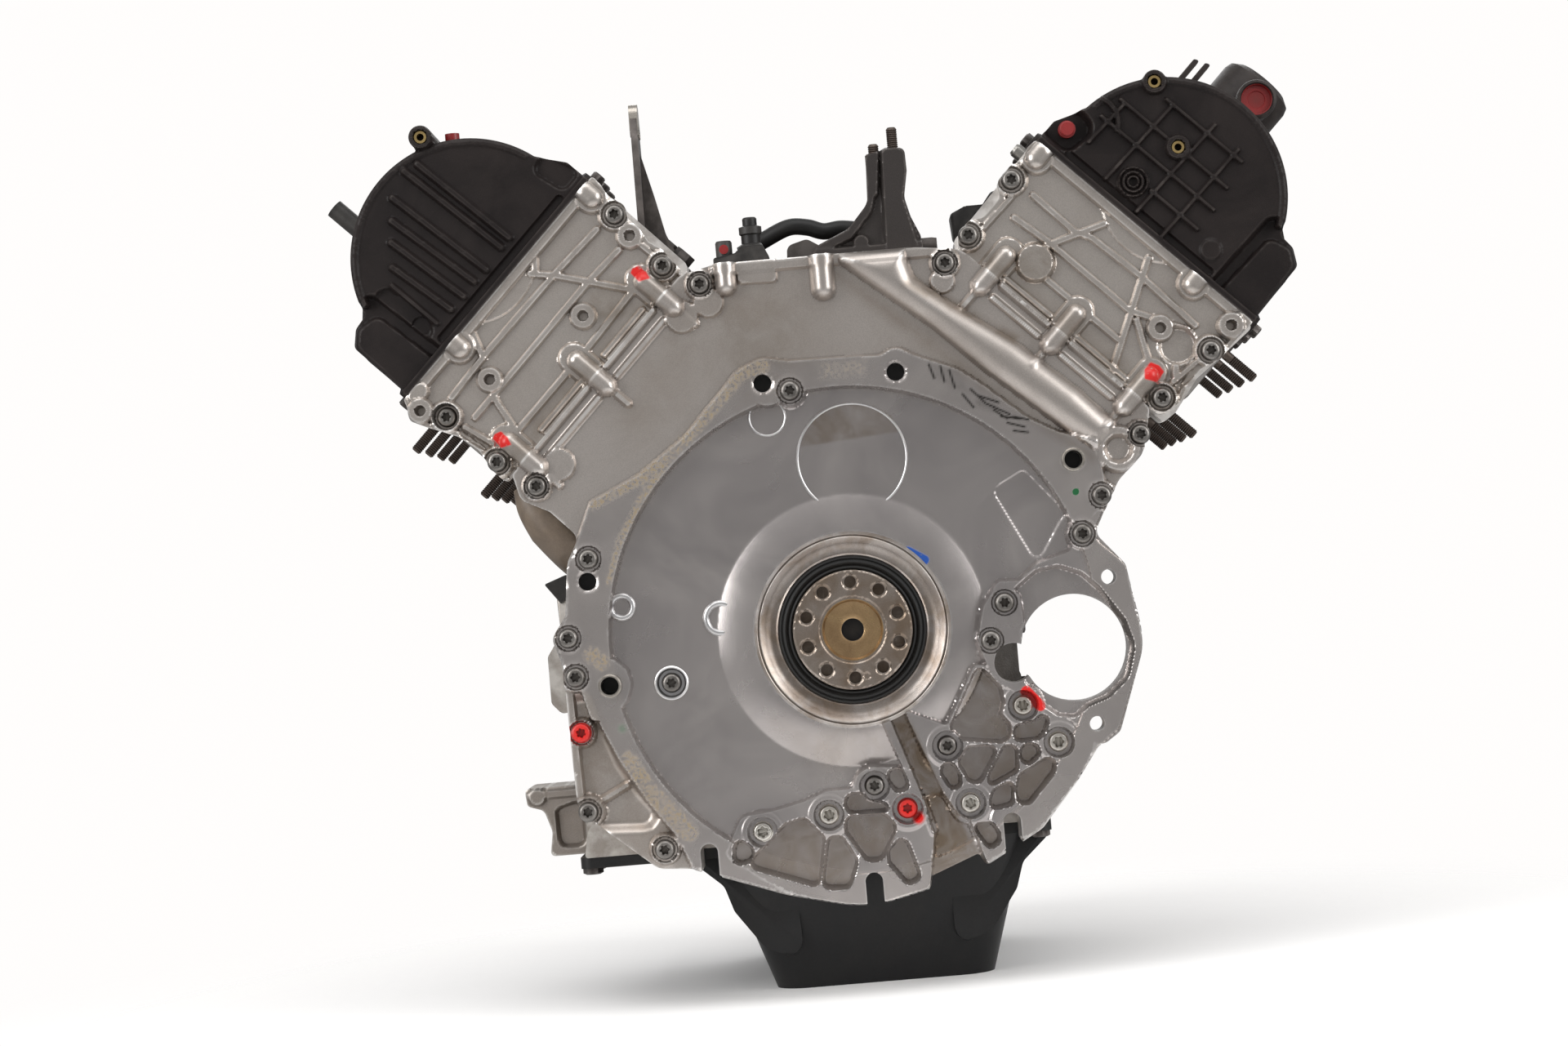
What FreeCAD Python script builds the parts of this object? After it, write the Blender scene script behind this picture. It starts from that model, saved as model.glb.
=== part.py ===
"""V6 diesel long block seen from its flywheel end, as an assembly of separate pieces.

Frame: the crankshaft's axis is the Y axis, the bell-housing face is the plane y = 0 and the engine
reaches from there towards +Y. +Z is up and +X is to the right as seen from the flywheel end.
Each bank has a frame of its own, turned about Y: u runs along the cylinders, away from the crank,
and v runs across them, positive on the exhaust side.
"""
import FreeCAD, Part
import math
import os

import Sketcher
from FreeCAD import Placement, Rotation, Vector

# Driving sizes in millimetres, degrees or counts
SIZES = {
    # cylinders and crank drive
    "bore": 83.0,
    "stroke": 91.4,
    "bore_spacing": 90.0,
    "rod_length": 160.5,
    "rod_width": 17.0,
    "mid_web": 2.0,
    "main_width": 26.0,
    "main_radius": 32.5,
    "crankpin_radius": 30.0,
    "split_pin_angle": 30.0,
    "deck_height": 257.0,
    "bank_angle": 90.0,
    "compression_height": 50.0,
    "piston_pin_radius": 14.0,
    "running_gap": 0.05,
    "piston_gap": 0.3,
    # lengths along the crank
    "cover_depth": 58.0,
    "recess_depth": 12.0,
    "cover_wall": 6.0,
    "first_cylinder": 60.0,
    "block_end": 45.0,
    # crank flange, seal and their housing
    "flange_face": 0.0,
    "flange_radius": 42.5,
    "flange_thickness": 22.0,
    "flange_bolt_pcd": 68.0,
    "flange_bolt_count": 10,
    "flange_bolt_hole": 4.25,
    "flange_phase": 1.5,
    "pilot_radius": 8.0,
    "pilot_depth": 22.0,
    "hub_recess_radius": 22.0,
    "hub_recess_depth": 3.0,
    "seal_radius": 52.5,
    "seal_width": 11.0,
    "seal_housing_radius": 62.0,
    "seal_ring_radius": 66.5,
    "seal_ring_height": 7.0,
    "dome_radius": 97.0,
    # bell-housing plate
    "rim_radius": 173.0,
    "bell_hole_radius": 6.4,
    "bell_slot_width": 12.5,
    "dowel_outer": 8.4,
    "dowel_inner": 6.4,
    "dowel_gap": 0.02,
    "dowel_relief": 0.05,
    "dowel_neck": 8.0,
    "dowel_neck_start": 0.6,
    "dowel_neck_end": 0.3,
    "dowel_chamfer": 1.0,
    "dowel_height": 6.0,
    "dowel_length": 14.0,
    "starter_radius": 38.0,
    "starter_hole_radius": 5.3,
    "pinion_radius": 14.0,
    "starter_flange": 14.0,
    "lattice_depth": 9.0,
    "valley_top": 268.0,
    # banks
    "gasket": 1.6,
    "joint_height": 351.0,
    "upper_inboard": 124.0,
    "upper_outboard": 77.0,
    "upper_face": 12.0,
    "head_inboard": 118.0,
    "head_outboard": 74.0,
    "cam_height": 380.0,
    "cam_offset": 27.0,
    "dome_cover_radius": 86.0,
    "cam_cover_face": 8.0,
    "cam_cover_wall": 3.5,
    "cam_cover_top": 436.0,
    "cam_cover_dome_depth": 66.0,
    "fin_height": 3.0,
    "rib_height": 2.5,
    # camshafts and their drive
    "cam_radius": 13.0,
    "lobe_radius": 16.0,
    "lobe_lift": 8.0,
    "lobe_width": 12.0,
    "gear_module": 2.25,
    "gear_teeth": 24,
    "gear_width": 10.0,
    "gear_backlash": 0.3,
    "chain_pitch": 9.525,
    "chain_plate": 1.4,
    "chain_inside": 6.4,
    "chain_height": 8.0,
    "sprocket_width": 5.4,
    "crank_teeth": 20,
    "idler_teeth": 30,
    "idler_small_teeth": 27,
    "cam_teeth": 36,
    "pump_teeth": 24,
    "idler_height": 140.0,
    "idler_pin": 14.0,
    "primary_plane": 49.0,
    "secondary_plane": 33.0,
    "pump_x": -60.0,
    "pump_z": -88.0,
    # pans
    "frame_height": 62.0,
    "upper_pan_bottom": 150.0,
    "lower_pan_flange": 8.0,
    "pan_bottom": 262.0,
    "pan_wall": 3.0,
    "valve_v": 18.0,
    # fasteners
    "screw_head": 7.4,
    "screw_head_height": 8.0,
    "screw_shank": 3.9,
    "screw_grip": 7.0,
    "head_screw_radius": 5.8,
    "stud_radius": 3.9,
}
doc = FreeCAD.newDocument("engine")
sheet = doc.addObject("Spreadsheet::Sheet", "sizes")
for row, (alias, value) in enumerate(SIZES.items(), start=1):
    sheet.set(f"A{row}", alias)
    sheet.set(f"B{row}", str(value))
    sheet.setAlias(f"B{row}", alias)
doc.recompute()


class Sheet:
    """Reads a size from the sheet by its alias."""

    def __getattr__(self, alias):
        return getattr(sheet, alias)


d = Sheet()
pieces = []

# Places worked out from the driving sizes
throw = d.stroke / 2
rod_offset = (d.rod_width + d.mid_web) / 2
web = (d.bore_spacing - d.main_width) / 2 - d.rod_width - d.mid_web / 2
cylinder_y = [d.cover_depth + d.first_cylinder + i * d.bore_spacing for i in range(3)]
main_y = [cylinder_y[0] - d.bore_spacing / 2 + i * d.bore_spacing for i in range(4)]
block_front = main_y[-1] + d.block_end
floor_y = d.recess_depth
cavity_y = d.recess_depth + d.cover_wall
head_bottom = d.deck_height + d.gasket
chamber_radius = throw + d.crankpin_radius + 14
crank_nose = d.main_radius - 6.5
tray_floor = d.joint_height - 40
plate_face = 8.0


def bank(side, v, u):
    """Engine x and z of a point of the bank on the right (+1) or left (-1) side."""
    half = math.radians(d.bank_angle / 2)
    x = u * math.sin(half) + v * math.cos(half)
    z = u * math.cos(half) - v * math.sin(half)
    return side * x, z


def polar(radius, degrees):
    """x and z at an angle measured clockwise from straight up."""
    angle = math.radians(degrees)
    return radius * math.sin(angle), radius * math.cos(angle)


def bank_placement(side, y=0.0):
    return Placement(Vector(0, y, 0), Rotation(Vector(0, 1, 0), side * d.bank_angle / 2))


def corner_geometry(points):
    """Lines and arcs of a closed outline whose points are (x, y) or (x, y, corner radius)."""
    count = len(points)
    ends = []
    arcs = []
    for i, point in enumerate(points):
        here = Vector(point[0], point[1], 0)
        radius = point[2] if len(point) > 2 else 0.0
        to_last = Vector(points[i - 1][0], points[i - 1][1], 0) - here
        to_next = Vector(points[(i + 1) % count][0], points[(i + 1) % count][1], 0) - here
        turn = to_last.getAngle(to_next)
        if radius <= 0 or abs(turn - math.pi) < 0.01:
            ends.append((here, here))
            continue
        reach = radius / math.tan(turn / 2)
        reach = min(reach, 0.48 * to_last.Length, 0.48 * to_next.Length)
        radius = reach * math.tan(turn / 2)
        first = here + to_last.normalize() * reach
        last = here + to_next.normalize() * reach
        middle = (to_last + to_next).normalize()
        centre = here + middle * (radius / math.sin(turn / 2))
        arcs.append(Part.Arc(first, centre - middle * radius, last))
        ends.append((first, last))
    lines = []
    for i in range(count):
        start = ends[i][1]
        end = ends[(i + 1) % count][0]
        if start.distanceToPoint(end) > 1e-6:
            lines.append(Part.LineSegment(start, end))
    return lines + arcs


def belt_geometry(circles):
    """Outline of a belt laid round circles (x, y, radius) given counter-clockwise."""
    count = len(circles)
    tangents = []
    for i in range(count):
        ax, ay, ar = circles[i]
        bx, by, br = circles[(i + 1) % count]
        heading = math.atan2(by - ay, bx - ax)
        normal = heading - math.acos((ar - br) / math.hypot(bx - ax, by - ay))
        start = Vector(ax + ar * math.cos(normal), ay + ar * math.sin(normal), 0)
        end = Vector(bx + br * math.cos(normal), by + br * math.sin(normal), 0)
        tangents.append((start, end, normal))
    geometry = []
    for i in range(count):
        start, end, normal = tangents[i]
        following = tangents[(i + 1) % count]
        cx, cy, cr = circles[(i + 1) % count]
        middle = normal + ((following[2] - normal) % (2 * math.pi)) / 2
        top = Vector(cx + cr * math.cos(middle), cy + cr * math.sin(middle), 0)
        geometry.append(Part.LineSegment(start, end))
        geometry.append(Part.Arc(end, top, following[0]))
    return geometry


class Piece:
    """A sub-part: one body with its sketches and features."""

    def __init__(self, label, placement=None):
        self.body = doc.addObject("PartDesign::Body", label)
        self.body.Label = label
        self.label = label
        self.count = 0
        if placement:
            self.body.Placement = placement
        pieces.append(self.body)

    def sketch(self, role, offset):
        """A sketch on one of the body's planes, its distance from the plane given as an expression."""
        self.count += 1
        sketch = self.body.newObject("Sketcher::SketchObject", f"{self.label}_sketch_{self.count}")
        plane = next(f for f in self.body.Origin.OriginFeatures if f.Role == role)
        sketch.AttachmentSupport = (plane, [""])
        sketch.MapMode = "FlatFace"
        sketch.setExpression("AttachmentOffset.Base.z", offset)
        return sketch

    def level(self, z):
        """A sketch in a level plane at a height z."""
        return self.sketch("XY_Plane", str(z))

    def feature(self, kind, sketch):
        self.count += 1
        feature = self.body.newObject(f"PartDesign::{kind}", f"{self.label}_{kind.lower()}_{self.count}")
        feature.Profile = sketch
        feature.Refine = False
        return feature

    def cross(self, geometry, y):
        """A sketch square to the crank at a distance y, an expression."""
        sketch = self.sketch("XZ_Plane", f"-({y})")
        for element in geometry:
            sketch.addGeometry(element)
        return sketch

    def bank_plane(self, side, u):
        """A sketch square to a bank's axis at a distance u from the crank, in the engine's frame."""
        sketch = self.sketch("XY_Plane", "0")
        turn = Rotation(Vector(0, 1, 0), side * d.bank_angle / 2)
        sketch.setExpression("AttachmentOffset.Base.z", None)
        sketch.AttachmentOffset = Placement(turn.multVec(Vector(0, 0, u)), turn)
        return sketch

    def pad(self, geometry, y, length):
        """Material from y towards the front by length, both expressions."""
        feature = self.feature("Pad", self.cross(geometry, y))
        feature.Reversed = True
        feature.setExpression("Length", str(length))
        return feature

    def pocket(self, geometry, y, length):
        """A cut from y towards the front by length, both expressions."""
        feature = self.feature("Pocket", self.cross(geometry, y))
        feature.setExpression("Length", str(length))
        return feature

    def round_pad(self, x, z, radius, y, length):
        """A round pad whose radius, an expression, is bound to the sheet."""
        sketch = self.cross([], y)
        bound_circle(sketch, x, z, radius)
        feature = self.feature("Pad", sketch)
        feature.Reversed = True
        feature.setExpression("Length", str(length))
        return feature

    def round_pocket(self, places, radius, y, length):
        """Round cuts of one radius, an expression, at several places."""
        sketch = self.cross([], y)
        for x, z in places:
            bound_circle(sketch, x, z, radius)
        feature = self.feature("Pocket", sketch)
        feature.setExpression("Length", str(length))
        return feature

    def turned(self, kind, profile):
        """A Revolution or Groove about the Y axis of a closed profile of (radius, y) points."""
        sketch = self.sketch("XY_Plane", "0")
        for element in corner_geometry(profile):
            sketch.addGeometry(element)
        feature = self.feature(kind, sketch)
        feature.ReferenceAxis = (sketch, ["V_Axis"])
        feature.Angle = 360
        return feature


def bound_circle(sketch, x, y, radius):
    """A circle in a sketch whose radius follows an expression."""
    number = sketch.addGeometry(Part.Circle(Vector(x, y, 0), Vector(0, 0, 1), 1.0))
    constraint = sketch.addConstraint(Sketcher.Constraint("Radius", number, 1.0))
    sketch.setExpression(f"Constraints[{constraint}]", str(radius))


def shaped(label, shape, placement=None):
    """A group of equal solids, or a form that neither a body nor a primitive fits."""
    feature = doc.addObject("Part::Feature", label)
    feature.Label = label
    feature.Shape = shape
    if placement:
        feature.Placement = placement
    pieces.append(feature)
    return feature


def cylinder(radius, length, x, y, z, direction=(0, 1, 0)):
    return Part.makeCylinder(radius, length, Vector(x, y, z), Vector(*direction))


def prism(geometry, y, length):
    """A solid with a cross-section in the x-z plane, from y towards the front by length."""
    wire = Part.Wire(Part.__sortEdges__([element.toShape() for element in geometry]))
    face = Part.Face(wire)
    face.rotate(Vector(0, 0, 0), Vector(1, 0, 0), 90)
    face.translate(Vector(0, y, 0))
    return face.extrude(Vector(0, length, 0))


def pitch_radius(teeth):
    return d.chain_pitch / (2 * math.sin(math.pi / teeth))


def local(side, points):
    """Points given as v, u and corner radius, in the frame of the bank's own bodies."""
    return [(side * p[0],) + tuple(p[1:]) for p in points]


SIDES = {1: "right", -1: "left"}

# Centres of the timing drive
idler = {side: bank(side, -d.cam_offset, d.idler_height) for side in SIDES}
cam_drive = {side: bank(side, -d.cam_offset, d.cam_height) for side in SIDES}

# Places on the bell-housing plate, x and z
DARK_SCREWS = [
    (-183, 66), (-202, 11), (-199, -17), (-198, -113), (-146, -144), (184, 80), (168, 54),
    (109, 10), (97, -16), (60, -88), (6, -112), (-30, 173), (-132, -27), (-199, -57),
]
BRIGHT_SCREWS = [(116, -64), (139, -92), (28, -130), (-28, -130), (-76, -138), (73, -130)]
BELL_HOLES = [(-49, 180), (46, 180), (-185, 50)]
DOWEL_HOLES = [(166, 107), (-175, -25)]
BELL_SLOTS = [(-115, -149), (0, -179), (101, -145)]
STARTER = (156, -26)
PINION = (112, -33)
STARTER_HOLES = [(184, 22), (167, -81)]

# Screw places in bank coordinates, v and u
UPPER_SCREWS = {
    1: [(-118, 318), (-116, 269), (66, 269), (67, 315)],
    -1: [(-116, 321), (-114, 271), (68, 320), (69, 271)],
}
SEAM_SCREWS = [(-118, 242), (67, 238)]
SEAM_BOSSES = [-88, -22, 45]


def bank_outline(side, points):
    """Engine x and z of bank points (v, u, corner radius)."""
    return [bank(side, p[0], p[1]) + tuple(p[2:]) for p in points]


def cylinder_block():
    """V-shaped casting: deck faces, bores, and crank chambers between the bearing walls."""
    piece = Piece("cylinder_block")
    right = [(62, 118, 14), (62, d.deck_height, 2), (-70, d.deck_height, 2), (-70, 186, 12)]
    outline = [(114, 0, 3), (116, 46, 12)] + bank_outline(1, right) + [(0, 152, 10)]
    outline += bank_outline(-1, right[::-1]) + [(-116, 46, 12), (-114, 0, 3)]
    piece.pad(corner_geometry(outline), "sizes.cover_depth", block_front - d.cover_depth)
    chamber = d.bore_spacing - d.main_width
    for y in cylinder_y:
        piece.round_pocket([(0, 0)], chamber_radius, y - chamber / 2, chamber)
    piece.round_pocket([(0, 0)], "sizes.main_radius + 2.5", d.cover_depth, block_front - d.cover_depth)
    for side in SIDES:
        sketch = piece.bank_plane(side, d.deck_height)
        for y in cylinder_y:
            bound_circle(sketch, 0, y - side * rod_offset, "sizes.bore / 2")
        feature = piece.feature("Pocket", sketch)
        feature.Length = d.deck_height - 66


def main_bearing_frame():
    """Lower half of the crankcase, which carries the bearing caps as one ladder."""
    piece = Piece("main_bearing_frame")
    low = -d.frame_height
    outline = [(-114, 0), (114, 0), (114, low, 4), (-114, low, 4)]
    piece.pad(corner_geometry(outline), "sizes.cover_depth", block_front - d.cover_depth)
    chamber = d.bore_spacing - d.main_width
    for y in cylinder_y:
        piece.round_pocket([(0, 0)], chamber_radius, y - chamber / 2, chamber)
    piece.round_pocket([(0, 0)], "sizes.main_radius + 2.5", d.cover_depth, block_front - d.cover_depth)


def main_bearing_shells():
    """One shell ring in each bearing wall, round the journals with a running gap."""
    rings = []
    for y in main_y:
        start = y - d.main_width / 2 + 1
        width = d.main_width - 2
        ring = cylinder(d.main_radius + 2.5, width, 0, start, 0)
        rings.append(ring.cut(cylinder(d.main_radius + d.running_gap, width, 0, start, 0)))
    shaped("main_bearing_shells", Part.makeCompound(rings))


def crank_pins():
    """Angle and y of each crankpin, its bank's side with it, pins of one throw split by an angle."""
    for number, y in enumerate(cylinder_y):
        for side in SIDES:
            yield side, 120 * number + side * d.split_pin_angle / 2, y - side * rod_offset


def crankshaft():
    """Flanged shaft: seal face and bolt circle, four journals, six split pins with their webs."""
    piece = Piece("crankshaft")
    face = d.flange_face
    seat = face + d.flange_thickness
    piece.turned("Revolution", [
        (0, face), (d.flange_radius - 1, face), (d.flange_radius, face + 1), (d.flange_radius, seat),
        (crank_nose, seat), (crank_nose, main_y[0] - d.main_width / 2), (d.main_radius, main_y[0] - d.main_width / 2),
        (d.main_radius, main_y[0] + d.main_width / 2), (0, main_y[0] + d.main_width / 2),
    ])
    for y in main_y[1:]:
        piece.round_pad(0, 0, "sizes.main_radius", y - d.main_width / 2, d.main_width)
    for number, y in enumerate(cylinder_y):
        middle = polar(throw, 120 * number)
        back = polar(-30, 120 * number)
        cheek = belt_geometry([(0, 0, 40), (middle[0], middle[1], 34)])
        cheek_low = belt_geometry([(0, 0, 40), (back[0], back[1], 46)])
        reach = rod_offset + d.rod_width / 2
        for start in (y - reach - web, y + reach):
            piece.pad(cheek, start, web)
            piece.pad(cheek_low, start, web)
        piece.pad(cheek, y - d.mid_web / 2, d.mid_web)
    for side, angle, y in crank_pins():
        x, z = polar(throw, angle)
        piece.round_pad(x, z, "sizes.crankpin_radius", y - d.rod_width / 2, d.rod_width)
    snout = main_y[-1] + d.main_width / 2
    piece.round_pad(0, 0, "sizes.main_radius - 10", snout, block_front + 34 - snout)
    piece.round_pocket([(0, 0)], "sizes.hub_recess_radius", face - 1, d.hub_recess_depth + 1)
    piece.round_pocket([(0, 0)], "sizes.pilot_radius", face, d.pilot_depth + d.hub_recess_depth)
    step = 360 / d.flange_bolt_count
    holes = [polar(d.flange_bolt_pcd / 2, d.flange_phase + i * step) for i in range(int(d.flange_bolt_count))]
    piece.round_pocket(holes, "sizes.flange_bolt_hole", face - 1, d.flange_thickness)


def crank_rear_seal():
    """Sealing ring between the crank flange and its housing, with a groove for the lip."""
    piece = Piece("crank_rear_seal")
    inner = d.flange_radius + d.running_gap
    outer = d.seal_radius
    face = floor_y - d.seal_ring_height + 2
    piece.turned("Revolution", [
        (inner, face + 3), (inner + 2.5, face), (inner + 4, face), (inner + 5, face + 3),
        (outer - 2.5, face + 3), (outer - 2, face), (outer, face), (outer, face + d.seal_width),
        (inner, face + d.seal_width),
    ])


def lower_timing_cover():
    """Bell-housing plate: rim, flywheel recess, seal housing, starter flange and screw bosses."""
    piece = Piece("lower_timing_cover")
    deck = d.deck_height
    outline = [(-99, 263, 8), (-76, d.valley_top, 6), (62, d.valley_top, 6), (96, 264, 8)]
    outline += bank_outline(1, [(-112, deck, 3), (60, deck, 6)])
    outline += [
        (217, 108, 16), (198, 90, 10), (191, 79, 8), (176, 52, 10), (197, 29, 12), (206, -26, 60),
        (182, -86, 12), (166, -98, 8), (150, -120, 30), (122, -152, 14), (80, -175, 3), (76, -166, 2),
        (42, -179, 2), (39, -188, 3), (-6, -198, 160), (-62, -184, 120), (-128, -160, 4), (-152, -158, 14),
        (-206, -112, 30), (-208, -10, 8), (-214, 11, 8), (-203, 27, 8), (-198, 66, 10), (-189, 82, 8),
        (-208, 102, 6), (-228, 112, 10),
    ]
    outline += bank_outline(-1, [(72, deck, 3), (-112, deck, 3)])
    piece.pad(corner_geometry(outline), 8, d.cover_depth - 8)
    rim = [(-20, 199, 20), (-62, 196, 20), (-92, 150, 40), (-178, 100, 12), (-204, 52, 12),
           (-196, 20, 10), (-198, -60, 80), (-168, -120, 40), (-130, -162, 12), (-60, -186, 100),
           (-6, -196, 160), (39, -186, 3), (42, -178, 2), (76, -165, 2), (80, -173, 3), (122, -150, 14),
           (150, -118, 30), (166, -96, 8), (182, -84, 12), (204, -26, 60), (195, 27, 12), (176, 44, 10),
           (190, 78, 12), (184, 118, 16), (120, 186, 20)]
    piece.pad(corner_geometry(rim), 0, 8)
    piece.round_pocket([(0, 0)], "sizes.rim_radius", 0, "sizes.recess_depth")
    lattice_floor(piece)
    seal_housing(piece)
    floor_marks(piece)
    starter_flange(piece)
    cavity = [(-114, -60, 20), (-104, -140, 25), (-4, -140, 20), (56, -76, 20), (90, 30, 20), (150, 64, 10)]
    cavity += bank_outline(1, [(38, deck + 20), (-89, deck + 20), (-84, 170, 8)])
    cavity += [(42, 169, 4), (-42, 169, 4)]
    cavity += bank_outline(-1, [(-84, 170, 8), (-89, deck + 20), (38, deck + 20)])
    cavity += [(-162, 50, 10)]
    piece.pocket(corner_geometry(cavity), cavity_y, d.cover_depth - cavity_y)
    diagonal_tube(piece)
    piece.round_pocket(BELL_HOLES, "sizes.bell_hole_radius", -1, d.cover_depth + 2)
    for x, z in BELL_SLOTS:
        slot = belt_geometry([(x, z, d.bell_slot_width / 2), (x, z - 40, d.bell_slot_width / 2)][::-1])
        piece.pocket(slot, -1, d.cover_depth + 2)
    piece.round_pocket(DOWEL_HOLES, "sizes.dowel_outer", -1, d.dowel_length - d.dowel_height + 1)
    piece.round_pocket(DOWEL_HOLES, "sizes.bell_hole_radius", -1, d.cover_depth + 2)


def lattice_floor(piece):
    """Screw bosses and thin walls below the crank, round pockets with three or four corners."""
    outer = [(32, -62, 2), (60, -76, 6), (84, -34, 6), (93, -35, 8), (104, -50, 4), (112, -56, 6), (128, -54, 8),
             (158, -80, 14), (163, -95, 8), (127, -145, 10), (113, -158, 5), (90, -166, 4), (80, -172, 3), (62, -138, 2)]
    piece.pad(corner_geometry(outer), d.recess_depth - d.lattice_depth, d.lattice_depth + 2)
    low = [(-96, -142, 8), (-70, -122, 8), (-28, -114, 10), (6, -98, 12), (32, -108, 8), (44, -150, 4),
           (40, -186, 3), (-6, -194, 160), (-62, -180, 100), (-104, -164, 6)]
    piece.pad(corner_geometry(low), d.recess_depth - d.lattice_depth, d.lattice_depth + 2)
    for pocket in LATTICE:
        piece.pocket(corner_geometry([p + (3,) for p in pocket]), d.recess_depth - d.lattice_depth - 1, d.lattice_depth)


LATTICE = [
    [(88, -37), (99, -52), (98, -69), (104, -77), (104, -86), (70, -84), (64, -76)],
    [(109, -80), (130, -74), (127, -86), (109, -88)],
    [(114, -93), (122, -93), (123, -99), (115, -105)],
    [(75, -91), (92, -92), (80, -115), (73, -113), (68, -101)],
    [(101, -92), (108, -94), (107, -109), (89, -117)],
    [(131, -103), (133, -112), (114, -132), (107, -132), (109, -114)],
    [(56, -101), (62, -102), (66, -115), (61, -118)],
    [(91, -123), (102, -118), (102, -132), (89, -134)],
    [(76, -147), (86, -146), (90, -158), (84, -162)],
    [(18, -103), (26, -102), (29, -115), (21, -116)],
    [(-13, -118), (-3, -117), (1, -122), (12, -126), (12, -129), (-14, -128)],
    [(-15, -135), (-10, -133), (12, -134), (17, -143), (6, -163), (-3, -163)],
    [(-29, -147), (-21, -147), (-12, -164), (-19, -181), (-35, -178)],
    [(-60, -136), (-46, -132), (-34, -146), (-40, -178), (-84, -160)],
    [(13, -160), (22, -152), (32, -179), (24, -182)],
]


def floor_marks(piece):
    """Low machined forms on the recess floor: round window, discs, slanted pad and drain channel."""
    piece.round_pocket([(10, 122)], "38.9", floor_y - 1, 2.5)
    piece.round_pocket([(-93, 16), (-163, 30)], "10", floor_y - 1, 2.5)
    piece.round_pad(-48, 156, "12.8", floor_y - 1, 2)
    piece.round_pad(-93, 16, "7.5", floor_y - 0.5, 3)
    pad = [(108, 91, 5), (131, 102, 5), (156, 64, 5), (135, 35, 5)]
    piece.pocket(corner_geometry(pad), floor_y - 1, 2.5)
    channel = [(20, -62, 3), (31, -58, 3), (54, -118, 3), (79, -168, 2), (41, -181, 2), (42, -122, 3)]
    piece.pocket(corner_geometry(channel), d.recess_depth - d.lattice_depth - 1, d.lattice_depth + 4)


def seal_housing(piece):
    """Raised dome round the crank's opening, its ring and the bore for the seal."""
    wall = floor_y + 2
    piece.turned("Revolution", [
        (d.seal_radius - 4, wall), (d.seal_radius - 4, floor_y - d.seal_ring_height),
        (d.seal_ring_radius, floor_y - d.seal_ring_height), (d.seal_ring_radius + 3, floor_y - 4, 2),
        (d.dome_radius, floor_y), (d.dome_radius, wall),
    ])
    piece.round_pocket([(0, 0)], "sizes.seal_housing_radius", floor_y - d.seal_ring_height - 1, 3)
    piece.round_pocket([(0, 0)], "sizes.seal_radius", -1, d.cover_depth)


def starter_flange(piece):
    """Opening for the starter's nose, the notch for its pinion, and the two holes of its flange."""
    recess = belt_geometry([(STARTER[0], STARTER[1], 46), (138, 20, 24)])
    piece.pocket(recess, -1, d.recess_depth + 1)
    piece.round_pocket([STARTER], "sizes.starter_radius", -1, d.cover_depth + 2)
    piece.round_pocket([PINION], "sizes.pinion_radius", -1, d.cover_depth + 2)
    piece.round_pocket(STARTER_HOLES, "sizes.starter_hole_radius", -1, d.cover_depth + 2)
    behind = [(178, 60), (215, 40), (215, -110), (150, -110), (112, -74), (108, -8), (130, 24), (152, 44)]
    piece.pocket(corner_geometry(behind), d.starter_flange + d.recess_depth, d.cover_depth)


def diagonal_tube(piece):
    """Half-round passage that runs down across the plate to a boss at its right edge."""
    start = Vector(34, 0, 262)
    end = Vector(190, 0, 114)
    run = end - start
    across = Vector(-run.z, 0, run.x).normalize() * 9
    flank = [start + across * 1.6, end + across, end - across, start - across * 1.6]
    deck = d.deck_height
    piece.pad(corner_geometry([(p.x, p.z, 3) for p in flank]), 2, 8)
    for side in SIDES:
        for v in SEAM_BOSSES:
            ends = [bank(side, v, deck - 9) + (9,), bank(side, v, deck - 16) + (9,)]
            piece.pad(belt_geometry(ends), d.upper_face - 7, 5)
    piece.round_pad(199, 112, "15", 0, 10)
    piece.round_pocket([(199, 112)], "7.5", -1, 5)
    for x, low in ((-69, 250), (-2, 242)):
        piece.pad(belt_geometry([(x, low, 7), (x, d.valley_top - 7, 7)]), 2, 8)


def upper_outline(side):
    inboard = -d.upper_inboard
    outboard = d.upper_outboard
    return local(side, [
        (inboard, d.deck_height, 6), (inboard - 2, d.joint_height, 4), (outboard + 3, d.joint_height, 4),
        (outboard, 325, 8), (outboard - 4, 296, 8), (outboard, 268, 8), (outboard - 2, d.deck_height, 3),
    ])


def upper_timing_cover(side):
    """Ribbed shell over the chain between the lower plate and the cam cover."""
    piece = Piece(f"{SIDES[side]}_upper_timing_cover", bank_placement(side))
    piece.pad(corner_geometry(upper_outline(side)), "sizes.upper_face", d.cover_depth - d.upper_face)
    cavity = [(-92, d.deck_height - 5), (-92, d.joint_height + 5), (50, d.joint_height + 5), (38, d.deck_height - 5)]
    piece.pocket(corner_geometry(local(side, cavity)), d.upper_face + d.cover_wall, d.cover_depth)
    ribs = UPPER_RIBS[side]
    for v0, u0, v1, u1 in ribs:
        run = Vector(v1 - v0, u1 - u0, 0).normalize() * 2
        flank = [(v0 - run.y, u0 + run.x), (v1 - run.y, u1 + run.x), (v1 + run.y, u1 - run.x), (v0 + run.y, u0 - run.x)]
        piece.pad(corner_geometry(local(side, flank)), d.upper_face - d.rib_height, d.rib_height + 1)
    for v, u, radius in UPPER_BOSSES[side]:
        piece.round_pad(side * v, u, str(radius), d.upper_face - 4, 5)
    for v in SEAM_BOSSES:
        capsule = belt_geometry([(side * v, d.deck_height + 9, 9), (side * v, d.deck_height + 26, 9)])
        piece.pad(capsule, d.upper_face - 7, 8)


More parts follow.
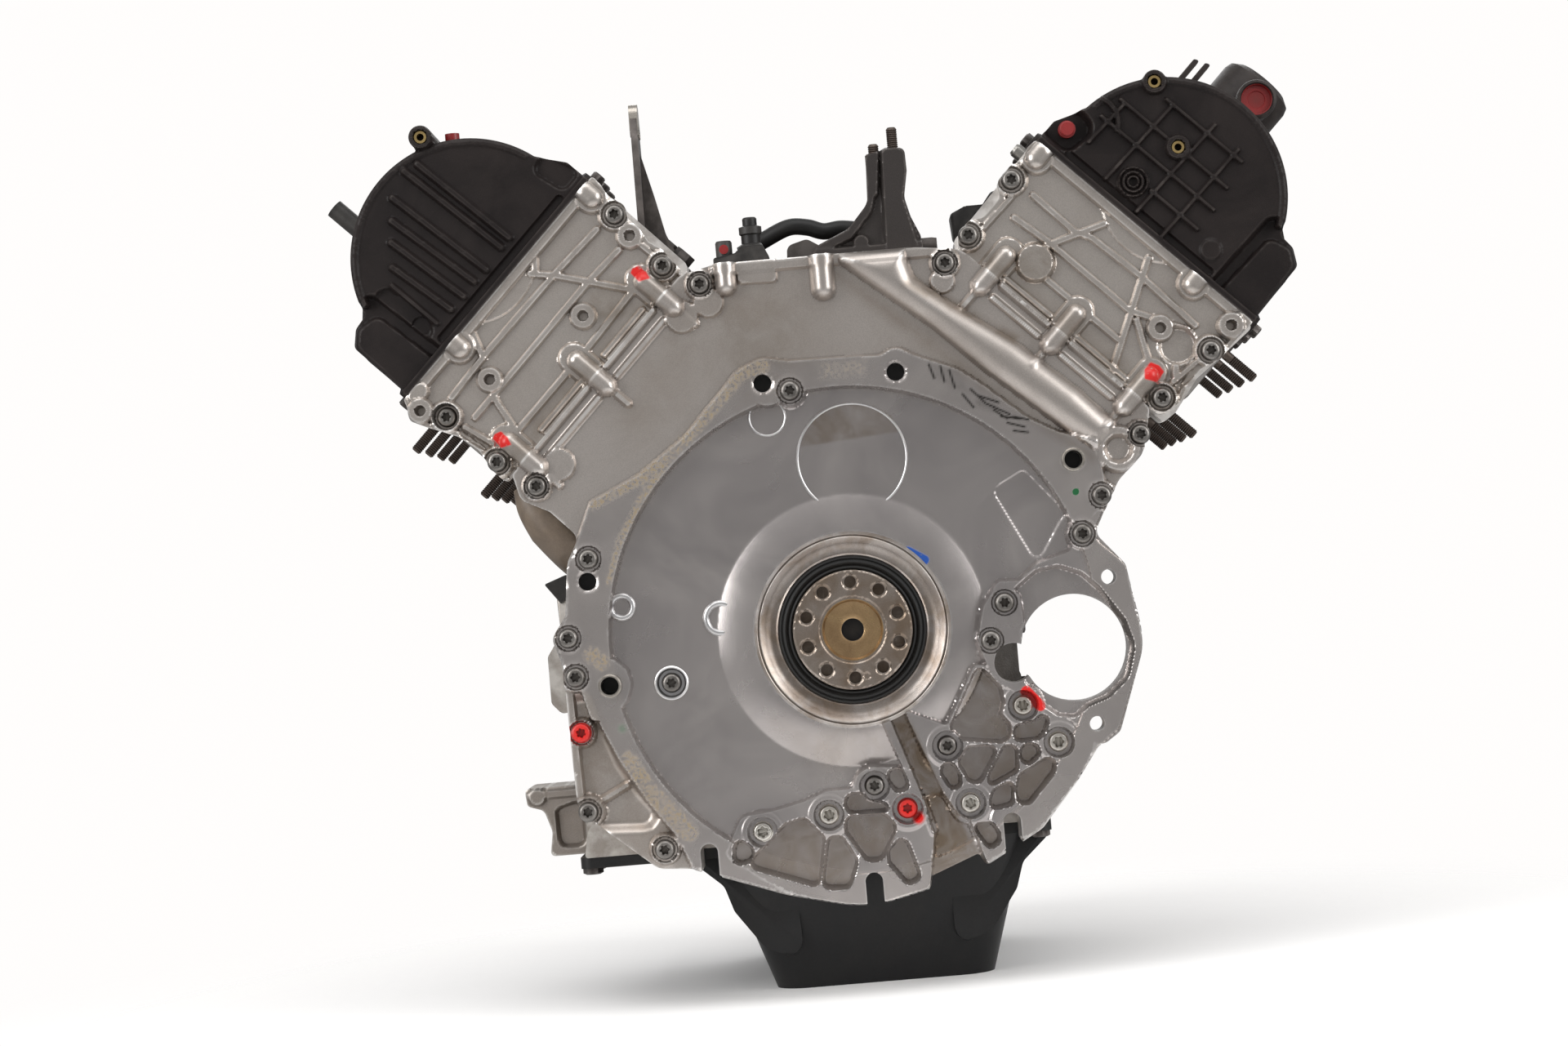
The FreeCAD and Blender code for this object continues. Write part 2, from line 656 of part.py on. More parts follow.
UPPER_RIBS = {
    1: [(-110, 268, -60, 345), (-60, 268, -110, 345), (-60, 300, 0, 345), (-30, 268, -30, 345),
        (0, 268, 40, 345), (40, 268, 0, 345), (-110, 306, 66, 306)],
    -1: [(-108, 300, 60, 300), (-108, 318, 60, 318), (-108, 334, 66, 334), (-60, 262, -60, 300),
         (10, 262, 10, 300), (-20, 300, -20, 318)],
}
UPPER_BOSSES = {
    1: [(-69, 281, 11), (47, 303, 12), (30, 305, 9), (67, 339, 7), (-113, 343, 7)],
    -1: [(-47, 291, 9), (30, 313, 8), (-113, 302, 7), (70, 336, 8), (33, 343, 7), (45, 272, 11)],
}


def cylinder_head(side):
    """Head casting: four walls on a thick deck, open at the top for the valve gear."""
    piece = Piece(f"{SIDES[side]}_cylinder_head", bank_placement(side))
    inboard = -d.head_inboard
    outline = [(inboard, head_bottom, 2), (inboard, d.joint_height, 4), (d.head_outboard, d.joint_height, 4),
               (d.head_outboard, 288, 6), (62, head_bottom, 3)]
    piece.pad(corner_geometry(local(side, outline)), "sizes.cover_depth", block_front - d.cover_depth)
    tray = [(inboard + 9, d.joint_height - 40, 6), (inboard + 9, d.joint_height + 5),
            (d.head_outboard - 9, d.joint_height + 5), (d.head_outboard - 9, d.joint_height - 40, 6)]
    piece.pocket(corner_geometry(local(side, tray)), d.cover_depth + 9, block_front - d.cover_depth - 18)
    for v in (-d.cam_offset, d.cam_offset):
        piece.round_pocket([(side * v, d.cam_height)], "sizes.cam_radius + 16", d.cover_depth - 1, 20)
        piece.round_pocket([(side * v, d.cam_height)], "sizes.cam_radius + 16", block_front - 15, 20)


def head_gaskets():
    """One gasket on each deck, with the bores cut out."""
    sheets = []
    length = block_front - d.cover_depth
    for side in SIDES:
        plate = Part.makeBox(129, length, d.gasket, Vector(-68 if side > 0 else -61, d.cover_depth, d.deck_height))
        for y in cylinder_y:
            place = Vector(0, y - side * rod_offset, d.deck_height - 1)
            plate = plate.cut(Part.makeCylinder(d.bore / 2 + 0.5, d.gasket + 2, place))
        plate.Placement = bank_placement(side).multiply(plate.Placement)
        sheets.append(plate)
    shaped("head_gaskets", Part.makeCompound(sheets))


def dome_outline(side, inset):
    """Cam cover's profile at the timing drive: an arched top over a stepped foot."""
    radius = d.dome_cover_radius - inset
    low = d.joint_height
    foot = -d.upper_inboard + inset
    out = d.upper_outboard - inset
    cx, cz = -d.cam_offset, d.cam_height
    start = math.radians(172)
    finish = math.radians(22)
    first = Vector(side * (cx + radius * math.cos(start)), cz + radius * math.sin(start), 0)
    last = Vector(side * (cx + radius * math.cos(finish)), cz + radius * math.sin(finish), 0)
    top = Vector(side * cx, cz + radius, 0)
    points = [last, Vector(side * out, 412 - inset, 0), Vector(side * out, low, 0), Vector(side * foot, low, 0),
              Vector(side * foot, 370 - inset, 0), first]
    lines = [Part.LineSegment(a, b) for a, b in zip(points, points[1:])]
    return [Part.Arc(first, top, last)] + lines


def cover_profile(side, inset):
    """Cam cover's lower profile over the camshafts, in front of the arched part."""
    foot = -d.upper_inboard + inset
    out = d.upper_outboard - inset
    top = d.cam_cover_top - inset
    return local(side, [(foot, d.joint_height), (foot, 372 - inset, 8), (-96 + inset, top, 20),
                        (38 - inset, top, 20), (out, 404 - inset, 12), (out, d.joint_height)])


def cam_cover(side):
    """Moulded cover: arched end over the chain wheel, long box over the camshafts, stiffening ribs."""
    piece = Piece(f"{SIDES[side]}_cam_cover", bank_placement(side))
    face = d.cam_cover_face
    wall = d.cam_cover_wall
    step = face + d.cam_cover_dome_depth
    piece.pad(dome_outline(side, 0), "sizes.cam_cover_face", "sizes.cam_cover_dome_depth")
    piece.pad(corner_geometry(cover_profile(side, 0)), step, block_front - step)
    piece.pocket(dome_outline(side, wall), face + wall, d.cam_cover_dome_depth - 2 * wall)
    piece.pocket(corner_geometry(cover_profile(side, wall + 0.5)), step - wall - 1, block_front - step + 1)
    for v in cover_fins(side):
        top = d.cam_height + math.sqrt((d.dome_cover_radius - 9) ** 2 - (v + d.cam_offset) ** 2)
        fin = [(v - 1.5, d.joint_height + 12), (v + 1.5, d.joint_height + 12), (v + 1.5, top), (v - 1.5, top)]
        piece.pad(corner_geometry(local(side, fin)), face - d.fin_height, d.fin_height + 1)
    if side > 0:
        for u in (385, 412):
            reach = math.sqrt((d.dome_cover_radius - 9) ** 2 - (u - d.cam_height) ** 2)
            bar = [(-d.cam_offset - reach, u - 1.5), (-d.cam_offset + reach, u - 1.5),
                   (-d.cam_offset + reach, u + 1.5), (-d.cam_offset - reach, u + 1.5)]
            piece.pad(corner_geometry(local(side, bar)), face - d.fin_height, d.fin_height + 1)
    for v, u in INSERTS[side]:
        piece.round_pad(side * v, u, "8", face - 2, 14)
        piece.round_pocket([(side * v, u)], "4.4", face - 3, 12)


def cover_fins(side):
    """v of the ribs that run along the bank's axis on the arched end."""
    if side > 0:
        return [-84, -55, -26, 3, 32]
    return [-50 + 14.3 * i for i in range(6)]


INSERTS = {1: [(-87, 437), (-44, 412)], -1: [(-70, 463)]}


def cover_inserts():
    """Threaded brass bushes in the cam covers."""
    rings = []
    for side, places in INSERTS.items():
        for v, u in places:
            x, z = bank(side, v, u)
            start = d.cam_cover_face - 2
            rings.append(cylinder(4.4, 11, x, start, z).cut(cylinder(2.6, 11, x, start, z)))
    shaped("cover_inserts", Part.makeCompound(rings))


def screw(x, y, z, tip):
    """Screw whose flanged head sits at y and whose shank goes towards the front as far as tip."""
    top = cylinder(d.screw_head, d.screw_head_height, x, y - d.screw_head_height, z)
    return top.fuse(cylinder(d.screw_shank, tip - y, x, y, z))


def cover_screws():
    """Screws of the covers: dark ones on the rim, seams and upper covers, bright ones in the lattice."""
    into_casting = d.cover_depth + d.screw_grip
    dark = [screw(x, seat_of(x, z), z, screw_tip(x, z)) for x, z in DARK_SCREWS]
    for side in SIDES:
        for v, u in UPPER_SCREWS[side]:
            x, z = bank(side, v, u)
            dark.append(screw(x, d.upper_face, z, into_casting if v > 0 else d.cover_depth - d.screw_grip))
        for v, u in SEAM_SCREWS:
            x, z = bank(side, v, u)
            dark.append(screw(x, plate_face, z, d.cover_depth - d.screw_grip))
    shaped("dark_cover_screws", Part.makeCompound(dark))
    bright = [screw(x, seat_of(x, z), z, screw_tip(x, z)) for x, z in BRIGHT_SCREWS]
    shaped("bright_cover_screws", Part.makeCompound(bright))


def screw_tip(x, z):
    """y that a screw's shank reaches: into the block or pan behind the plate, or short of the plate's back."""
    if abs(x) < 112 and z < 46:
        return d.cover_depth + d.screw_grip
    return d.cover_depth - d.screw_grip


def seat_of(x, z):
    """y of the face that a screw of the plate sits on."""
    if (x, z) in BRIGHT_SCREWS or (x, z) in [(60, -88), (6, -112)]:
        return d.recess_depth - d.lattice_depth
    if math.hypot(x, z) < d.rim_radius:
        return d.recess_depth
    return 0.0


def housing_dowels():
    """Hollow dowel sleeves that centre the gearbox: chamfered free end, undercut neck, pressed end."""
    free = d.dowel_outer - d.dowel_relief
    held = d.dowel_outer - d.dowel_gap
    tip = -d.dowel_height
    end = tip + d.dowel_length
    profile = [(d.dowel_inner, tip), (free - d.dowel_chamfer, tip), (free, tip + d.dowel_chamfer),
               (free, -d.dowel_neck_start), (d.dowel_neck, -d.dowel_neck_start), (d.dowel_neck, d.dowel_neck_end),
               (held, d.dowel_neck_end), (held, end), (d.dowel_inner, end), (d.dowel_inner, tip)]
    section = Part.Face(Part.makePolygon([Vector(radius, y, 0) for radius, y in profile]))
    sleeve = section.revolve(Vector(0, 0, 0), Vector(0, 1, 0), 360)
    shaped("housing_dowels", Part.makeCompound([sleeve.translated(Vector(x, 0, z)) for x, z in DOWEL_HOLES]))


def upper_oil_pan():
    """Cast pan below the bearing frame, open top and bottom, with the oil pump's space inside."""
    piece = Piece("upper_oil_pan")
    top = -d.frame_height
    low = -d.upper_pan_bottom
    outline = [(-114, top, 2), (114, top, 2), (118, -90, 10), (130, low + 8, 4), (130, low, 1),
               (-208, low, 2), (-204, -128, 10), (-150, -104, 20)]
    piece.pad(corner_geometry(outline), "sizes.cover_depth", block_front - d.cover_depth)
    inside = [(-104, top + 1), (104, top + 1), (108, -92, 10), (112, low - 1), (-112, low - 1)]
    piece.pocket(corner_geometry(inside), d.cover_depth + 8, block_front - d.cover_depth - 16)
    piece.round_pocket([(d.pump_x, d.pump_z)], "14", d.cover_depth - 1, 12)


def lower_oil_pan():
    """Pressed pan with a flange, drafted walls and a flat bottom that the engine rests on."""
    piece = Piece("lower_oil_pan")
    top = -d.upper_pan_bottom
    under = top - d.lower_pan_flange
    front = block_front
    rear = d.cover_depth + 2
    flange = piece.level(under)
    for element in corner_geometry([(-212, rear, 8), (132, rear, 8), (132, front, 12), (-212, front, 12)]):
        flange.addGeometry(element)
    feature = piece.feature("Pad", flange)
    feature.setExpression("Length", "sizes.lower_pan_flange")
    mouth = [(-112, rear + 12, 24), (114, rear + 12, 24), (114, front - 12, 24), (-112, front - 12, 24)]
    base = [(-78, rear + 40, 24), (84, rear + 40, 24), (84, front - 40, 24), (-78, front - 40, 24)]
    for inset, kind in ((0.0, "AdditiveLoft"), (d.pan_wall, "SubtractiveLoft")):
        sections = []
        low = -d.pan_bottom + inset
        high = under if inset == 0 else top + 1
        for outline, z in ((mouth, high), (base, low)):
            sketch = piece.level(z)
            middle = (rear + front) / 2
            shrunk = [(x - math.copysign(inset, x), y - math.copysign(inset, y - middle), r) for x, y, r in outline]
            for element in corner_geometry(shrunk):
                sketch.addGeometry(element)
            sections.append(sketch)
        feature = piece.feature(kind, sections[0])
        feature.Sections = [sections[1]]


def chain_wheel(teeth, width, bore, y):
    """Chain wheel: straight-flanked teeth between round seats, on a shaft along Y."""
    pitch = pitch_radius(teeth)
    root = pitch - 2.9
    tip = pitch + 2.2
    points = []
    for i in range(int(teeth)):
        for radius, share in ((root, -0.32), (tip, 0.0), (root, 0.32)):
            x, z = polar(radius, (i + 0.5 + share) * 360 / teeth)
            points.append((x, z))
    body = prism(corner_geometry(points), y - width / 2, width)
    return body.cut(cylinder(bore, 400, 0, y - 200, 0))


def spur_gear(teeth, module, width, y, phase):
    """Straight-cut gear whose teeth are thinned by the backlash."""
    pitch = module * teeth / 2
    step = 360 / teeth
    points = []
    tooth = 90 / teeth - math.degrees(d.gear_backlash / 2 / pitch)
    slope = math.degrees(module * 0.36 / pitch)
    for i in range(int(teeth)):
        middle = phase + i * step
        points.append(polar(pitch - 1.25 * module, middle - tooth - slope))
        points.append(polar(pitch + 0.9 * module, middle - tooth + slope))
        points.append(polar(pitch + 0.9 * module, middle + tooth - slope))
        points.append(polar(pitch - 1.25 * module, middle + tooth + slope))
    return prism(corner_geometry(points), y - width / 2, width)


def timing_wheels():
    """Crank sprocket, two idlers with two wheels each, cam sprockets and the oil pump's wheel."""
    primary = d.primary_plane
    second = d.secondary_plane
    width = d.sprocket_width
    crank = chain_wheel(d.crank_teeth, width, crank_nose, primary)
    pump_drive = chain_wheel(d.crank_teeth, width, crank_nose, second)
    shaped("crank_sprockets", Part.makeCompound([crank, pump_drive]))
    for side, (x, z) in idler.items():
        large = chain_wheel(d.idler_teeth, width, d.idler_pin + d.running_gap, primary)
        small = chain_wheel(d.idler_small_teeth, width, d.idler_pin + d.running_gap, second)
        tube = cylinder(22, primary - second, 0, second, 0)
        tube = tube.cut(cylinder(d.idler_pin + d.running_gap, 100, 0, 0, 0))
        wheel = large.fuse([small, tube])
        shaped(f"{SIDES[side]}_idler_sprocket", wheel, Placement(Vector(x, 0, z), Rotation()))
    pump = chain_wheel(d.pump_teeth, width, 6, second)
    pump = pump.fuse(cylinder(8, d.cover_depth + 18 - 26, 0, 26, 0))
    shaped("oil_pump_sprocket", pump, Placement(Vector(d.pump_x, 0, d.pump_z), Rotation()))


def idler_pins():
    """Fixed pins in the block's rear face that carry the idlers."""
    pins = []
    for x, z in idler.values():
        start = d.secondary_plane - 8
        pins.append(cylinder(d.idler_pin, d.cover_depth - start, x, start, z))
    shaped("idler_pins", Part.makeCompound(pins))


def chain(wheels, plane):
    """Endless roller chain: two rows of link plates as closed bands round the wheels."""
    bands = []
    half = d.chain_height / 2
    outer = belt_geometry([(x, z, r + half) for (x, z), r in wheels])
    inner = belt_geometry([(x, z, r - half) for (x, z), r in wheels])
    for start in (plane - d.chain_inside / 2 - d.chain_plate, plane + d.chain_inside / 2):
        loop = prism(outer, start, d.chain_plate)
        bands.append(loop.cut(prism(inner, start - 1, d.chain_plate + 2)))
    return bands


def timing_chains():
    crank = ((0, 0), pitch_radius(d.crank_teeth))
    right = (idler[1], pitch_radius(d.idler_teeth))
    left = (idler[-1], pitch_radius(d.idler_teeth))
    shaped("primary_chain", Part.makeCompound(chain([crank, right, left], d.primary_plane)))
    bands = []
    for side in SIDES:
        low = (idler[side], pitch_radius(d.idler_small_teeth))
        high = (cam_drive[side], pitch_radius(d.cam_teeth))
        bands += chain([low, high], d.secondary_plane)
    shaped("cam_chains", Part.makeCompound(bands))
    pump = ((d.pump_x, d.pump_z), pitch_radius(d.pump_teeth))
    shaped("oil_pump_chain", Part.makeCompound(chain([pump, crank], d.secondary_plane)))


def camshaft(side):
    """Shaft with six lobes, its gear, and on the driven shaft the chain wheel."""
    bodies = [cylinder(d.cam_radius, block_front - 12 - 44, 0, 44, 0)]
    for number, y in enumerate(cylinder_y):
        for step in (-18, 18):
            phase = side * d.bank_angle / 2 + 120 * number
            nose = 6.0
            x, z = polar(d.lobe_radius + d.lobe_lift - nose, phase)
            lobe = belt_geometry([(0, 0, d.lobe_radius), (x, z, nose)])
            start = y - side * rod_offset + step - d.lobe_width / 2
            bodies.append(prism(lobe, start, d.lobe_width))
    return bodies[0].fuse(bodies[1:])


def camshafts():
    """Inner shafts carry the chain wheels; gears of equal size turn the outer shafts."""
    gear_y = 49.0
    for side in SIDES:
        for place, v in (("inner", -d.cam_offset), ("outer", d.cam_offset)):
            driven = place == "inner"
            x, z = bank(side, v, d.cam_height)
            shape = camshaft(side)
            turn = side * d.bank_angle / 2
            toothed = spur_gear(d.gear_teeth, d.gear_module, d.gear_width, gear_y,
                                90 + turn + (0 if driven else 180 / d.gear_teeth))
            shape = shape.fuse(toothed)
            shaped(f"{SIDES[side]}_{place}_camshaft", shape, Placement(Vector(x, 0, z), Rotation()))
        wheel = chain_wheel(d.cam_teeth, d.sprocket_width, 8, d.secondary_plane)
        hub = cylinder(d.cam_radius, 44 - d.secondary_plane, 0, d.secondary_plane, 0)
        hub = hub.cut(cylinder(8, 60, 0, 0, 0))
        x, z = cam_drive[side]
        shaped(f"{SIDES[side]}_cam_sprocket", wheel.fuse(hub), Placement(Vector(x, 0, z), Rotation()))


def piston_and_rod(side, angle):
    """Distance of the piston pin along the bank, and the rod's tilt from the bank's axis."""
    relative = math.radians(angle - side * d.bank_angle / 2)
    across = throw * math.sin(relative)
    along = throw * math.cos(relative)
    reach = math.sqrt(d.rod_length ** 2 - across ** 2)
    return along + reach, across, along


def running_gear():
    """Six pistons with their pins and rods at the crank's rest angle."""
    pistons = []
    pins = []
    rods = []
    radius = d.bore / 2 - d.piston_gap
    for side, angle, y in crank_pins():
        height, across, along = piston_and_rod(side, angle)
        turn = Placement(Vector(0, y, 0), Rotation(Vector(0, 1, 0), side * d.bank_angle / 2))
        crown = height + d.compression_height
        skirt = height - 28
        body = Part.makeCylinder(radius, crown - skirt, Vector(0, 0, skirt))
        hollow = Part.makeBox(2 * radius, d.rod_width + 3, crown - skirt - 16,
                              Vector(-radius, -(d.rod_width + 3) / 2, skirt))
        hollow = hollow.common(Part.makeCylinder(radius - 6, crown - skirt, Vector(0, 0, skirt)))
        pin_space = cylinder(d.piston_pin_radius + 0.02, 62, 0, -31, height)
        piston = body.cut(hollow).cut(pin_space)
        pin = cylinder(d.piston_pin_radius, 60, 0, -30, height)
        rod = connecting_rod(across, along, height)
        for shape, group in ((piston, pistons), (pin, pins), (rod, rods)):
            shape.Placement = turn.multiply(shape.Placement)
            group.append(shape)
    shaped("pistons", Part.makeCompound(pistons))
    shaped("piston_pins", Part.makeCompound(pins))
    shaped("connecting_rods", Part.makeCompound(rods))


def connecting_rod(across, along, height):
    """Rod from a crankpin at (across, along) to the piston pin on the bank's axis."""
    width = d.rod_width - 0.6
    big = cylinder(d.crankpin_radius + 8, width, across, -width / 2, along)
    small = cylinder(d.piston_pin_radius + 6, width, 0, -width / 2, height)
    shank = prism(belt_geometry([(across, along, 15), (0, height, 9)]), -6, 12)
    rod = big.fuse([small, shank])
    rod = rod.cut(cylinder(d.crankpin_radius + d.running_gap, 40, across, -20, along))
    return rod.cut(cylinder(d.piston_pin_radius + d.running_gap, 40, 0, -20, height))


def exhaust_studs():
    """Two rows of studs for each exhaust manifold on the heads' outer faces."""
    studs = []
    for side in SIDES:
        for u, length, seat in ((330, 30, d.head_outboard), (270, 42, d.head_outboard - 7)):
            for i in range(4):
                y = cylinder_y[0] - 33 + i * 75
                base = Vector(side * (seat - 8), y, u)
                stud = Part.makeCylinder(d.stud_radius, length + 8, base, Vector(side, 0, 0))
                stud.Placement = bank_placement(side).multiply(stud.Placement)
                studs.append(stud)
    shaped("exhaust_studs", Part.makeCompound(studs))


def front_cover():
    """Flat cover at the front end with the crank's opening and the coolant pump's housing."""
    piece = Piece("front_cover")
    outline = [(-110, -60, 20), (110, -60, 20), (112, 60, 30), (60, 190, 30), (-60, 190, 30), (-112, 60, 30)]
    piece.pad(corner_geometry(outline), str(block_front), 14)
    piece.round_pad(0, 128, "42", str(block_front), 34)
    piece.round_pad(0, 128, "18", str(block_front), 52)
    piece.round_pocket([(0, 0)], "sizes.main_radius - 10 + 0.3", block_front - 1, 40)


def damper_pulley():
    """Crank damper with belt grooves, on the crank's front nose."""
    piece = Piece("damper_pulley")
    start = block_front + 16
    hub = d.main_radius - 10
    piece.turned("Revolution", [
        (hub, start), (32, start), (32, start + 8), (60, start + 8), (60, start), (82, start), (82, start + 6),
        (79, start + 8), (82, start + 10), (79, start + 12), (82, start + 14), (79, start + 16), (82, start + 18),
        (82, start + 22), (60, start + 22), (60, start + 16), (34, start + 16), (34, start + 22), (hub, start + 22),
    ])


def cam_frames():
    """Ladders that carry both camshafts of a bank on the floor of the head's tray."""
    ladders = []
    start = d.cover_depth + 9
    length = block_front - d.cover_depth - 18
    bar = [(-104, tray_floor), (60, tray_floor), (60, 366, 3), (46, 398, 3), (-46, 398, 3), (-104, 366, 3)]
    for side in SIDES:
        solids = []
        for low, high in ((-104, -92), (48, 60)):
            rail = [(low, tray_floor), (high, tray_floor), (high, tray_floor + 18), (low, tray_floor + 18)]
            solids.append(prism(corner_geometry(local(side, rail)), start, length))
        for y in main_y:
            solids.append(prism(corner_geometry(local(side, bar)), y - 6, 12))
        ladder = solids[0].fuse(solids[1:])
        for v in (-d.cam_offset, d.cam_offset):
            ladder = ladder.cut(cylinder(d.cam_radius + d.running_gap, length, side * v, start, d.cam_height))
        ladder.Placement = bank_placement(side).multiply(ladder.Placement)
        ladders.append(ladder)
    shaped("cam_frames", Part.makeCompound(ladders))


def head_bolts():
    """Eight bolts in each head, two at each bearing wall."""
    group = []
    for side in SIDES:
        turn = bank_placement(side)
        for y in main_y:
            for v in (-50, 50):
                shank = Part.makeCylinder(d.head_screw_radius, 105, Vector(side * v, y, 190))
                shank.Placement = turn.multiply(shank.Placement)
                group.append(shank)
    shaped("head_bolts", Part.makeCompound(group))


def valve_gear():
    """Four valves to a cylinder, and a finger from each towards its camshaft."""
    valves = []
    fingers = []
    stem = d.cam_height - d.lobe_radius - 7 - d.running_gap - head_bottom
    profile = [Vector(0, 0, 0), Vector(13, 0, 0), Vector(13, 0, 2), Vector(3, 0, 9), Vector(3, 0, stem),
               Vector(0, 0, stem), Vector(0, 0, 0)]
    lathe = Part.Face(Part.makePolygon(profile)).revolve(Vector(0, 0, 0), Vector(0, 0, 1), 360)
    for side in SIDES:
        turn = bank_placement(side)
        for cylinder_place in cylinder_y:
            for v in (-d.valve_v, d.valve_v):
                for step in (-18, 18):
                    y = cylinder_place - side * rod_offset + step
                    valve = lathe.copy()
                    valve.Placement = turn.multiply(Placement(Vector(v, y, head_bottom), Rotation()))
                    valves.append(valve)
                    top = d.cam_height - d.lobe_radius - 7 - d.running_gap
                    out = math.copysign(1, v)
                    arm = [(v - out * 6, top, 1), (v + out * 30, top, 1), (v + out * 30, top + 7, 1),
                           (v - out * 6, top + 7, 1)]
                    finger = prism(corner_geometry(arm), y - 5, 10)
                    finger.Placement = turn.multiply(finger.Placement)
                    fingers.append(finger)
    shaped("valves", Part.makeCompound(valves))
    shaped("valve_fingers", Part.makeCompound(fingers))


def chain_guides():
    """Rails beside the long runs of the chains, on pins in the head and block."""
    low_radius = pitch_radius(d.idler_small_teeth)
    high_radius = pitch_radius(d.cam_teeth)
    rise = d.cam_height - d.idler_height
    near = 7.6
    rails = []
    for side in SIDES:
        for hand in (-1, 1):
            face = []
            for u in (205, 345):
                radius = low_radius + (high_radius - low_radius) * (u - d.idler_height) / rise
                face.append((-d.cam_offset + hand * (radius + d.chain_height / 2 + 0.7), u))
            (v0, u0), (v1, u1) = face
            rail = [(v0, u0, 2), (v1, u1, 2), (v1 + hand * 5, u1, 2), (v0 + hand * 5, u0, 2)]
            body = prism(corner_geometry(local(side, rail)), d.secondary_plane - near, 2 * near)
            for u in (275, 335):
                share = (u - u0) / (u1 - u0)
                v = v0 + (v1 - v0) * share + hand * 2.5
                body = body.fuse(cylinder(2.5, d.cover_depth - d.secondary_plane, side * v, d.secondary_plane, u))
            body.Placement = bank_placement(side).multiply(body.Placement)
            rails.append(body)
    top = idler[1][1] + pitch_radius(d.idler_teeth) - d.chain_height / 2 - 0.7
    bar = [(-44, top), (44, top), (44, top - 6, 2), (-44, top - 6, 2)]
    body = prism(corner_geometry(bar), d.primary_plane - 7, d.cover_depth - d.primary_plane + 7)
    rails.append(body)
    rails.append(tensioner_shoe())
    shaped("chain_guides", Part.makeCompound(rails))


def slack_run():
    """Middle of the run from the left idler to the crank on its outer side, and its two directions."""
    x, z = idler[-1]
    span = math.hypot(x, z)
    along = Vector(x / span, 0, z / span)
    out = Vector(-along.z, 0, along.x)
    small = pitch_radius(d.crank_teeth)
    large = pitch_radius(d.idler_teeth)
    lean = math.tan(math.asin((large - small) / span))
    reach = (small + large) / 2 + d.chain_height / 2 + 0.9
    return along * (span / 2) + out * reach, along, out, lean


def tensioner_shoe():
    """Sprung shoe with its plunger against the slack run."""
    centre, along, out, lean = slack_run()
    corners = []
    for run, gap in ((-38, 0), (38, 0), (38, 6), (-38, 6)):
        point = centre + along * run + out * (gap + run * lean)
        corners.append((point.x, point.z, 1))
    shoe = prism(corner_geometry(corners), d.primary_plane - 7, 14)
    start = centre + out * 5
    plunger = Part.makeCylinder(5, 12, Vector(start.x, d.primary_plane, start.z), out)
    return shoe.fuse(plunger)


def chain_tensioner():
    """Oil-fed cylinder behind the shoe's plunger."""
    centre, _, out, _ = slack_run()
    base = centre + out * 17.3
    barrel = Part.makeCylinder(8.5, 22, Vector(base.x, d.primary_plane, base.z), out)
    shaped("chain_tensioner", barrel)


def oil_pump():
    """Pump housing under the first bearing, its shaft with the chain wheel, and the pickup pipe."""
    x = d.pump_x
    z = d.pump_z
    low = -d.upper_pan_bottom + 8
    outline = [(x - 34, -d.frame_height), (x + 34, -d.frame_height), (x + 34, low, 16), (x - 34, low, 16)]
    piece = Piece("oil_pump_housing")
    piece.pad(corner_geometry(outline), d.cover_depth + 8, 19)
    piece.round_pocket([(x, z)], "8 + sizes.running_gap", d.cover_depth + 7, 15)
    run = cylinder(9, 60, x, d.cover_depth + 27, z - 12)
    turn = Part.makeSphere(9, Vector(x, d.cover_depth + 87, z - 12))
    drop = Part.makeCylinder(9, 104, Vector(x, d.cover_depth + 87, z - 116))
    strainer = Part.makeCylinder(26, 10, Vector(x, d.cover_depth + 87, z - 126))
    shaped("oil_pickup_pipe", run.fuse([turn, drop, strainer]))


def side_plane_pad(piece, points, x, length):
    """A plate whose outline lies in the y-z plane, from x towards +X by length."""
    sketch = piece.sketch("YZ_Plane", str(x))
    for element in corner_geometry(points):
        sketch.addGeometry(element)
    feature = piece.feature("Pad", sketch)
    feature.Length = length
    return feature


def lifting_plate():
    """Upright plate with an eye, a gusset behind it and a foot on the left head's inner side."""
    piece = Piece("lifting_plate")
    inner = -d.head_inboard
    foot = bank_outline(-1, [(inner, 258, 2), (inner - 6, 258, 2), (inner - 6, 300, 2), (inner, 306, 2)])
    piece.pad(corner_geometry(foot), 84, 44)
    side_plane_pad(piece, [(84, 299), (128, 299), (122, 372, 20), (113, 396, 9), (99, 396, 9), (90, 372, 20)], -132, 5)
    gusset = [(-128, 384), (-128, 297), (-109, 278), (-106, 283, 3), (-119, 330, 20)]
    piece.pad(corner_geometry(gusset), 103, 5)
    eye = piece.sketch("YZ_Plane", "-126")
    bound_circle(eye, 106, 378, "9")
    feature = piece.feature("Pocket", eye)
    feature.Length = 8


def hexagon(radius, x, y):
    return [(x + radius * math.cos(math.pi / 3 * i), y + radius * math.sin(math.pi / 3 * i)) for i in range(6)]


def hex_bolt(radius, head, shank, length):
    """Hexagon bolt whose seat is the level plane through the origin, with its shank below."""
    wire = Part.makePolygon([Vector(a, b, 0) for a, b in hexagon(radius, 0, 0) + hexagon(radius, 0, 0)[:1]])
    top = Part.Face(wire).extrude(Vector(0, 0, head))
    return top.fuse(Part.makeCylinder(shank, length, Vector(0, 0, -length)))


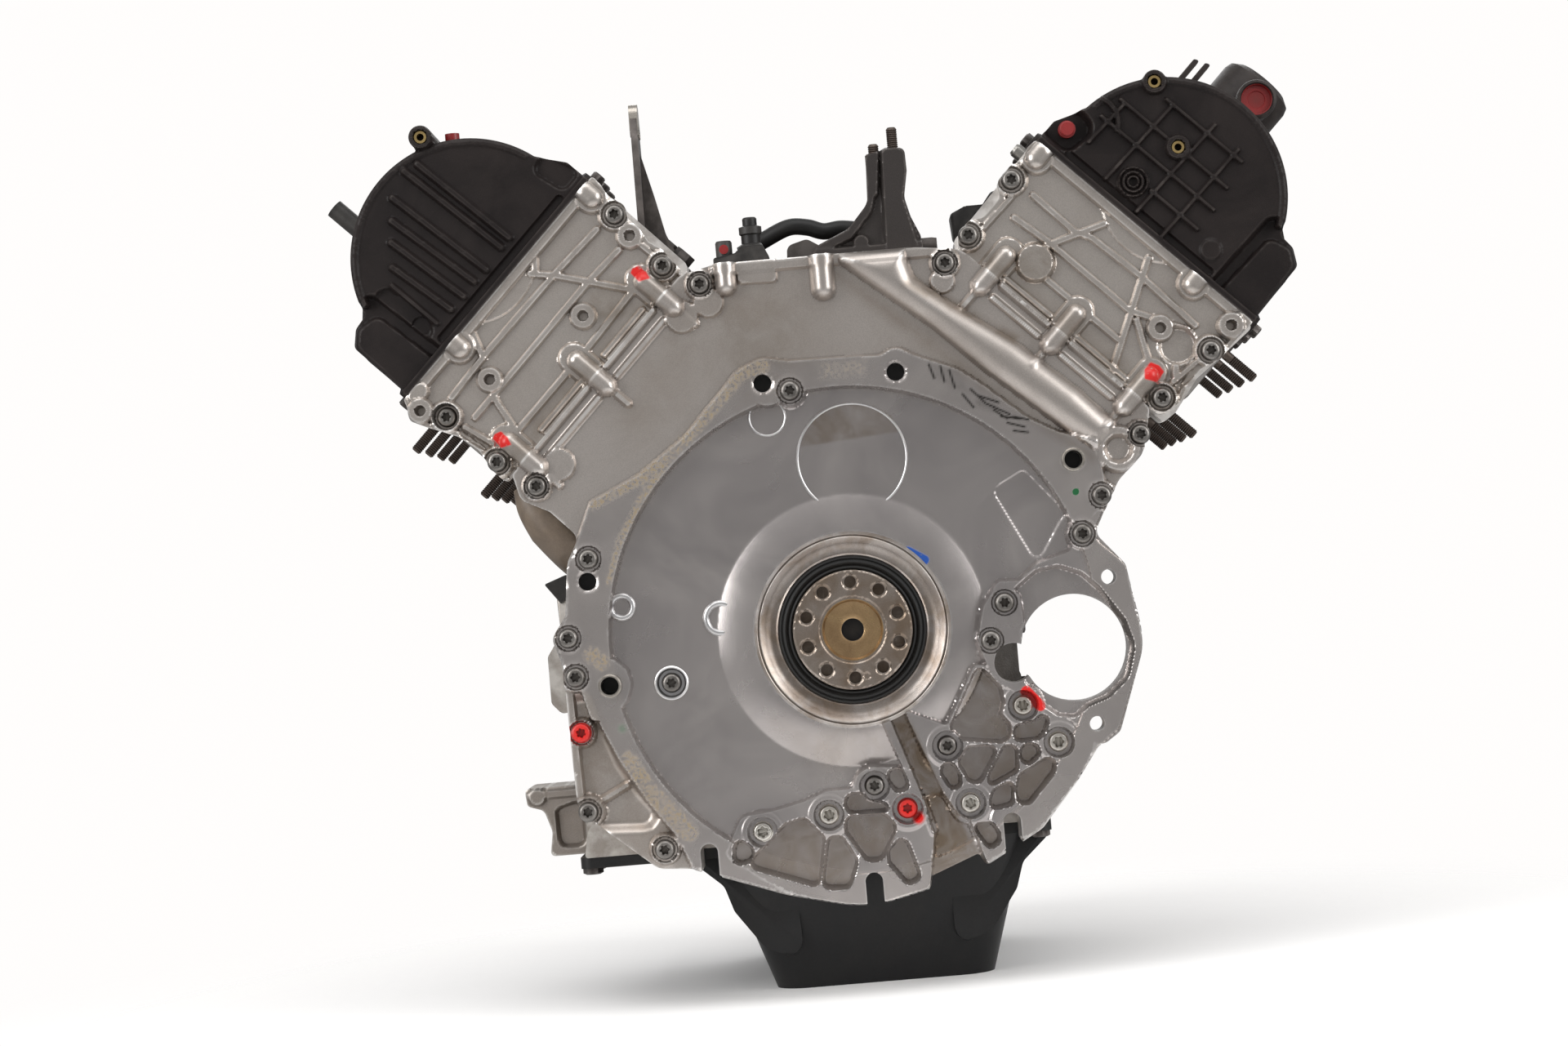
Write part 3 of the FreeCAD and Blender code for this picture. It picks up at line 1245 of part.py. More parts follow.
def valley_bolts():
    """Hexagon bolts of the lifting plate's foot and on the top edge of the bell-housing plate."""
    group = []
    inward = Rotation(Vector(0, 1, 0), d.bank_angle / 2)
    for u, y in ((272, 94), (288, 118)):
        x, z = bank(-1, -d.head_inboard - 6, u)
        bolt = hex_bolt(8, 9, 4, 20)
        bolt.Placement = Placement(Vector(x, y, z), inward)
        group.append(bolt)
    bolt = hex_bolt(7.5, 8, 4, 10)
    bolt.Placement = Placement(Vector(77, 36, d.valley_top), Rotation())
    group.append(bolt)
    shaped("valley_bolts", Part.makeCompound(group))


def stud_bracket():
    """Cast bracket on the plate's top edge: long foot, gusset and a stepped column."""
    piece = Piece("stud_bracket")
    top = d.valley_top
    outline = [(0, top, 1), (68, top, 1), (68, top + 8, 3), (64, top + 32, 10), (65, top + 68, 2), (51, top + 68, 2),
               (50, top + 54, 2), (39, top + 54, 2), (40, top + 32, 12), (28, top + 14, 14), (2, top + 7, 3)]
    piece.pad(corner_geometry(outline), 22, 26)
    piece.pocket(corner_geometry([(44, top + 10), (58, top + 10), (60, top + 44), (46, top + 44)]), 21, 8)


def bracket_studs():
    group = []
    for x, y, base, tip in ((58, 35, 60, 86), (44.5, 35, 46, 71)):
        group.append(Part.makeCylinder(4, tip - base, Vector(x, y, d.valley_top + base)))
    shaped("bracket_studs", Part.makeCompound(group))


def sensor_plate():
    """Small black plate on the plate's top edge with its marked post."""
    piece = Piece("sensor_plate")
    top = d.valley_top
    piece.pad(corner_geometry([(-75, top, 1), (-28, top, 1), (-30, top + 7, 2), (-73, top + 7, 2)]), 20, 28)
    post = piece.level(top + 6)
    bound_circle(post, -68, 34, "5.5")
    feature = piece.feature("Pad", post)
    feature.Length = 8


def coolant_sensor():
    body = Part.makeCylinder(7, 16, Vector(-48, 34, d.valley_top + 7))
    top = Part.makeCylinder(5, 5, Vector(-48, 34, d.valley_top + 23))
    shaped("coolant_sensor", body.fuse(top))


def valley_cooler():
    """Oil cooler in the valley between the banks, with a ridged top."""
    piece = Piece("valley_oil_cooler")
    floor = 172.9
    outline = [(-58, floor, 4), (0, 152.3, 10), (58, floor, 4), (52, 236, 10), (14, 250, 8), (12, 285, 6), (2, 281, 4),
               (-9, 288, 6), (-24, 284, 6), (-26, 250, 8), (-52, 236, 10)]
    piece.pad(corner_geometry(outline), d.cover_depth + 24, 220)


def oil_filler():
    """Filler neck on the right cam cover: upright barrel and a mouth towards the flywheel end."""
    y = d.cover_depth + 82
    barrel = Part.makeCylinder(24, 56, Vector(-26, y, d.cam_cover_top))
    mouth = cylinder(13.5, 50, -22, y - 62, 474)
    hole = cylinder(11.2, 16, -22, y - 63, 474)
    neck = barrel.fuse(mouth).cut(hole)
    shaped("oil_filler_neck", neck, bank_placement(1))


def sealing_plugs():
    """Plugs in the filler's mouth and in the shoulders of both cam covers."""
    mouth = cylinder(11.2, 6, -22, d.cover_depth + 29, 474)
    mouth.Placement = bank_placement(1).multiply(mouth.Placement)
    right = cylinder(6.5, 14, -114, d.cam_cover_face + 4, 374)
    right.Placement = bank_placement(1).multiply(right.Placement)
    left = cylinder(5, 12, 42, d.cam_cover_face + 20, 460)
    left.Placement = bank_placement(-1).multiply(left.Placement)
    shaped("sealing_plugs", Part.makeCompound([mouth, right, left]))


def breather_stub():
    """Tube stub on the left cam cover's arch."""
    tube = Part.makeCylinder(7, 34, Vector(-9, d.cam_cover_face + 46, 452))
    tube = tube.cut(Part.makeCylinder(5, 26, Vector(-9, d.cam_cover_face + 46, 464)))
    shaped("breather_stub", tube, bank_placement(-1))


def mount_bracket():
    """Engine bracket on the wide side of the upper pan."""
    piece = Piece("mount_bracket")
    outline = [(-205, -108, 3), (-243, -96, 3), (-243, -110, 4), (-226, -118, 6), (-214, -149, 4), (-208, -149.5, 1)]
    piece.pad(corner_geometry(outline), 92, 60)
    piece.pocket(corner_geometry([(-236, -99), (-216, -105), (-216, -90), (-236, -88)]), 112, 20)


def oil_filter_module():
    """Filter and cooler housing on the block's left side."""
    piece = Piece("oil_filter_module")
    outline = [(-117.5, 40, 3), (-168, 44, 10), (-214, 10, 12), (-216, -38, 12), (-160, -54, 14), (-117.5, -24, 3)]
    piece.pad(corner_geometry(outline), d.cover_depth + 10, 90)
    piece.round_pad(-186, -12, "16", d.cover_depth + 2, 10)


def coolant_elbow():
    """Hose elbow on the left bank's outer side."""
    bend = Part.makeCylinder(14, 34, Vector(-96, 96, 204), Vector(1, 0, 0))
    knee = Part.makeSphere(14, Vector(-92, 96, 204))
    run = cylinder(14, 34, -92, 62, 204)
    shaped("coolant_elbow", bend.fuse([knee, run]), bank_placement(-1))


def main():
    cylinder_block()
    main_bearing_frame()
    main_bearing_shells()
    crankshaft()
    crank_rear_seal()
    lower_timing_cover()
    for side in SIDES:
        upper_timing_cover(side)
        cylinder_head(side)
        cam_cover(side)
    head_gaskets()
    exhaust_studs()
    cam_frames()
    head_bolts()
    valve_gear()
    chain_guides()
    chain_tensioner()
    oil_pump()
    lifting_plate()
    valley_bolts()
    stud_bracket()
    bracket_studs()
    sensor_plate()
    coolant_sensor()
    valley_cooler()
    oil_filler()
    sealing_plugs()
    breather_stub()
    mount_bracket()
    oil_filter_module()
    coolant_elbow()
    cover_inserts()
    cover_screws()
    housing_dowels()
    upper_oil_pan()
    lower_oil_pan()
    timing_wheels()
    idler_pins()
    timing_chains()
    camshafts()
    running_gear()
    front_cover()
    damper_pulley()
    write_parts()


def write_parts():
    """Recompute, check every object and write each sub-part to a file of its own."""
    doc.recompute()
    bad = [o.Label for o in doc.Objects if "Invalid" in o.State or "Error" in o.State]
    for piece in pieces:
        if piece.Shape.isNull() or not piece.Shape.isValid():
            bad.append(piece.Label)
    if bad:
        raise RuntimeError("not built: " + ", ".join(bad))
    os.makedirs("parts", exist_ok=True)
    for piece in pieces:
        piece.Shape.exportStep(os.path.join("parts", piece.Label + ".step"))
        print(piece.Label, len(piece.Shape.Solids), round(piece.Shape.Volume))


main()
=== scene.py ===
import math

import bmesh
import bpy
import numpy as np
from mathutils import Matrix, Vector


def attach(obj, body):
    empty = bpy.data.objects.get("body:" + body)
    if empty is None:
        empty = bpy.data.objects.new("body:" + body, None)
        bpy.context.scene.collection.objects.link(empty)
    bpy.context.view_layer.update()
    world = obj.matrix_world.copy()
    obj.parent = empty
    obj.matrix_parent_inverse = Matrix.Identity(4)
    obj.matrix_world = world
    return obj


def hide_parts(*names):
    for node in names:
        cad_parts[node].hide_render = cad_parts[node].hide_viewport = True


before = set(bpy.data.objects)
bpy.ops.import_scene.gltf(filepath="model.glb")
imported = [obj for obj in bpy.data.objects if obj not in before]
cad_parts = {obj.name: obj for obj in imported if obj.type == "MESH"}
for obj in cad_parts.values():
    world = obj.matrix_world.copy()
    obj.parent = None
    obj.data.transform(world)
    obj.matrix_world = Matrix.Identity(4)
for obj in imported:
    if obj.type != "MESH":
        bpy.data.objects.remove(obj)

MM = 0.001
HALF = math.sqrt(0.5)
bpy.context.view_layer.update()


# Flat shapes, each with a signed distance in millimetres that is negative inside


def rounded(points):
    """Corners (x, z) or (x, z, radius) of a closed outline, each rounded one turned into a short arc."""
    out = []
    count = len(points)
    for i, point in enumerate(points):
        here = Vector(point[:2])
        radius = point[2] if len(point) > 2 else 0.0
        back = Vector(points[i - 1][:2]) - here
        ahead = Vector(points[(i + 1) % count][:2]) - here
        turn = back.angle(ahead)
        if radius <= 0 or turn > math.pi - 0.02:
            out.append(tuple(here))
            continue
        reach = min(radius / math.tan(turn / 2), 0.48 * back.length, 0.48 * ahead.length)
        radius = reach * math.tan(turn / 2)
        back.normalize()
        ahead.normalize()
        middle = (back + ahead).normalized()
        centre = here + middle * (radius / math.sin(turn / 2))
        first = here + back * reach - centre
        last = here + ahead * reach - centre
        steps = max(3, int(radius))
        sweep = (math.atan2(last.y, last.x) - math.atan2(first.y, first.x) + math.pi) % (2 * math.pi) - math.pi
        for k in range(steps + 1):
            angle = math.atan2(first.y, first.x) + sweep * k / steps
            out.append((centre.x + radius * math.cos(angle), centre.y + radius * math.sin(angle)))
    return out


class Patch:
    """A closed outline."""

    def __init__(self, points):
        self.points = rounded(points)

    def reach(self):
        xs, zs = zip(*self.points)
        return min(xs), min(zs), max(xs), max(zs)

    def distance(self, x, z):
        near = np.full(x.shape, 1e12)
        inside = np.zeros(x.shape, bool)
        for (x0, z0), (x1, z1) in zip(self.points, self.points[1:] + self.points[:1]):
            ex, ez = x1 - x0, z1 - z0
            if ex * ex + ez * ez < 1e-9:
                continue
            wx, wz = x - x0, z - z0
            t = np.clip((wx * ex + wz * ez) / (ex * ex + ez * ez), 0, 1)
            near = np.minimum(near, (wx - ex * t) ** 2 + (wz - ez * t) ** 2)
            if z0 != z1:
                inside ^= ((z0 > z) != (z1 > z)) & (x < ex * (z - z0) / ez + x0)
        return np.where(inside, -np.sqrt(near), np.sqrt(near))


class Disc:
    """A round shape."""

    def __init__(self, x, z, radius):
        self.x, self.z, self.radius = x, z, radius

    def reach(self):
        return self.x - self.radius, self.z - self.radius, self.x + self.radius, self.z + self.radius

    def distance(self, x, z):
        return np.hypot(x - self.x, z - self.z) - self.radius


class Bar:
    """A straight strip with round ends."""

    def __init__(self, x0, z0, x1, z1, radius):
        self.a, self.b, self.radius = (x0, z0), (x1, z1), radius

    def reach(self):
        xs, zs = zip(self.a, self.b)
        r = self.radius
        return min(xs) - r, min(zs) - r, max(xs) + r, max(zs) + r

    def distance(self, x, z):
        ex, ez = self.b[0] - self.a[0], self.b[1] - self.a[1]
        wx, wz = x - self.a[0], z - self.a[1]
        t = np.clip((wx * ex + wz * ez) / max(ex * ex + ez * ez, 1e-9), 0, 1)
        return np.hypot(wx - ex * t, wz - ez * t) - self.radius


class Joined:
    """Several shapes as one."""

    def __init__(self, *shapes):
        self.shapes = shapes

    def reach(self):
        boxes = [s.reach() for s in self.shapes]
        return tuple(f(b[i] for b in boxes) for i, f in enumerate((min, min, max, max)))

    def distance(self, x, z):
        return np.minimum.reduce([s.distance(x, z) for s in self.shapes])


def near_shape(shape, x, z, margin):
    """Numbers of the points in a shape's box grown by a margin."""
    x0, z0, x1, z1 = shape.reach()
    keep = (x > x0 - margin) & (x < x1 + margin) & (z > z0 - margin) & (z < z1 + margin)
    return np.flatnonzero(keep)


def smooth(t):
    t = np.clip(t, 0, 1)
    return t * t * (3 - 2 * t)


class CastFace:
    """A cast or moulded face: a fine sheet whose height follows the pads, ribs and pockets on it."""

    def __init__(self, outline, cell, floor=0.0):
        self.outline, self.cell, self.floor = outline, cell, floor
        self.features = []
        self.holes = []
        self.masks = {}

    def pad(self, shape, top, wall=1.5):
        self.features.append(("pad", shape, top, wall))

    def pocket(self, shape, bottom, wall=1.5):
        self.features.append(("pocket", shape, bottom, wall))

    def crown(self, shape, top):
        """A ridge with a rounded back over the whole width of a shape."""
        self.features.append(("crown", shape, top, 0.0))

    def lift(self, shape, rule):
        """Height given by a rule of the points, where it is above what is there."""
        self.features.append(("lift", shape, rule, 0.0))

    def hole(self, shape):
        self.holes.append(shape)

    def mask(self, name, shape, value=1.0, soft=2.0):
        self.masks.setdefault(name, []).append((shape, value, soft))

    def snap(self, x, z, free, shape, level):
        """Moves the free points that lie close to a contour onto it, so that edges run true."""
        some = near_shape(shape, x, z, level + self.cell)
        if not len(some):
            return
        d = shape.distance(x[some], z[some]) - level
        close = (np.abs(d) < 0.5 * self.cell) & free[some]
        some, d = some[close], d[close]
        step = 0.02
        gx = (shape.distance(x[some] + step, z[some]) - shape.distance(x[some] - step, z[some])) / (2 * step)
        gz = (shape.distance(x[some], z[some] + step) - shape.distance(x[some], z[some] - step)) / (2 * step)
        size = np.maximum(np.hypot(gx, gz), 0.5)
        x[some] -= d * gx / size ** 2
        z[some] -= d * gz / size ** 2
        free[some] = False

    def heights(self, x, z):
        h = np.full(x.shape, float(self.floor))
        for kind, shape, value, wall in self.features:
            some = near_shape(shape, x, z, wall + 0.1)
            if not len(some):
                continue
            d = shape.distance(x[some], z[some])
            old = h[some]
            if kind == "lift":
                new = np.where(d <= 0, np.maximum(old, value(x[some], z[some])), old)
            elif kind == "crown":
                width = max(-float(d.min()), 0.5)
                share = np.sqrt(np.clip(1 - (1 + np.clip(d, -width, 0) / width) ** 2, 0, 1))
                new = np.where(d < 0, np.maximum(old, old + (value - old) * share), old)
            else:
                t = np.clip(1 - np.maximum(d, 0) / wall, 0, 1)
                t = smooth(t) if wall > 2.4 * self.cell else t
                moved = old + (value - old) * t
                new = np.maximum(old, moved) if kind == "pad" else np.minimum(old, moved)
            h[some] = new
        return h

    def make(self, name, place, back, shell=False):
        """The mesh in metres: the sheet, walls down to the back height, and a flat back or one that follows the sheet."""
        x0, z0, x1, z1 = self.outline.reach()
        cell = self.cell
        nx = int((x1 - x0) / cell) + 3
        nz = int((z1 - z0) / cell) + 3
        gx, gz = np.meshgrid(x0 - cell + cell * np.arange(nx), z0 - cell + cell * np.arange(nz), indexing="ij")
        x, z = gx.ravel().copy(), gz.ravel().copy()
        free = np.ones(x.shape, bool)
        self.snap(x, z, free, self.outline, 0.0)
        for hole in self.holes:
            self.snap(x, z, free, hole, 0.0)
        for kind, shape, _, wall in reversed(self.features):
            self.snap(x, z, free, shape, 0.0)
            if kind in ("pad", "pocket") and wall < 2.4 * cell:
                self.snap(x, z, free, shape, wall)
        keep = self.outline.distance(x, z) < 0.03
        for hole in self.holes:
            keep &= hole.distance(x, z) > -0.03
        number = np.arange(nx * nz).reshape(nx, nz)
        quads = np.stack([number[:-1, :-1], number[1:, :-1], number[1:, 1:], number[:-1, 1:]], -1).reshape(-1, 4)
        kept = keep[quads]
        whole = quads[kept.all(1)]
        threes = quads[kept.sum(1) == 3]
        corner = keep[threes]
        threes = threes[corner].reshape(-1, 3)
        faces = [tuple(q) for q in whole] + [tuple(t) for t in threes]
        used = np.unique(np.concatenate([whole.ravel(), threes.ravel()]))
        renumber = np.full(nx * nz, -1)
        renumber[used] = np.arange(len(used))
        faces = [tuple(int(renumber[v]) for v in f) for f in faces]
        x, z = x[used], z[used]
        h = self.heights(x, z)
        edges = {}
        for face in faces:
            for a, b in zip(face, face[1:] + face[:1]):
                if (b, a) in edges:
                    del edges[(b, a)]
                else:
                    edges[(a, b)] = True
        rim = sorted({v for edge in edges for v in edge})
        if shell:
            rim = range(len(x))
        low = {v: len(x) + i for i, v in enumerate(rim)}
        walls = [(b, a, low[a], low[b]) for a, b in edges]
        if shell:
            walls += [tuple(low[v] for v in reversed(face)) for face in faces]
        points = [place(px, pz, ph) for px, pz, ph in zip(x, z, h)]
        points += [place(x[v], z[v], back) for v in rim]
        mesh = bpy.data.meshes.new(name)
        mesh.from_pydata([Vector(p) * MM for p in points], [], faces + walls)
        shape = bmesh.new()
        shape.from_mesh(mesh)
        open_edges = [e for e in shape.edges if e.is_boundary]
        bmesh.ops.triangle_fill(shape, edges=open_edges, use_beauty=False)
        bmesh.ops.recalc_face_normals(shape, faces=shape.faces)
        shape.to_mesh(mesh)
        shape.free()
        for mask, parts in self.masks.items():
            values = np.zeros(len(mesh.vertices), np.float32)
            for part, value, soft in parts:
                share = value * np.clip(0.5 - part.distance(x, z) / soft, 0, 1)
                values[: len(x)] = np.maximum(values[: len(x)], share)
            mesh.attributes.new(mask, "FLOAT", "POINT").data.foreach_set("value", values)
        return finished(name, mesh)


def finished(name, mesh, angle=38.0):
    """An object at the origin with smooth faces, sharp only at edges steeper than the angle."""
    mesh.polygons.foreach_set("use_smooth", [True] * len(mesh.polygons))
    mesh.set_sharp_from_angle(angle=math.radians(angle))
    made = bpy.data.objects.new(name.replace(" ", "_"), mesh)
    bpy.context.scene.collection.objects.link(made)
    return made


def bank_point(side, v, u):
    """x and z in mm of a place of the right (+1) or left (-1) bank."""
    return side * (u + v) * HALF, (u - v) * HALF


def facing(y):
    """Places a face of the rear end: height counts towards the flywheel from the plane y."""
    return lambda x, z, h: (x, y - h, z)


def bank_facing(side, y):
    def place(v, u, h):
        x, z = bank_point(side, v, u)
        return x, y - h, z
    return place


def dressed(piece, material, body, slot, *nodes):
    """Gives a piece its material and body, and hides the CAD nodes that it stands for; slot is not used."""
    piece.data.materials.clear()
    piece.data.materials.append(material)
    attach(piece, body)
    if nodes:
        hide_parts(*nodes)
    return piece


# Finishes


class Wires:
    """Adds nodes to a tree: a socket given as an input is linked, anything else is its value."""

    def __init__(self, tree):
        self.tree = tree

    def add(self, kind, inputs=None, **settings):
        node = self.tree.nodes.new(kind)
        for key, value in settings.items():
            setattr(node, key, value)
        for key, value in (inputs or {}).items():
            if isinstance(value, bpy.types.NodeSocket):
                self.tree.links.new(value, node.inputs[key])
            else:
                node.inputs[key].default_value = value
        return node

    def math(self, operation, a, b=0.0, clamp=False):
        return self.add("ShaderNodeMath", {0: a, 1: b}, operation=operation, use_clamp=clamp).outputs[0]

    def ramp(self, value, low, high, to_low=0.0, to_high=1.0):
        node = self.add("ShaderNodeMapRange", {0: value, 1: low, 2: high, 3: to_low, 4: to_high})
        return node.outputs[0]

    def blend(self, share, a, b, mode="MIX"):
        node = self.add("ShaderNodeMix", data_type="RGBA", blend_type=mode)
        for number, value in ((0, share), (6, a), (7, b)):
            if isinstance(value, bpy.types.NodeSocket):
                self.tree.links.new(value, node.inputs[number])
            else:
                node.inputs[number].default_value = value
        return node.outputs[2]

    def noise(self, place, scale, detail=3.0, rough=0.55, distortion=0.0):
        node = self.add("ShaderNodeTexNoise", {"Vector": place, "Scale": scale, "Detail": detail,
                                               "Roughness": rough, "Distortion": distortion})
        return node.outputs[0]

    def attribute(self, name):
        return self.add("ShaderNodeAttribute", attribute_name=name).outputs["Fac"]


def shader_group(name, inputs, outputs):
    tree = bpy.data.node_groups.new(name, "ShaderNodeTree")
    for label, kind in inputs:
        tree.interface.new_socket(label, in_out="INPUT", socket_type=kind)
    for label, kind in outputs:
        tree.interface.new_socket(label, in_out="OUTPUT", socket_type=kind)
    wires = Wires(tree)
    return tree, wires, wires.add("NodeGroupInput"), wires.add("NodeGroupOutput")


NUMBER, COLOUR, VECTOR = "NodeSocketFloat", "NodeSocketColor", "NodeSocketVector"


def casting_group():
    """Cloudy colour, fine sandy grain and uneven roughness of a casting or moulding."""
    tree, w, given, out = shader_group(
        "casting skin",
        [("Clean", COLOUR), ("Dull", COLOUR), ("Cloud Scale", NUMBER), ("Cloud Share", NUMBER), ("Grain Scale", NUMBER),
         ("Roughness", NUMBER), ("Spread", NUMBER)],
        [("Color", COLOUR), ("Roughness", NUMBER), ("Height", NUMBER)])
    place = w.add("ShaderNodeTexCoord").outputs["Object"]
    cloud = w.noise(place, given.outputs["Cloud Scale"], 5.0, 0.6, 0.6)
    fine = w.noise(place, given.outputs["Grain Scale"], 2.0, 0.5)
    pits = w.add("ShaderNodeTexVoronoi", {"Vector": place, "Scale": given.outputs["Grain Scale"]}).outputs[0]
    share = w.math("MULTIPLY", w.ramp(cloud, 0.35, 0.68), given.outputs["Cloud Share"])
    mixed = w.blend(share, given.outputs["Clean"], given.outputs["Dull"])
    speck = w.ramp(fine, 0.3, 0.7, 0.90, 1.10)
    tinted = w.add("ShaderNodeHueSaturation", {"Color": mixed, "Value": speck}).outputs[0]
    rough = w.math("ADD", given.outputs["Roughness"], w.math("MULTIPLY", w.math("SUBTRACT", cloud, 0.5), given.outputs["Spread"]))
    height = w.math("ADD", fine, w.math("MULTIPLY", pits, 0.5))
    for socket, value in (("Color", tinted), ("Roughness", rough), ("Height", height)):
        tree.links.new(value, out.inputs[socket])
    return tree


def edge_light_and_shade_group():
    """Painted highlight on sharp edges and painted shade with grime in hollows, from how sharply the surface turns."""
    tree, w, given, out = shader_group(
        "painted edge highlight and hollow shade", [("Color", COLOUR), ("Rubbed", COLOUR), ("Grime", COLOUR), ("Rub", NUMBER), ("Hollow Shade And Dirt", NUMBER)],
        [("Color", COLOUR), ("Edge", NUMBER), ("Hollow", NUMBER)])
    turn = w.add("ShaderNodeNewGeometry").outputs["Pointiness"]
    place = w.add("ShaderNodeTexCoord").outputs["Object"]
    patchy = w.ramp(w.noise(place, 60.0, 4.0, 0.6), 0.35, 0.6)
    # Painted highlight: sharp edges take a lighter colour, in patches
    edge = w.math("MULTIPLY", w.math("MULTIPLY", w.ramp(turn, 0.515, 0.58), given.outputs["Rub"]), w.math("ADD", patchy, 0.35), True)
    # Painted shade with grime: hollows take a darker colour
    hollow = w.math("MULTIPLY", w.ramp(turn, 0.475, 0.40), given.outputs["Hollow Shade And Dirt"], True)
    rubbed = w.blend(edge, given.outputs["Color"], given.outputs["Rubbed"])
    shaded_and_dirty = w.blend(hollow, rubbed, given.outputs["Grime"])
    for socket, value in (("Color", shaded_and_dirty), ("Edge", edge), ("Hollow", hollow)):
        tree.links.new(value, out.inputs[socket])
    return tree


def turned_group():
    """Fine rings that a face-turning tool leaves round the crank's axis, broken up by smears."""
    tree, w, given, out = shader_group(
        "turning rings", [("Pitch Scale", NUMBER), ("Strength", NUMBER)], [("Height", NUMBER), ("Mask", NUMBER)])
    place = w.add("ShaderNodeTexCoord").outputs["Object"]
    flat = w.add("ShaderNodeVectorMath", {0: place, 1: (1.0, 0.0, 1.0)}, operation="MULTIPLY").outputs[0]
    radius = w.add("ShaderNodeVectorMath", {0: flat}, operation="LENGTH").outputs["Value"]
    wave = w.math("SINE", w.math("MULTIPLY", radius, given.outputs["Pitch Scale"]))
    smear = w.ramp(w.noise(place, 22.0, 3.0, 0.5, 1.2), 0.4, 0.65)
    height = w.math("MULTIPLY", w.math("MULTIPLY", wave, smear), given.outputs["Strength"])
    tree.links.new(height, out.inputs["Height"])
    tree.links.new(smear, out.inputs["Mask"])
    return tree


CASTING = casting_group()
EDGE_LIGHT_AND_SHADE = edge_light_and_shade_group()
TURNED = turned_group()


def place_group(w, tree, inputs):
    node = w.add("ShaderNodeGroup", node_tree=tree)
    for key, value in inputs.items():
        if isinstance(value, bpy.types.NodeSocket):
            w.tree.links.new(value, node.inputs[key])
        else:
            node.inputs[key].default_value = value
    return node.outputs


def grey(*values):
    return tuple(values) + (1.0,)


def finish(name, clean, dull, metallic, roughness, cloud=(14.0, 0.6), grain=1400.0, bump=0.00006, spread=0.3,
           rubbed=None, rub=0.0, grime=(0.03, 0.022, 0.016), dirt=0.5, shine=0.5, extra=None):
    """A material with the casting skin, painted highlights on sharp edges, painted shade with grime in hollows and a
    bump; extra may change the colour and roughness.
    """
    material = bpy.data.materials.new(name)
    material.use_nodes = True
    tree = material.node_tree
    tree.nodes.clear()
    w = Wires(tree)
    skin = place_group(w, CASTING, {"Clean": grey(*clean), "Dull": grey(*dull), "Cloud Scale": cloud[0],
                                    "Cloud Share": cloud[1], "Grain Scale": grain, "Roughness": roughness, "Spread": spread})
    # The edge group paints highlights on sharp edges and shade with grime in hollows
    edge_lit_and_shaded = place_group(w, EDGE_LIGHT_AND_SHADE, {"Color": skin["Color"], "Rubbed": grey(*(rubbed or clean)), "Grime": grey(*grime),
                                 "Rub": rub, "Hollow Shade And Dirt": dirt})
    colour, rough, metal, height = edge_lit_and_shaded["Color"], skin["Roughness"], metallic, skin["Height"]
    if extra:
        colour, rough, metal, height = extra(w, colour, rough, metal, height)
    bumped = w.add("ShaderNodeBump", {"Strength": 1.0, "Distance": bump, "Height": height})
    shader = w.add("ShaderNodeBsdfPrincipled", {"Base Color": colour, "Roughness": rough, "Normal": bumped.outputs[0]})
    if isinstance(metal, bpy.types.NodeSocket):
        tree.links.new(metal, shader.inputs["Metallic"])
    else:
        shader.inputs["Metallic"].default_value = metal
    shader.inputs["Specular IOR Level"].default_value = shine
    out = w.add("ShaderNodeOutputMaterial")
    tree.links.new(shader.outputs[0], out.inputs[0])
    return material


def plate_marks(w, colour, rough, metal, height):
    """Machined faces, oil stains and painted shade, gasket residue and daubs of marking paint on the plate, from its
    attributes.
    """
    place = w.add("ShaderNodeTexCoord").outputs["Object"]
    machined = w.attribute("machined")
    rings = place_group(w, TURNED, {"Pitch Scale": 4200.0, "Strength": 0.02})
    cloud = w.ramp(w.noise(place, 9.0, 4.0, 0.6, 1.5), 0.3, 0.7)
    bare = w.blend(cloud, grey(0.29, 0.272, 0.275), grey(0.47, 0.44, 0.43))
    colour = w.blend(w.math("MULTIPLY", machined, 0.75), colour, bare)
    rough = w.math("SUBTRACT", rough, w.math("MULTIPLY", machined, 0.12))
    height = w.math("ADD", w.math("MULTIPLY", height, w.ramp(machined, 0.0, 1.0, 0.4, 0.01)),
                    w.math("MULTIPLY", rings["Height"], machined))
    # Stains and painted shade: the stain mask, broken up by noise, browns and darkens the colour
    stained_and_shaded = w.math("MULTIPLY", w.attribute("stain_and_shade"), w.ramp(w.noise(place, 30.0, 5.0, 0.65, 1.0), 0.25, 0.6))
    colour = w.blend(w.math("MULTIPLY", stained_and_shaded, 0.8), colour, grey(0.22, 0.17, 0.125))
    speck = w.ramp(w.noise(place, 420.0, 3.0, 0.7), 0.42, 0.56)
    blotch = w.ramp(w.noise(place, 75.0, 4.0, 0.65, 2.0), 0.40, 0.52)
    residue = w.math("MULTIPLY", w.math("MULTIPLY", w.attribute("residue"), speck), w.ramp(blotch, 0.0, 1.0, 0.45, 1.0))
    colour = w.blend(residue, colour, grey(0.26, 0.205, 0.135))
    dark = w.attribute("dark")
    colour = w.blend(dark, colour, grey(0.02, 0.017, 0.015))
    rough = w.math("ADD", rough, w.math("MULTIPLY", residue, 0.3))
    metal = w.math("SUBTRACT", 0.9, w.math("MAXIMUM", w.math("MULTIPLY", residue, 0.6), w.math("MULTIPLY", dark, 0.5)))
    patchy = w.ramp(w.noise(place, 260.0, 3.0, 0.6), 0.28, 0.36)
    for name, paint in (("red_paint", (0.55, 0.012, 0.01)), ("blue_paint", (0.012, 0.06, 0.27)), ("green_paint", (0.01, 0.09, 0.03))):
        daub = w.math("MULTIPLY", w.attribute(name), patchy)
        colour = w.blend(daub, colour, grey(*paint))
        metal = w.math("MULTIPLY", metal, w.math("SUBTRACT", 1.0, daub))
    return colour, rough, metal, height


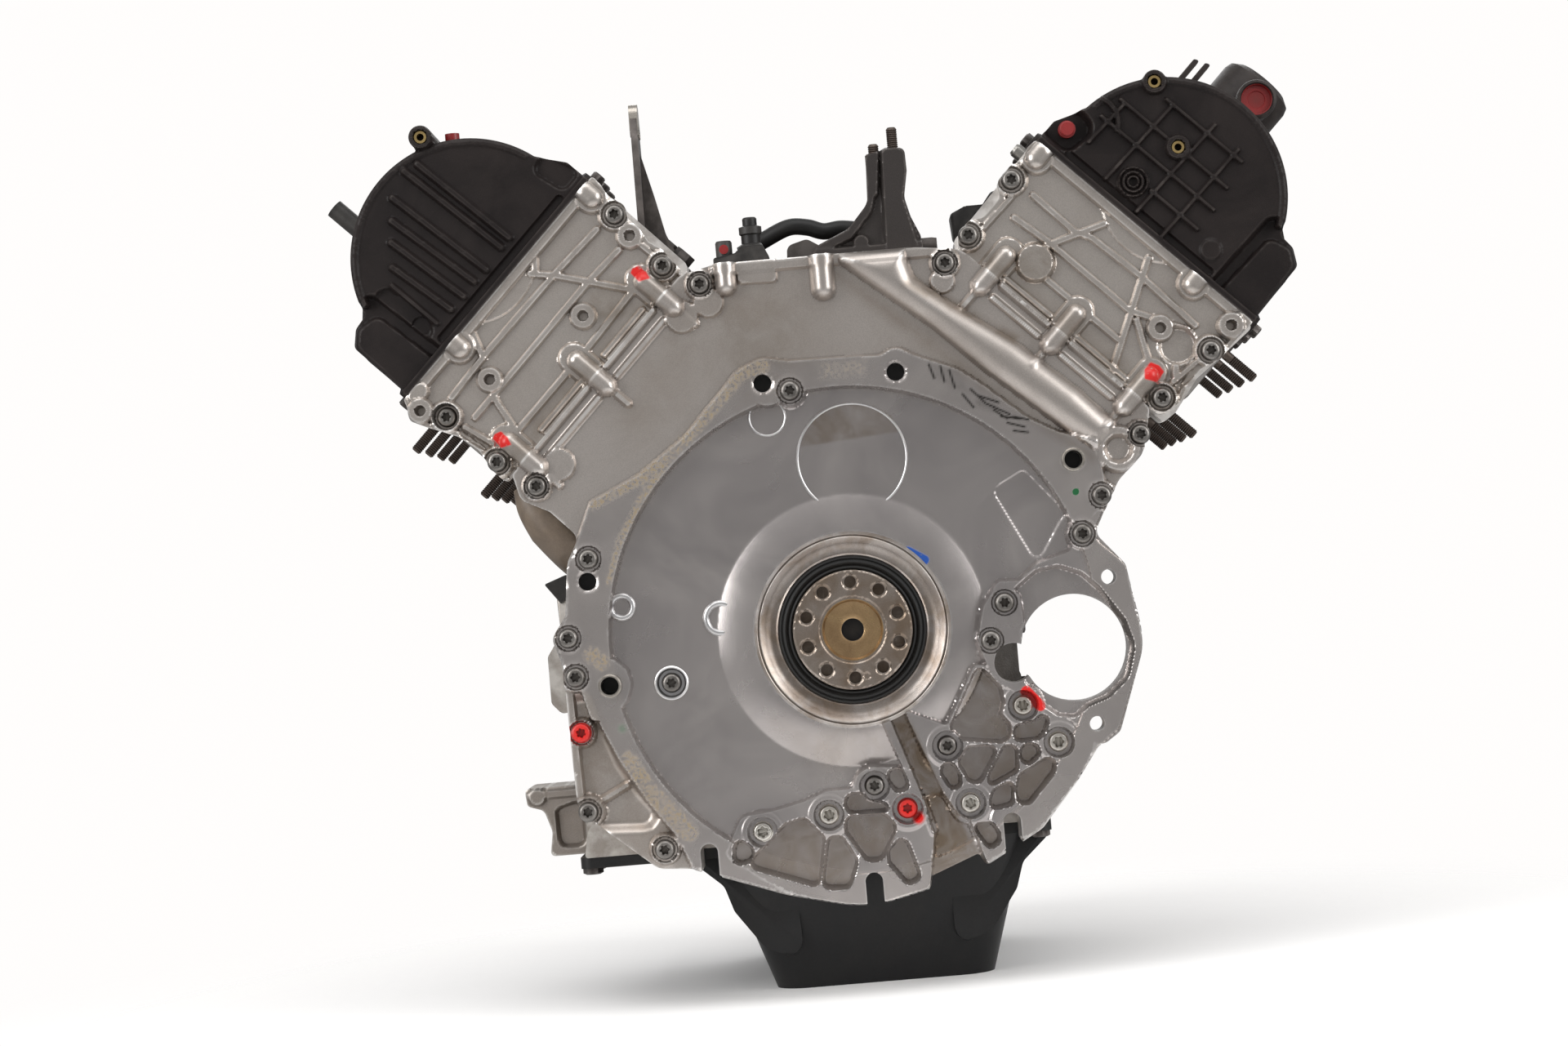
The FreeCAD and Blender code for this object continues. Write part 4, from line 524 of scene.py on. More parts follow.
def brushed_stain(w, colour, rough, metal, height):
    """Brown oil film that is thicker in some places."""
    place = w.add("ShaderNodeTexCoord").outputs["Object"]
    film = w.ramp(w.noise(place, 45.0, 4.0, 0.6, 0.8), 0.38, 0.66)
    return w.blend(w.math("MULTIPLY", film, 0.55), colour, grey(0.16, 0.105, 0.06)), rough, metal, height


def oil_film_and_port_shade(w, colour, rough, metal, height):
    """Painted shade inside the ports, which are darkened nearly black, and a thin oil film in places."""
    place = w.add("ShaderNodeTexCoord").outputs["Object"]
    film = w.ramp(w.noise(place, 14.0, 5.0, 0.65, 1.0), 0.45, 0.72)
    colour = w.blend(w.math("MULTIPLY", film, 0.4), colour, grey(0.16, 0.12, 0.085))
    dark = w.attribute("dark")
    colour = w.blend(dark, colour, grey(0.012, 0.010, 0.009))
    return colour, rough, w.math("SUBTRACT", 0.9, w.math("MULTIPLY", dark, 0.8)), height


# Each finish's edge colour and strength paint highlights on sharp edges; its hollow colour and strength paint shade
# with grime in hollows
FINISH = {
    "stained_hose": finish("stained beige hose", (0.17, 0.13, 0.095), (0.08, 0.06, 0.045), 0.0, 0.5, cloud=(40.0, 0.9), dirt=0.8),
    "cast_plate": finish("satin cast aluminium plate", (0.49, 0.45, 0.42), (0.30, 0.265, 0.24), 0.92, 0.36, rub=0.85,
                         rubbed=(0.88, 0.85, 0.82), extra=plate_marks),
    "cast_upper_cover": finish("satin cast cover", (0.50, 0.46, 0.425), (0.30, 0.265, 0.24), 0.92, 0.35, rub=0.9,
                               rubbed=(0.88, 0.85, 0.82), extra=plate_marks),
    "cast_head": finish("satin cast head", (0.42, 0.40, 0.385), (0.30, 0.275, 0.255), 0.9, 0.45, cloud=(8.0, 0.5), rub=0.7,
                        rubbed=(0.7, 0.68, 0.66), extra=oil_film_and_port_shade),
    "cast_iron_block": finish("dark cast iron", (0.10, 0.092, 0.085), (0.065, 0.054, 0.046), 0.55, 0.58, grain=700.0,
                              bump=0.0002, rub=0.3, rubbed=(0.2, 0.19, 0.18)),
    "cast_pan": finish("stained cast pan", (0.27, 0.24, 0.215), (0.18, 0.155, 0.135), 0.85, 0.5, cloud=(8.0, 0.6), rub=0.6,
                       rubbed=(0.6, 0.58, 0.55), extra=oil_film_and_port_shade),
    "black_pan": finish("black painted steel", (0.006, 0.006, 0.0065), (0.012, 0.011, 0.010), 0.0, 0.42, grain=500.0, shine=0.3),
    "cover_plastic": finish("brown-black moulding", (0.0085, 0.0062, 0.006), (0.016, 0.0115, 0.0105), 0.0, 0.46,
                            cloud=(20.0, 0.8), grain=2200.0, bump=0.00008, rub=0.6, rubbed=(0.055, 0.046, 0.042),
                            grime=(0.006, 0.005, 0.005), dirt=0.5, shine=0.2),
    "black_plastic": finish("black moulding", (0.009, 0.0085, 0.0085), (0.018, 0.0155, 0.0145), 0.0, 0.45, shine=0.3, rub=0.4,
                            rubbed=(0.07, 0.065, 0.06)),
    "forged_steel": finish("oiled ground steel", (0.33, 0.285, 0.25), (0.2, 0.16, 0.13), 0.95, 0.33, cloud=(40.0, 0.7),
                           rub=0.5, rubbed=(0.6, 0.55, 0.5), extra=brushed_stain),
    "seal_housing": finish("stained seal housing", (0.40, 0.365, 0.34), (0.24, 0.20, 0.175), 0.92, 0.34, cloud=(26.0, 0.8),
                           rub=0.6, rubbed=(0.55, 0.52, 0.5), extra=brushed_stain),
    "bright_casting": finish("bright casting edge", (0.50, 0.495, 0.50), (0.36, 0.355, 0.36), 0.92, 0.32, rub=0.8,
                             rubbed=(0.7, 0.69, 0.68)),
    "flange_bronze": finish("heat-tinted recess", (0.42, 0.285, 0.15), (0.22, 0.14, 0.075), 0.95, 0.3, cloud=(50.0, 0.8)),
    "sprocket_steel": finish("oiled sprocket steel", (0.2, 0.19, 0.18), (0.13, 0.12, 0.11), 0.95, 0.4),
    "chain_steel": finish("oiled chain steel", (0.13, 0.12, 0.11), (0.08, 0.07, 0.06), 0.9, 0.42),
    "valve_steel": finish("valve steel", (0.32, 0.31, 0.3), (0.2, 0.18, 0.16), 0.95, 0.35),
    "bearing_bronze": finish("plain bearing metal", (0.45, 0.33, 0.19), (0.3, 0.22, 0.13), 0.9, 0.35),
    "seal_rubber": finish("black seal rubber", (0.007, 0.007, 0.007), (0.012, 0.011, 0.010), 0.0, 0.48, grain=900.0, shine=0.35),
    "guide_nylon": finish("dark nylon", (0.05, 0.045, 0.04), (0.035, 0.03, 0.027), 0.0, 0.4),
    "tensioner_steel": finish("tensioner steel", (0.3, 0.29, 0.28), (0.2, 0.18, 0.16), 0.95, 0.35),
    "piston_aluminium": finish("turned piston aluminium", (0.4, 0.39, 0.38), (0.3, 0.28, 0.26), 0.95, 0.32),
    "gasket_steel": finish("coated gasket steel", (0.12, 0.115, 0.11), (0.08, 0.07, 0.065), 0.8, 0.5),
    "dark_screw_steel": finish("dark coated screw", (0.14, 0.13, 0.12), (0.08, 0.07, 0.06), 0.9, 0.38, rub=0.7,
                               rubbed=(0.4, 0.38, 0.36), dirt=0.8),
    "bright_screw_steel": finish("zinc-coated screw", (0.5, 0.475, 0.43), (0.32, 0.28, 0.23), 0.95, 0.3, rub=0.6,
                                 rubbed=(0.8, 0.78, 0.74), dirt=0.9),
    "red_painted_screw": finish("red marked screw", (0.6, 0.02, 0.015), (0.42, 0.012, 0.01), 0.0, 0.35, dirt=0.8,
                                grime=(0.05, 0.01, 0.008)),
    "dark_stud_steel": finish("brown oxidised steel", (0.045, 0.033, 0.027), (0.03, 0.022, 0.018), 0.7, 0.5, rub=0.6,
                              rubbed=(0.16, 0.13, 0.11)),
    "grey_bolt_steel": finish("dull coated steel", (0.06, 0.052, 0.048), (0.04, 0.033, 0.03), 0.8, 0.45, rub=0.6,
                              rubbed=(0.22, 0.2, 0.19)),
    "bracket_casting": finish("dark stained casting", (0.042, 0.036, 0.034), (0.03, 0.025, 0.022), 0.5, 0.45, rub=0.6,
                              rubbed=(0.16, 0.14, 0.13)),
    "cooler_aluminium": finish("dark stained cooler", (0.05, 0.043, 0.038), (0.03, 0.025, 0.022), 0.6, 0.5, rub=0.4,
                               rubbed=(0.2, 0.18, 0.17)),
    "plug_red": finish("red moulding", (0.23, 0.012, 0.012), (0.15, 0.01, 0.01), 0.0, 0.42),
    "insert_brass": finish("machined brass", (0.55, 0.40, 0.17), (0.4, 0.28, 0.12), 0.95, 0.3),
    "dowel_steel": finish("ground sleeve steel", (0.42, 0.39, 0.35), (0.3, 0.27, 0.24), 0.95, 0.28),
    "pipe_steel": finish("drawn tube steel", (0.33, 0.32, 0.3), (0.22, 0.2, 0.18), 0.95, 0.35),
    "damper_iron": finish("black damper", (0.03, 0.03, 0.03), (0.045, 0.04, 0.036), 0.4, 0.45, rub=0.4,
                          rubbed=(0.15, 0.14, 0.14)),
}


# Bell-housing plate: x and z, and heights towards the flywheel from the recess floor

DARK_SCREWS = [(-183, 66), (-202, 11), (-199, -17), (-198, -113), (-146, -144), (184, 80), (168, 54), (109, 10),
               (97, -16), (60, -88), (6, -112), (-30, 173), (-132, -27)]
BRIGHT_SCREWS = [(116, -64), (139, -92), (-28, -130), (-76, -138), (73, -130)]
RED_SCREWS = [(28, -130), (-199, -57)]
COUNTERBORES = BRIGHT_SCREWS + [(28, -130), (60, -88), (6, -112)]
SEAM_SCREWS = [(1, -118, 242), (1, 67, 238), (-1, -118, 242), (-1, 67, 238)]
BARRELS = [(1, -88), (1, -23), (1, 45), (-1, -94), (-1, -20), (-1, 56)]
STARTER = Joined(Disc(156, -26, 38), Disc(112, -33, 14))
PLATE_EDGE = [(-99, 263, 8), (-76, 268, 6), (62, 268, 6), (96, 264, 8)]
PLATE_EDGE += [bank_point(1, -112, 257) + (3,), bank_point(1, 60, 257) + (6,)]
PLATE_EDGE += [(217, 108, 16), (198, 90, 10), (191, 79, 8), (176, 52, 10), (197, 29, 12), (206, -26, 60),
               (182, -86, 12), (166, -98, 8), (150, -120, 30), (122, -152, 14), (80, -175, 3), (76, -166, 2),
               (42, -179, 2), (39, -188, 3), (-6, -198, 160), (-62, -184, 120), (-128, -160, 4), (-152, -158, 14),
               (-206, -112, 30), (-208, -10, 8), (-214, 11, 8), (-203, 27, 8), (-198, 66, 10), (-189, 82, 8),
               (-208, 102, 6), (-228, 112, 10)]
PLATE_EDGE += [bank_point(-1, 72, 257) + (3,), bank_point(-1, -112, 257) + (3,)]
RIM = [(-192, 74, 6), (-178, 106, 4), (-141, 123, 20), (-107, 147, 20), (-66, 190, 12), (-49, 198, 16), (-30, 194, 10),
       (20, 193, 60), (36, 192, 10), (47, 198, 12), (61, 190, 10), (90, 178, 30), (106, 166, 20), (137, 139, 30),
       (158, 127, 10), (184, 119, 6), (186, 100, 4), (188, 78, 8), (174, 52, 10), (196, 29, 12), (205, -26, 60),
       (182, -85, 12), (166, -97, 8), (150, -119, 30), (122, -151, 14), (80, -174, 3), (77, -166, 2), (42, -180, 2),
       (38, -187, 3), (-6, -197, 160), (-62, -183, 120), (-127, -159, 4), (-138, -134, 10), (-156, -108, 30),
       (-172, -80, 40), (-184, -53, 40), (-191, -26, 12), (-206, -24, 4), (-207, -6, 6), (-212, 11, 8), (-202, 26, 6),
       (-199, 60, 8)]
FLANGE = [(176, 66, 4), (158, 42, 6), (134, 35, 8), (121, 24, 4), (106, 25, 3), (94, 8, 4), (88, -16, 6), (97, -46, 6),
          (112, -54, 6), (128, -58, 8), (150, -78, 8), (168, -98, 8), (183, -88, 10), (205, -28, 40), (197, 30, 10),
          (177, 54, 8), (188, 74, 6)]
STARTER_RECESS = [(119, 18, 2), (134, 29, 6), (149, 31, 10), (164, 25, 10), (175, 14, 8), (191, -10, 12), (196, -28, 12),
                  (190, -49, 12), (176, -61, 8), (161, -66, 5), (152, -73, 5), (141, -71, 5), (130, -62, 6), (121, -46, 3),
                  (121, -20, 3), (121, 8, 4)]
LUG = [(105, 17, 3), (112, 21, 4), (120, 14, 4), (121, -7, 4), (117, -13, 4), (100, -24, 5), (88, -18, 5), (92, 2, 5)]
LATTICE_RIGHT = [(31, -60, 1), (61, -74, 3), (84, -32, 5), (93, -34, 8), (104, -50, 4), (128, -54, 8), (160, -82, 14),
                 (164, -96, 8), (150, -119, 20), (122, -150, 12), (80, -173, 2), (70, -142, 2), (63, -139, 2), (53, -122, 1)]
LATTICE_LEFT = [(-104, -152, 6), (-90, -126, 8), (-68, -124, 8), (-45, -119, 6), (-28, -113, 10), (-10, -113, 6), (-4, -101, 8),
                (10, -99, 8), (22, -100, 3), (36, -104, 2), (45, -149, 2), (40, -187, 3), (-6, -197, 160), (-62, -183, 100)]
LATTICE_POCKETS = [
    [(87, -35), (93, -42), (100, -51), (101, -60), (98, -69), (104, -77), (104, -85), (98, -87), (71, -83), (64, -76)],
    [(110, -79), (123, -77), (128, -73), (132, -75), (129, -83), (125, -87), (109, -88)],
    [(114, -93), (122, -93), (124, -99), (116, -105), (112, -101)],
    [(75, -91), (92, -92), (92, -97), (80, -115), (74, -113), (68, -100)],
    [(101, -92), (108, -94), (107, -109), (89, -117), (88, -113)],
    [(131, -103), (134, -108), (132, -113), (114, -132), (108, -132), (107, -125), (110, -114)],
    [(57, -101), (62, -102), (66, -110), (66, -116), (61, -118), (55, -107)],
    [(91, -123), (102, -118), (103, -123), (102, -132), (89, -134), (88, -129)],
    [(77, -146), (86, -146), (90, -153), (90, -158), (84, -162), (76, -149)],
    [(18, -103), (26, -102), (29, -115), (22, -116), (17, -109)],
    [(-13, -118), (-3, -117), (0, -122), (12, -126), (13, -129), (-12, -129), (-15, -124)],
    [(-15, -135), (-11, -133), (11, -134), (17, -141), (16, -146), (6, -163), (-3, -163), (-16, -142)],
    [(-29, -147), (-21, -147), (-12, -164), (-14, -170), (-19, -181), (-33, -180), (-35, -177)],
    [(-59, -135), (-46, -132), (-40, -139), (-34, -146), (-40, -178), (-83, -162), (-85, -158)],
    [(13, -159), (21, -152), (25, -155), (32, -179), (24, -182), (13, -167)],
    [(-95, -141), (-85, -150), (-86, -156), (-97, -159)],
]
TUBE = [(5, 267, 4), (32, 244, 10), (72, 211), (112, 172), (152, 137), (184, 110, 6), (203, 128, 8), (175, 158), (135, 194),
        (95, 223), (66, 246, 10), (60, 267, 4)]
STRIP = [(-176, 104, -142, 119, 3.5), (-142, 119, -124, 131, 5), (-124, 131, -100, 151, 4.5), (-100, 151, -66, 185, 4.5),
         (-124, 128, -146, 99, 3), (-146, 99, -160, 76, 2.5), (-160, 76, -170, 48, 2), (-166, -78, -151, -105, 5.5),
         (-151, -105, -128, -133, 6.5), (-186, -2, -180, -8, 6), (-62, 188, -48, 192, 5)]
SCRATCHES = [(92, 160, 99, 150), (98, 163, 108, 152), (103, 158, 117, 152), (108, 152, 124, 143), (113, 147, 122, 140),
             (118, 142, 131, 139), (122, 137, 134, 133), (126, 131, 136, 129), (70, 183, 73, 173), (78, 181, 80, 170),
             (84, 178, 87, 165), (126, 141, 137, 138)]


def upper_plate():
    """The plate without the two latticed fields, which are finer sheets of their own."""
    face = CastFace(Patch(PLATE_EDGE), 1.2, 4.0)
    face.hole(Joined(Patch(FLANGE), Patch(LATTICE_RIGHT)))
    face.hole(Patch(LATTICE_LEFT))
    plate_forms(face)
    return face


def flange_field():
    """Starter flange and the lattice below it."""
    face = CastFace(Joined(Patch(FLANGE), Patch(LATTICE_RIGHT)), 0.75, 0.0)
    plate_forms(face)
    return face


def lower_field():
    """Lattice below the crank."""
    face = CastFace(Patch(LATTICE_LEFT), 0.75, 0.0)
    plate_forms(face)
    return face


def plate_forms(face):
    face.pocket(Patch([(-202, -36, 4), (-193, -36, 6), (-187, -58), (-178, -84), (-164, -107), (-150, -124, 8), (-190, -122, 6),
                       (-202, -106, 6)]), -2, 9)
    face.pad(Patch([(-208, -18, 4), (-203, -18, 3), (-201, -108, 8), (-192, -124, 8), (-206, -116, 8)]), 5, 1.6)
    for x, z, radius in ((-199, -57, 9), (-198, -113, 10), (-146, -144, 10)):
        face.pad(Disc(x, z, radius), 5, 2.5)
    face.pad(Bar(-170, -97, -194, -109, 1.4), 3, 2.2)
    face.pad(Patch(RIM), 12, 2.0)
    face.pocket(Disc(0, 0, 172), 0, 1.6)
    face.pad(Patch([(-200, -10, 6), (-172, -6, 4), (-163, -14, 8), (-160, -25, 12), (-164, -36, 8), (-169, -42, 4),
                    (-190, -50, 4)]), 12, 1.6)
    face.pad(Disc(-46, 179, 15), 12, 1.6)
    face.pad(Disc(-30, 173, 10.5), 12, 1.6)
    face.pad(Patch(FLANGE), 10, 2.5)
    face.pad(Patch(LATTICE_RIGHT), 9, 1.8)
    face.pad(Patch(LATTICE_LEFT), 9, 1.8)
    face.pocket(Patch(STARTER_RECESS), 1.5, 3.2)
    face.pad(Disc(112, -33, 19), 8, 2.0)
    face.pad(Patch(LUG), 10, 1.8)
    for x, z in COUNTERBORES:
        face.pad(Disc(x, z, 13.5), 9.8, 2.6)
    for x, z in ((-115, -149), (1, -172), (101, -145)):
        face.pad(Disc(x, z, 14.5), 10.5, 2.0)
    for pocket in LATTICE_POCKETS:
        face.pocket(Patch([p + (3.5,) for p in pocket]), -6, 2.6)
    face.pocket(Patch([(108, 91, 6), (131, 103, 4), (158, 70, 4), (153, 64, 2), (135, 36, 5)]), -0.9, 1.0)
    face.lift(Disc(0, 0, 97), lambda x, z: 6.5 * (1 - np.clip((np.hypot(x, z) - 68) / 29, 0, 1) ** 1.6))
    face.pad(Patch([(14, -62, 2), (20, -64), (41, -123), (48, -148, 2), (44, -151, 2), (36, -126)]), 9.5, 1.4)
    face.pocket(Patch([(21, -62), (30, -60), (53, -121), (41, -124)]), -3, 1.4)
    face.pocket(Patch([(42, -124), (54, -123), (63, -139, 2), (70, -141, 2), (80, -175), (40, -189), (47, -150), (44, -140)]), 2, 1.6)
    face.pad(Bar(104, -157, 86, -167, 3), 9, 1.5)
    for side, v in BARRELS:
        x0, z0 = bank_point(side, v, 270)
        x1, z1 = bank_point(side, v, 246)
        x2, z2 = bank_point(side, v, 226)
        face.pad(Bar(x1, z1, x2, z2, 1.4), 8, 2.0)
        face.crown(Bar(x0, z0, x1, z1, 8), 16)
    for side, v, u, radius in ((1, -111, 231, 8), (-1, -92, 237, 11), (-1, -112, 229, 10), (-1, 45, 236, 11)):
        face.pad(Disc(*bank_point(side, v, u), radius), 7.5, 1.4)
    for side, v0, v1 in ((1, -76, -34), (1, -12, 34), (-1, -82, -30), (-1, -10, 46)):
        face.pad(Bar(*bank_point(side, v0, 245), *bank_point(side, v1, 245), 1.2), 7, 2.0)
        face.pad(Bar(*bank_point(side, v0, 256), *bank_point(side, v1, 256), 1.6), 7.5, 2.0)
    face.pad(Patch([(-60, 269), (-60, 253, 3), (-33, 252, 3), (-33, 269)]), 7, 1.4)
    face.pad(Bar(-76, 264, 90, 264, 3.0), 8, 2.0)
    face.crown(Bar(-69, 280, -69, 252, 8), 16)
    face.crown(Bar(0, 280, 0, 244, 9), 17)
    face.crown(Patch(TUBE), 18)
    face.pad(Disc(199, 112, 15), 13, 2.6)
    face.pocket(Disc(199, 112, 7.5), 6, 3.6)
    face.pad(Bar(209, 96, 214, 102, 4), 8, 2.0)
    for side, v, u in SEAM_SCREWS:
        face.pad(Disc(*bank_point(side, v, u), 9.5), 9, 2.0)
        face.pocket(Disc(*bank_point(side, v, u), 8.4), 5, 1.0)
    for x, z in DARK_SCREWS:
        if (x, z) not in COUNTERBORES and math.hypot(x, z) > 150:
            face.pad(Disc(x, z, 10), 12.4, 2.0)
            face.pocket(Disc(x, z, 8.6), 10.6, 0.9)
    face.hole(Disc(-132, -27, 11.0))
    for x, z in ((109, 10), (97, -16)):
        face.pocket(Disc(x, z, 8.6), 8, 1.0)
    for x, z in COUNTERBORES:
        face.pocket(Disc(x, z, 9.8), -1, 1.4)
    face.pocket(Disc(-199, -57, 8.0), 2, 1.0)
    for x, z in ((-49, 180), (46, 180), (-185, 50)):
        face.hole(Disc(x, z, 6.4))
        face.pocket(Disc(x, z, 7.2), 11, 0.9)
    for x, z in ((166, 107), (-175, -25)):
        face.hole(Disc(x, z, 8.4))
    for x, z in ((184, 22), (167, -81)):
        face.hole(Disc(x, z, 5.3))
    for x, z in ((-115, -149), (0, -179), (101, -145)):
        face.hole(Bar(x, z, x, z - 40, 6.25))
    face.hole(STARTER)
    face.hole(Disc(0, 0, 70))
    face.mask("machined", Disc(0, 0, 172), 1.0, 3.0)
    face.mask("machined", Patch(RIM), 0.7, 3.0)
    face.mask("machined", Patch(FLANGE), 0.7, 3.0)
    for x0, z0, x1, z1, radius in STRIP:
        face.mask("residue", Bar(x0, z0, x1, z1, radius), 1.0, 2.5)
    face.mask("residue", Patch([(-8, 180), (24, 180), (26, 190), (-6, 190)]), 0.45, 6.0)
    for x0, z0, x1, z1 in SCRATCHES:
        face.mask("dark", Bar(x0, z0, x1, z1, 0.8), 1.3, 1.6)
    face.mask("dark", Patch([(70, 186), (92, 178), (98, 160), (88, 162), (72, 174)]), 0.35, 6.0)
    face.mask("dark", Bar(104, 153, 112, 149, 3.5), 0.5, 5.0)
    face.mask("stain_and_shade", Patch([(-26, 133), (44, 138), (40, 150), (28, 158), (10, 161), (-10, 157), (-22, 146)]), 0.8, 1.5)
    face.mask("stain_and_shade", Patch([(20, -62), (31, -58), (55, -122), (63, -139), (82, -175), (38, -190), (46, -150), (40, -124)]), 1.3, 3.0)
    face.mask("stain_and_shade", Patch([(-205, -30), (-190, -34), (-170, -84), (-134, -134), (-150, -156), (-204, -116)]), 0.5, 12.0)
    face.mask("stain_and_shade", Patch([(-60, -60), (-30, -100), (20, -98), (30, -66), (10, -70), (-30, -62)]), 0.35, 20.0)
    face.mask("stain_and_shade", Patch([(0, 262), (32, 240), (112, 168), (152, 133), (184, 108), (180, 104), (108, 160), (28, 232)]), 0.5, 8.0)
    face.mask("stain_and_shade", Patch([(60, 252), (96, 226), (136, 198), (132, 192), (92, 218), (56, 240)]), 0.7, 5.0)
    face.mask("stain_and_shade", Patch([(-100, 240), (-160, 180), (-150, 140), (-110, 170), (-70, 230)]), 0.3, 30.0)
    # Painted shade in the lattice pockets: they are darkened brown through the stain mask
    for pocket in LATTICE_POCKETS:
        face.mask("stain_and_shade", Patch(pocket), 0.75, 2.5)
    # Painted shade: a broad soft darkening over the upper middle of the plate
    face.mask("stain_and_shade", Disc(-50, 215, 42), 0.45, 40.0)
    face.mask("blue_paint", Bar(44, 52, 55, 45, 3), 2.0, 2.0)
    face.mask("red_paint", Bar(119, -54, 128, -65, 3.4), 2.0, 2.0)
    face.mask("red_paint", Disc(35, -137, 4), 1.2, 3.0)
    face.mask("green_paint", Disc(166, 84, 2.0), 3.0, 1.5)
    face.mask("green_paint", Disc(-169, -56, 3.0), 0.6, 3.0)


def part_beyond(node, name, y):
    """The CAD node's mesh from the plane y towards the front, closed where it is cut."""
    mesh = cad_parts[node].data.copy()
    shape = bmesh.new()
    shape.from_mesh(mesh)
    shape.transform(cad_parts[node].matrix_world)
    bmesh.ops.remove_doubles(shape, verts=shape.verts, dist=0.00002)
    cut = bmesh.ops.bisect_plane(shape, geom=shape.verts[:] + shape.edges[:] + shape.faces[:], dist=1e-7,
                                 plane_co=(0, y * MM, 0), plane_no=(0, -1, 0), clear_outer=True)
    rim = [e for e in cut["geom_cut"] if isinstance(e, bmesh.types.BMEdge)]
    bmesh.ops.triangle_fill(shape, edges=rim, use_beauty=False)
    bmesh.ops.recalc_face_normals(shape, faces=shape.faces)
    shape.to_mesh(mesh)
    shape.free()
    mesh.name = name
    return finished(name, mesh, 32)


for name, field in (("plate face", upper_plate()), ("starter flange field", flange_field()), ("lower lattice field", lower_field())):
    plate = field.make(name, facing(12), -13.5)
    dressed(plate, FINISH["cast_plate"], "block", "cast_plate", "lower_timing_cover")
plate_back = part_beyond("lower_timing_cover", "plate back", 25.5)
dressed(plate_back, FINISH["cast_plate"], "block", "cast_plate", "lower_timing_cover")


# Upper timing covers: v and u of the bank, heights towards the flywheel from the plane y = 12

UPPER_EDGE = {
    1: [(-117, 257, 3), (-123, 263, 5), (-125, 276, 8), (-118, 284, 6), (-118, 304, 6), (-127, 311, 6), (-127, 325, 6),
        (-123, 334, 6), (-126, 343, 4), (-125, 351, 2), (77, 351, 2), (76, 336, 4), (76, 315, 8), (70, 302, 10), (70, 288, 8),
        (74, 276, 8), (72, 262, 6), (67, 257, 2)],
    -1: [(-117, 257, 3), (-120, 279, 8), (-118, 290, 6), (-121, 301, 8), (-121, 312, 6), (-127, 320, 6), (-124, 332, 6),
         (-127, 342, 5), (-128, 351, 2), (81, 351, 2), (84, 345, 3), (90, 338, 5), (86, 327, 5), (82, 318, 8), (76, 304, 10),
         (74, 286, 10), (79, 270, 8), (79, 257, 2)],
}
UPPER_RIBS = {
    1: [[(-101, 320), (-62, 319), (-50, 323.5), (-6, 325), (47, 323)], [(-101, 299), (-71, 301.5), (4, 301), (45, 317)],
        [(-54, 280), (14, 280)], [(-70, 299), (-49, 337)], [(-9, 338), (23, 260)], [(13, 299), (40, 281)]],
    -1: [[(-101, 324), (-59, 326.5), (19, 327.5), (58, 326)], [(-100, 302.5), (-65, 304.5), (58, 304)],
         [(-86, 276), (-27, 274), (46, 274.5)], [(-46, 340), (-56, 326.5), (-69, 303.5), (-84, 277)],
         [(-60, 348), (-49, 338)], [(11, 349), (21, 328)], [(37, 305), (40, 298), (46, 277)]],
}
UPPER_HOLLOW_BOSSES = {
    1: [(29.2, 305.5, 8.6, 5.5), (66.5, 339, 8.6, 8.0)],
    -1: [(-47.2, 291.5, 8.4, 5.5), (30.6, 313.3, 8.2, 5.5), (-112.5, 303, 8.4, 5.5), (79.5, 336.5, 8.2, 8.0)],
}
UPPER_SCREWS = [(1, -120, 318), (1, -118, 268), (1, 67, 316), (1, 62, 268), (-1, -117, 321), (-1, -111, 271), (-1, 71, 320),
                (-1, 72, 271)]


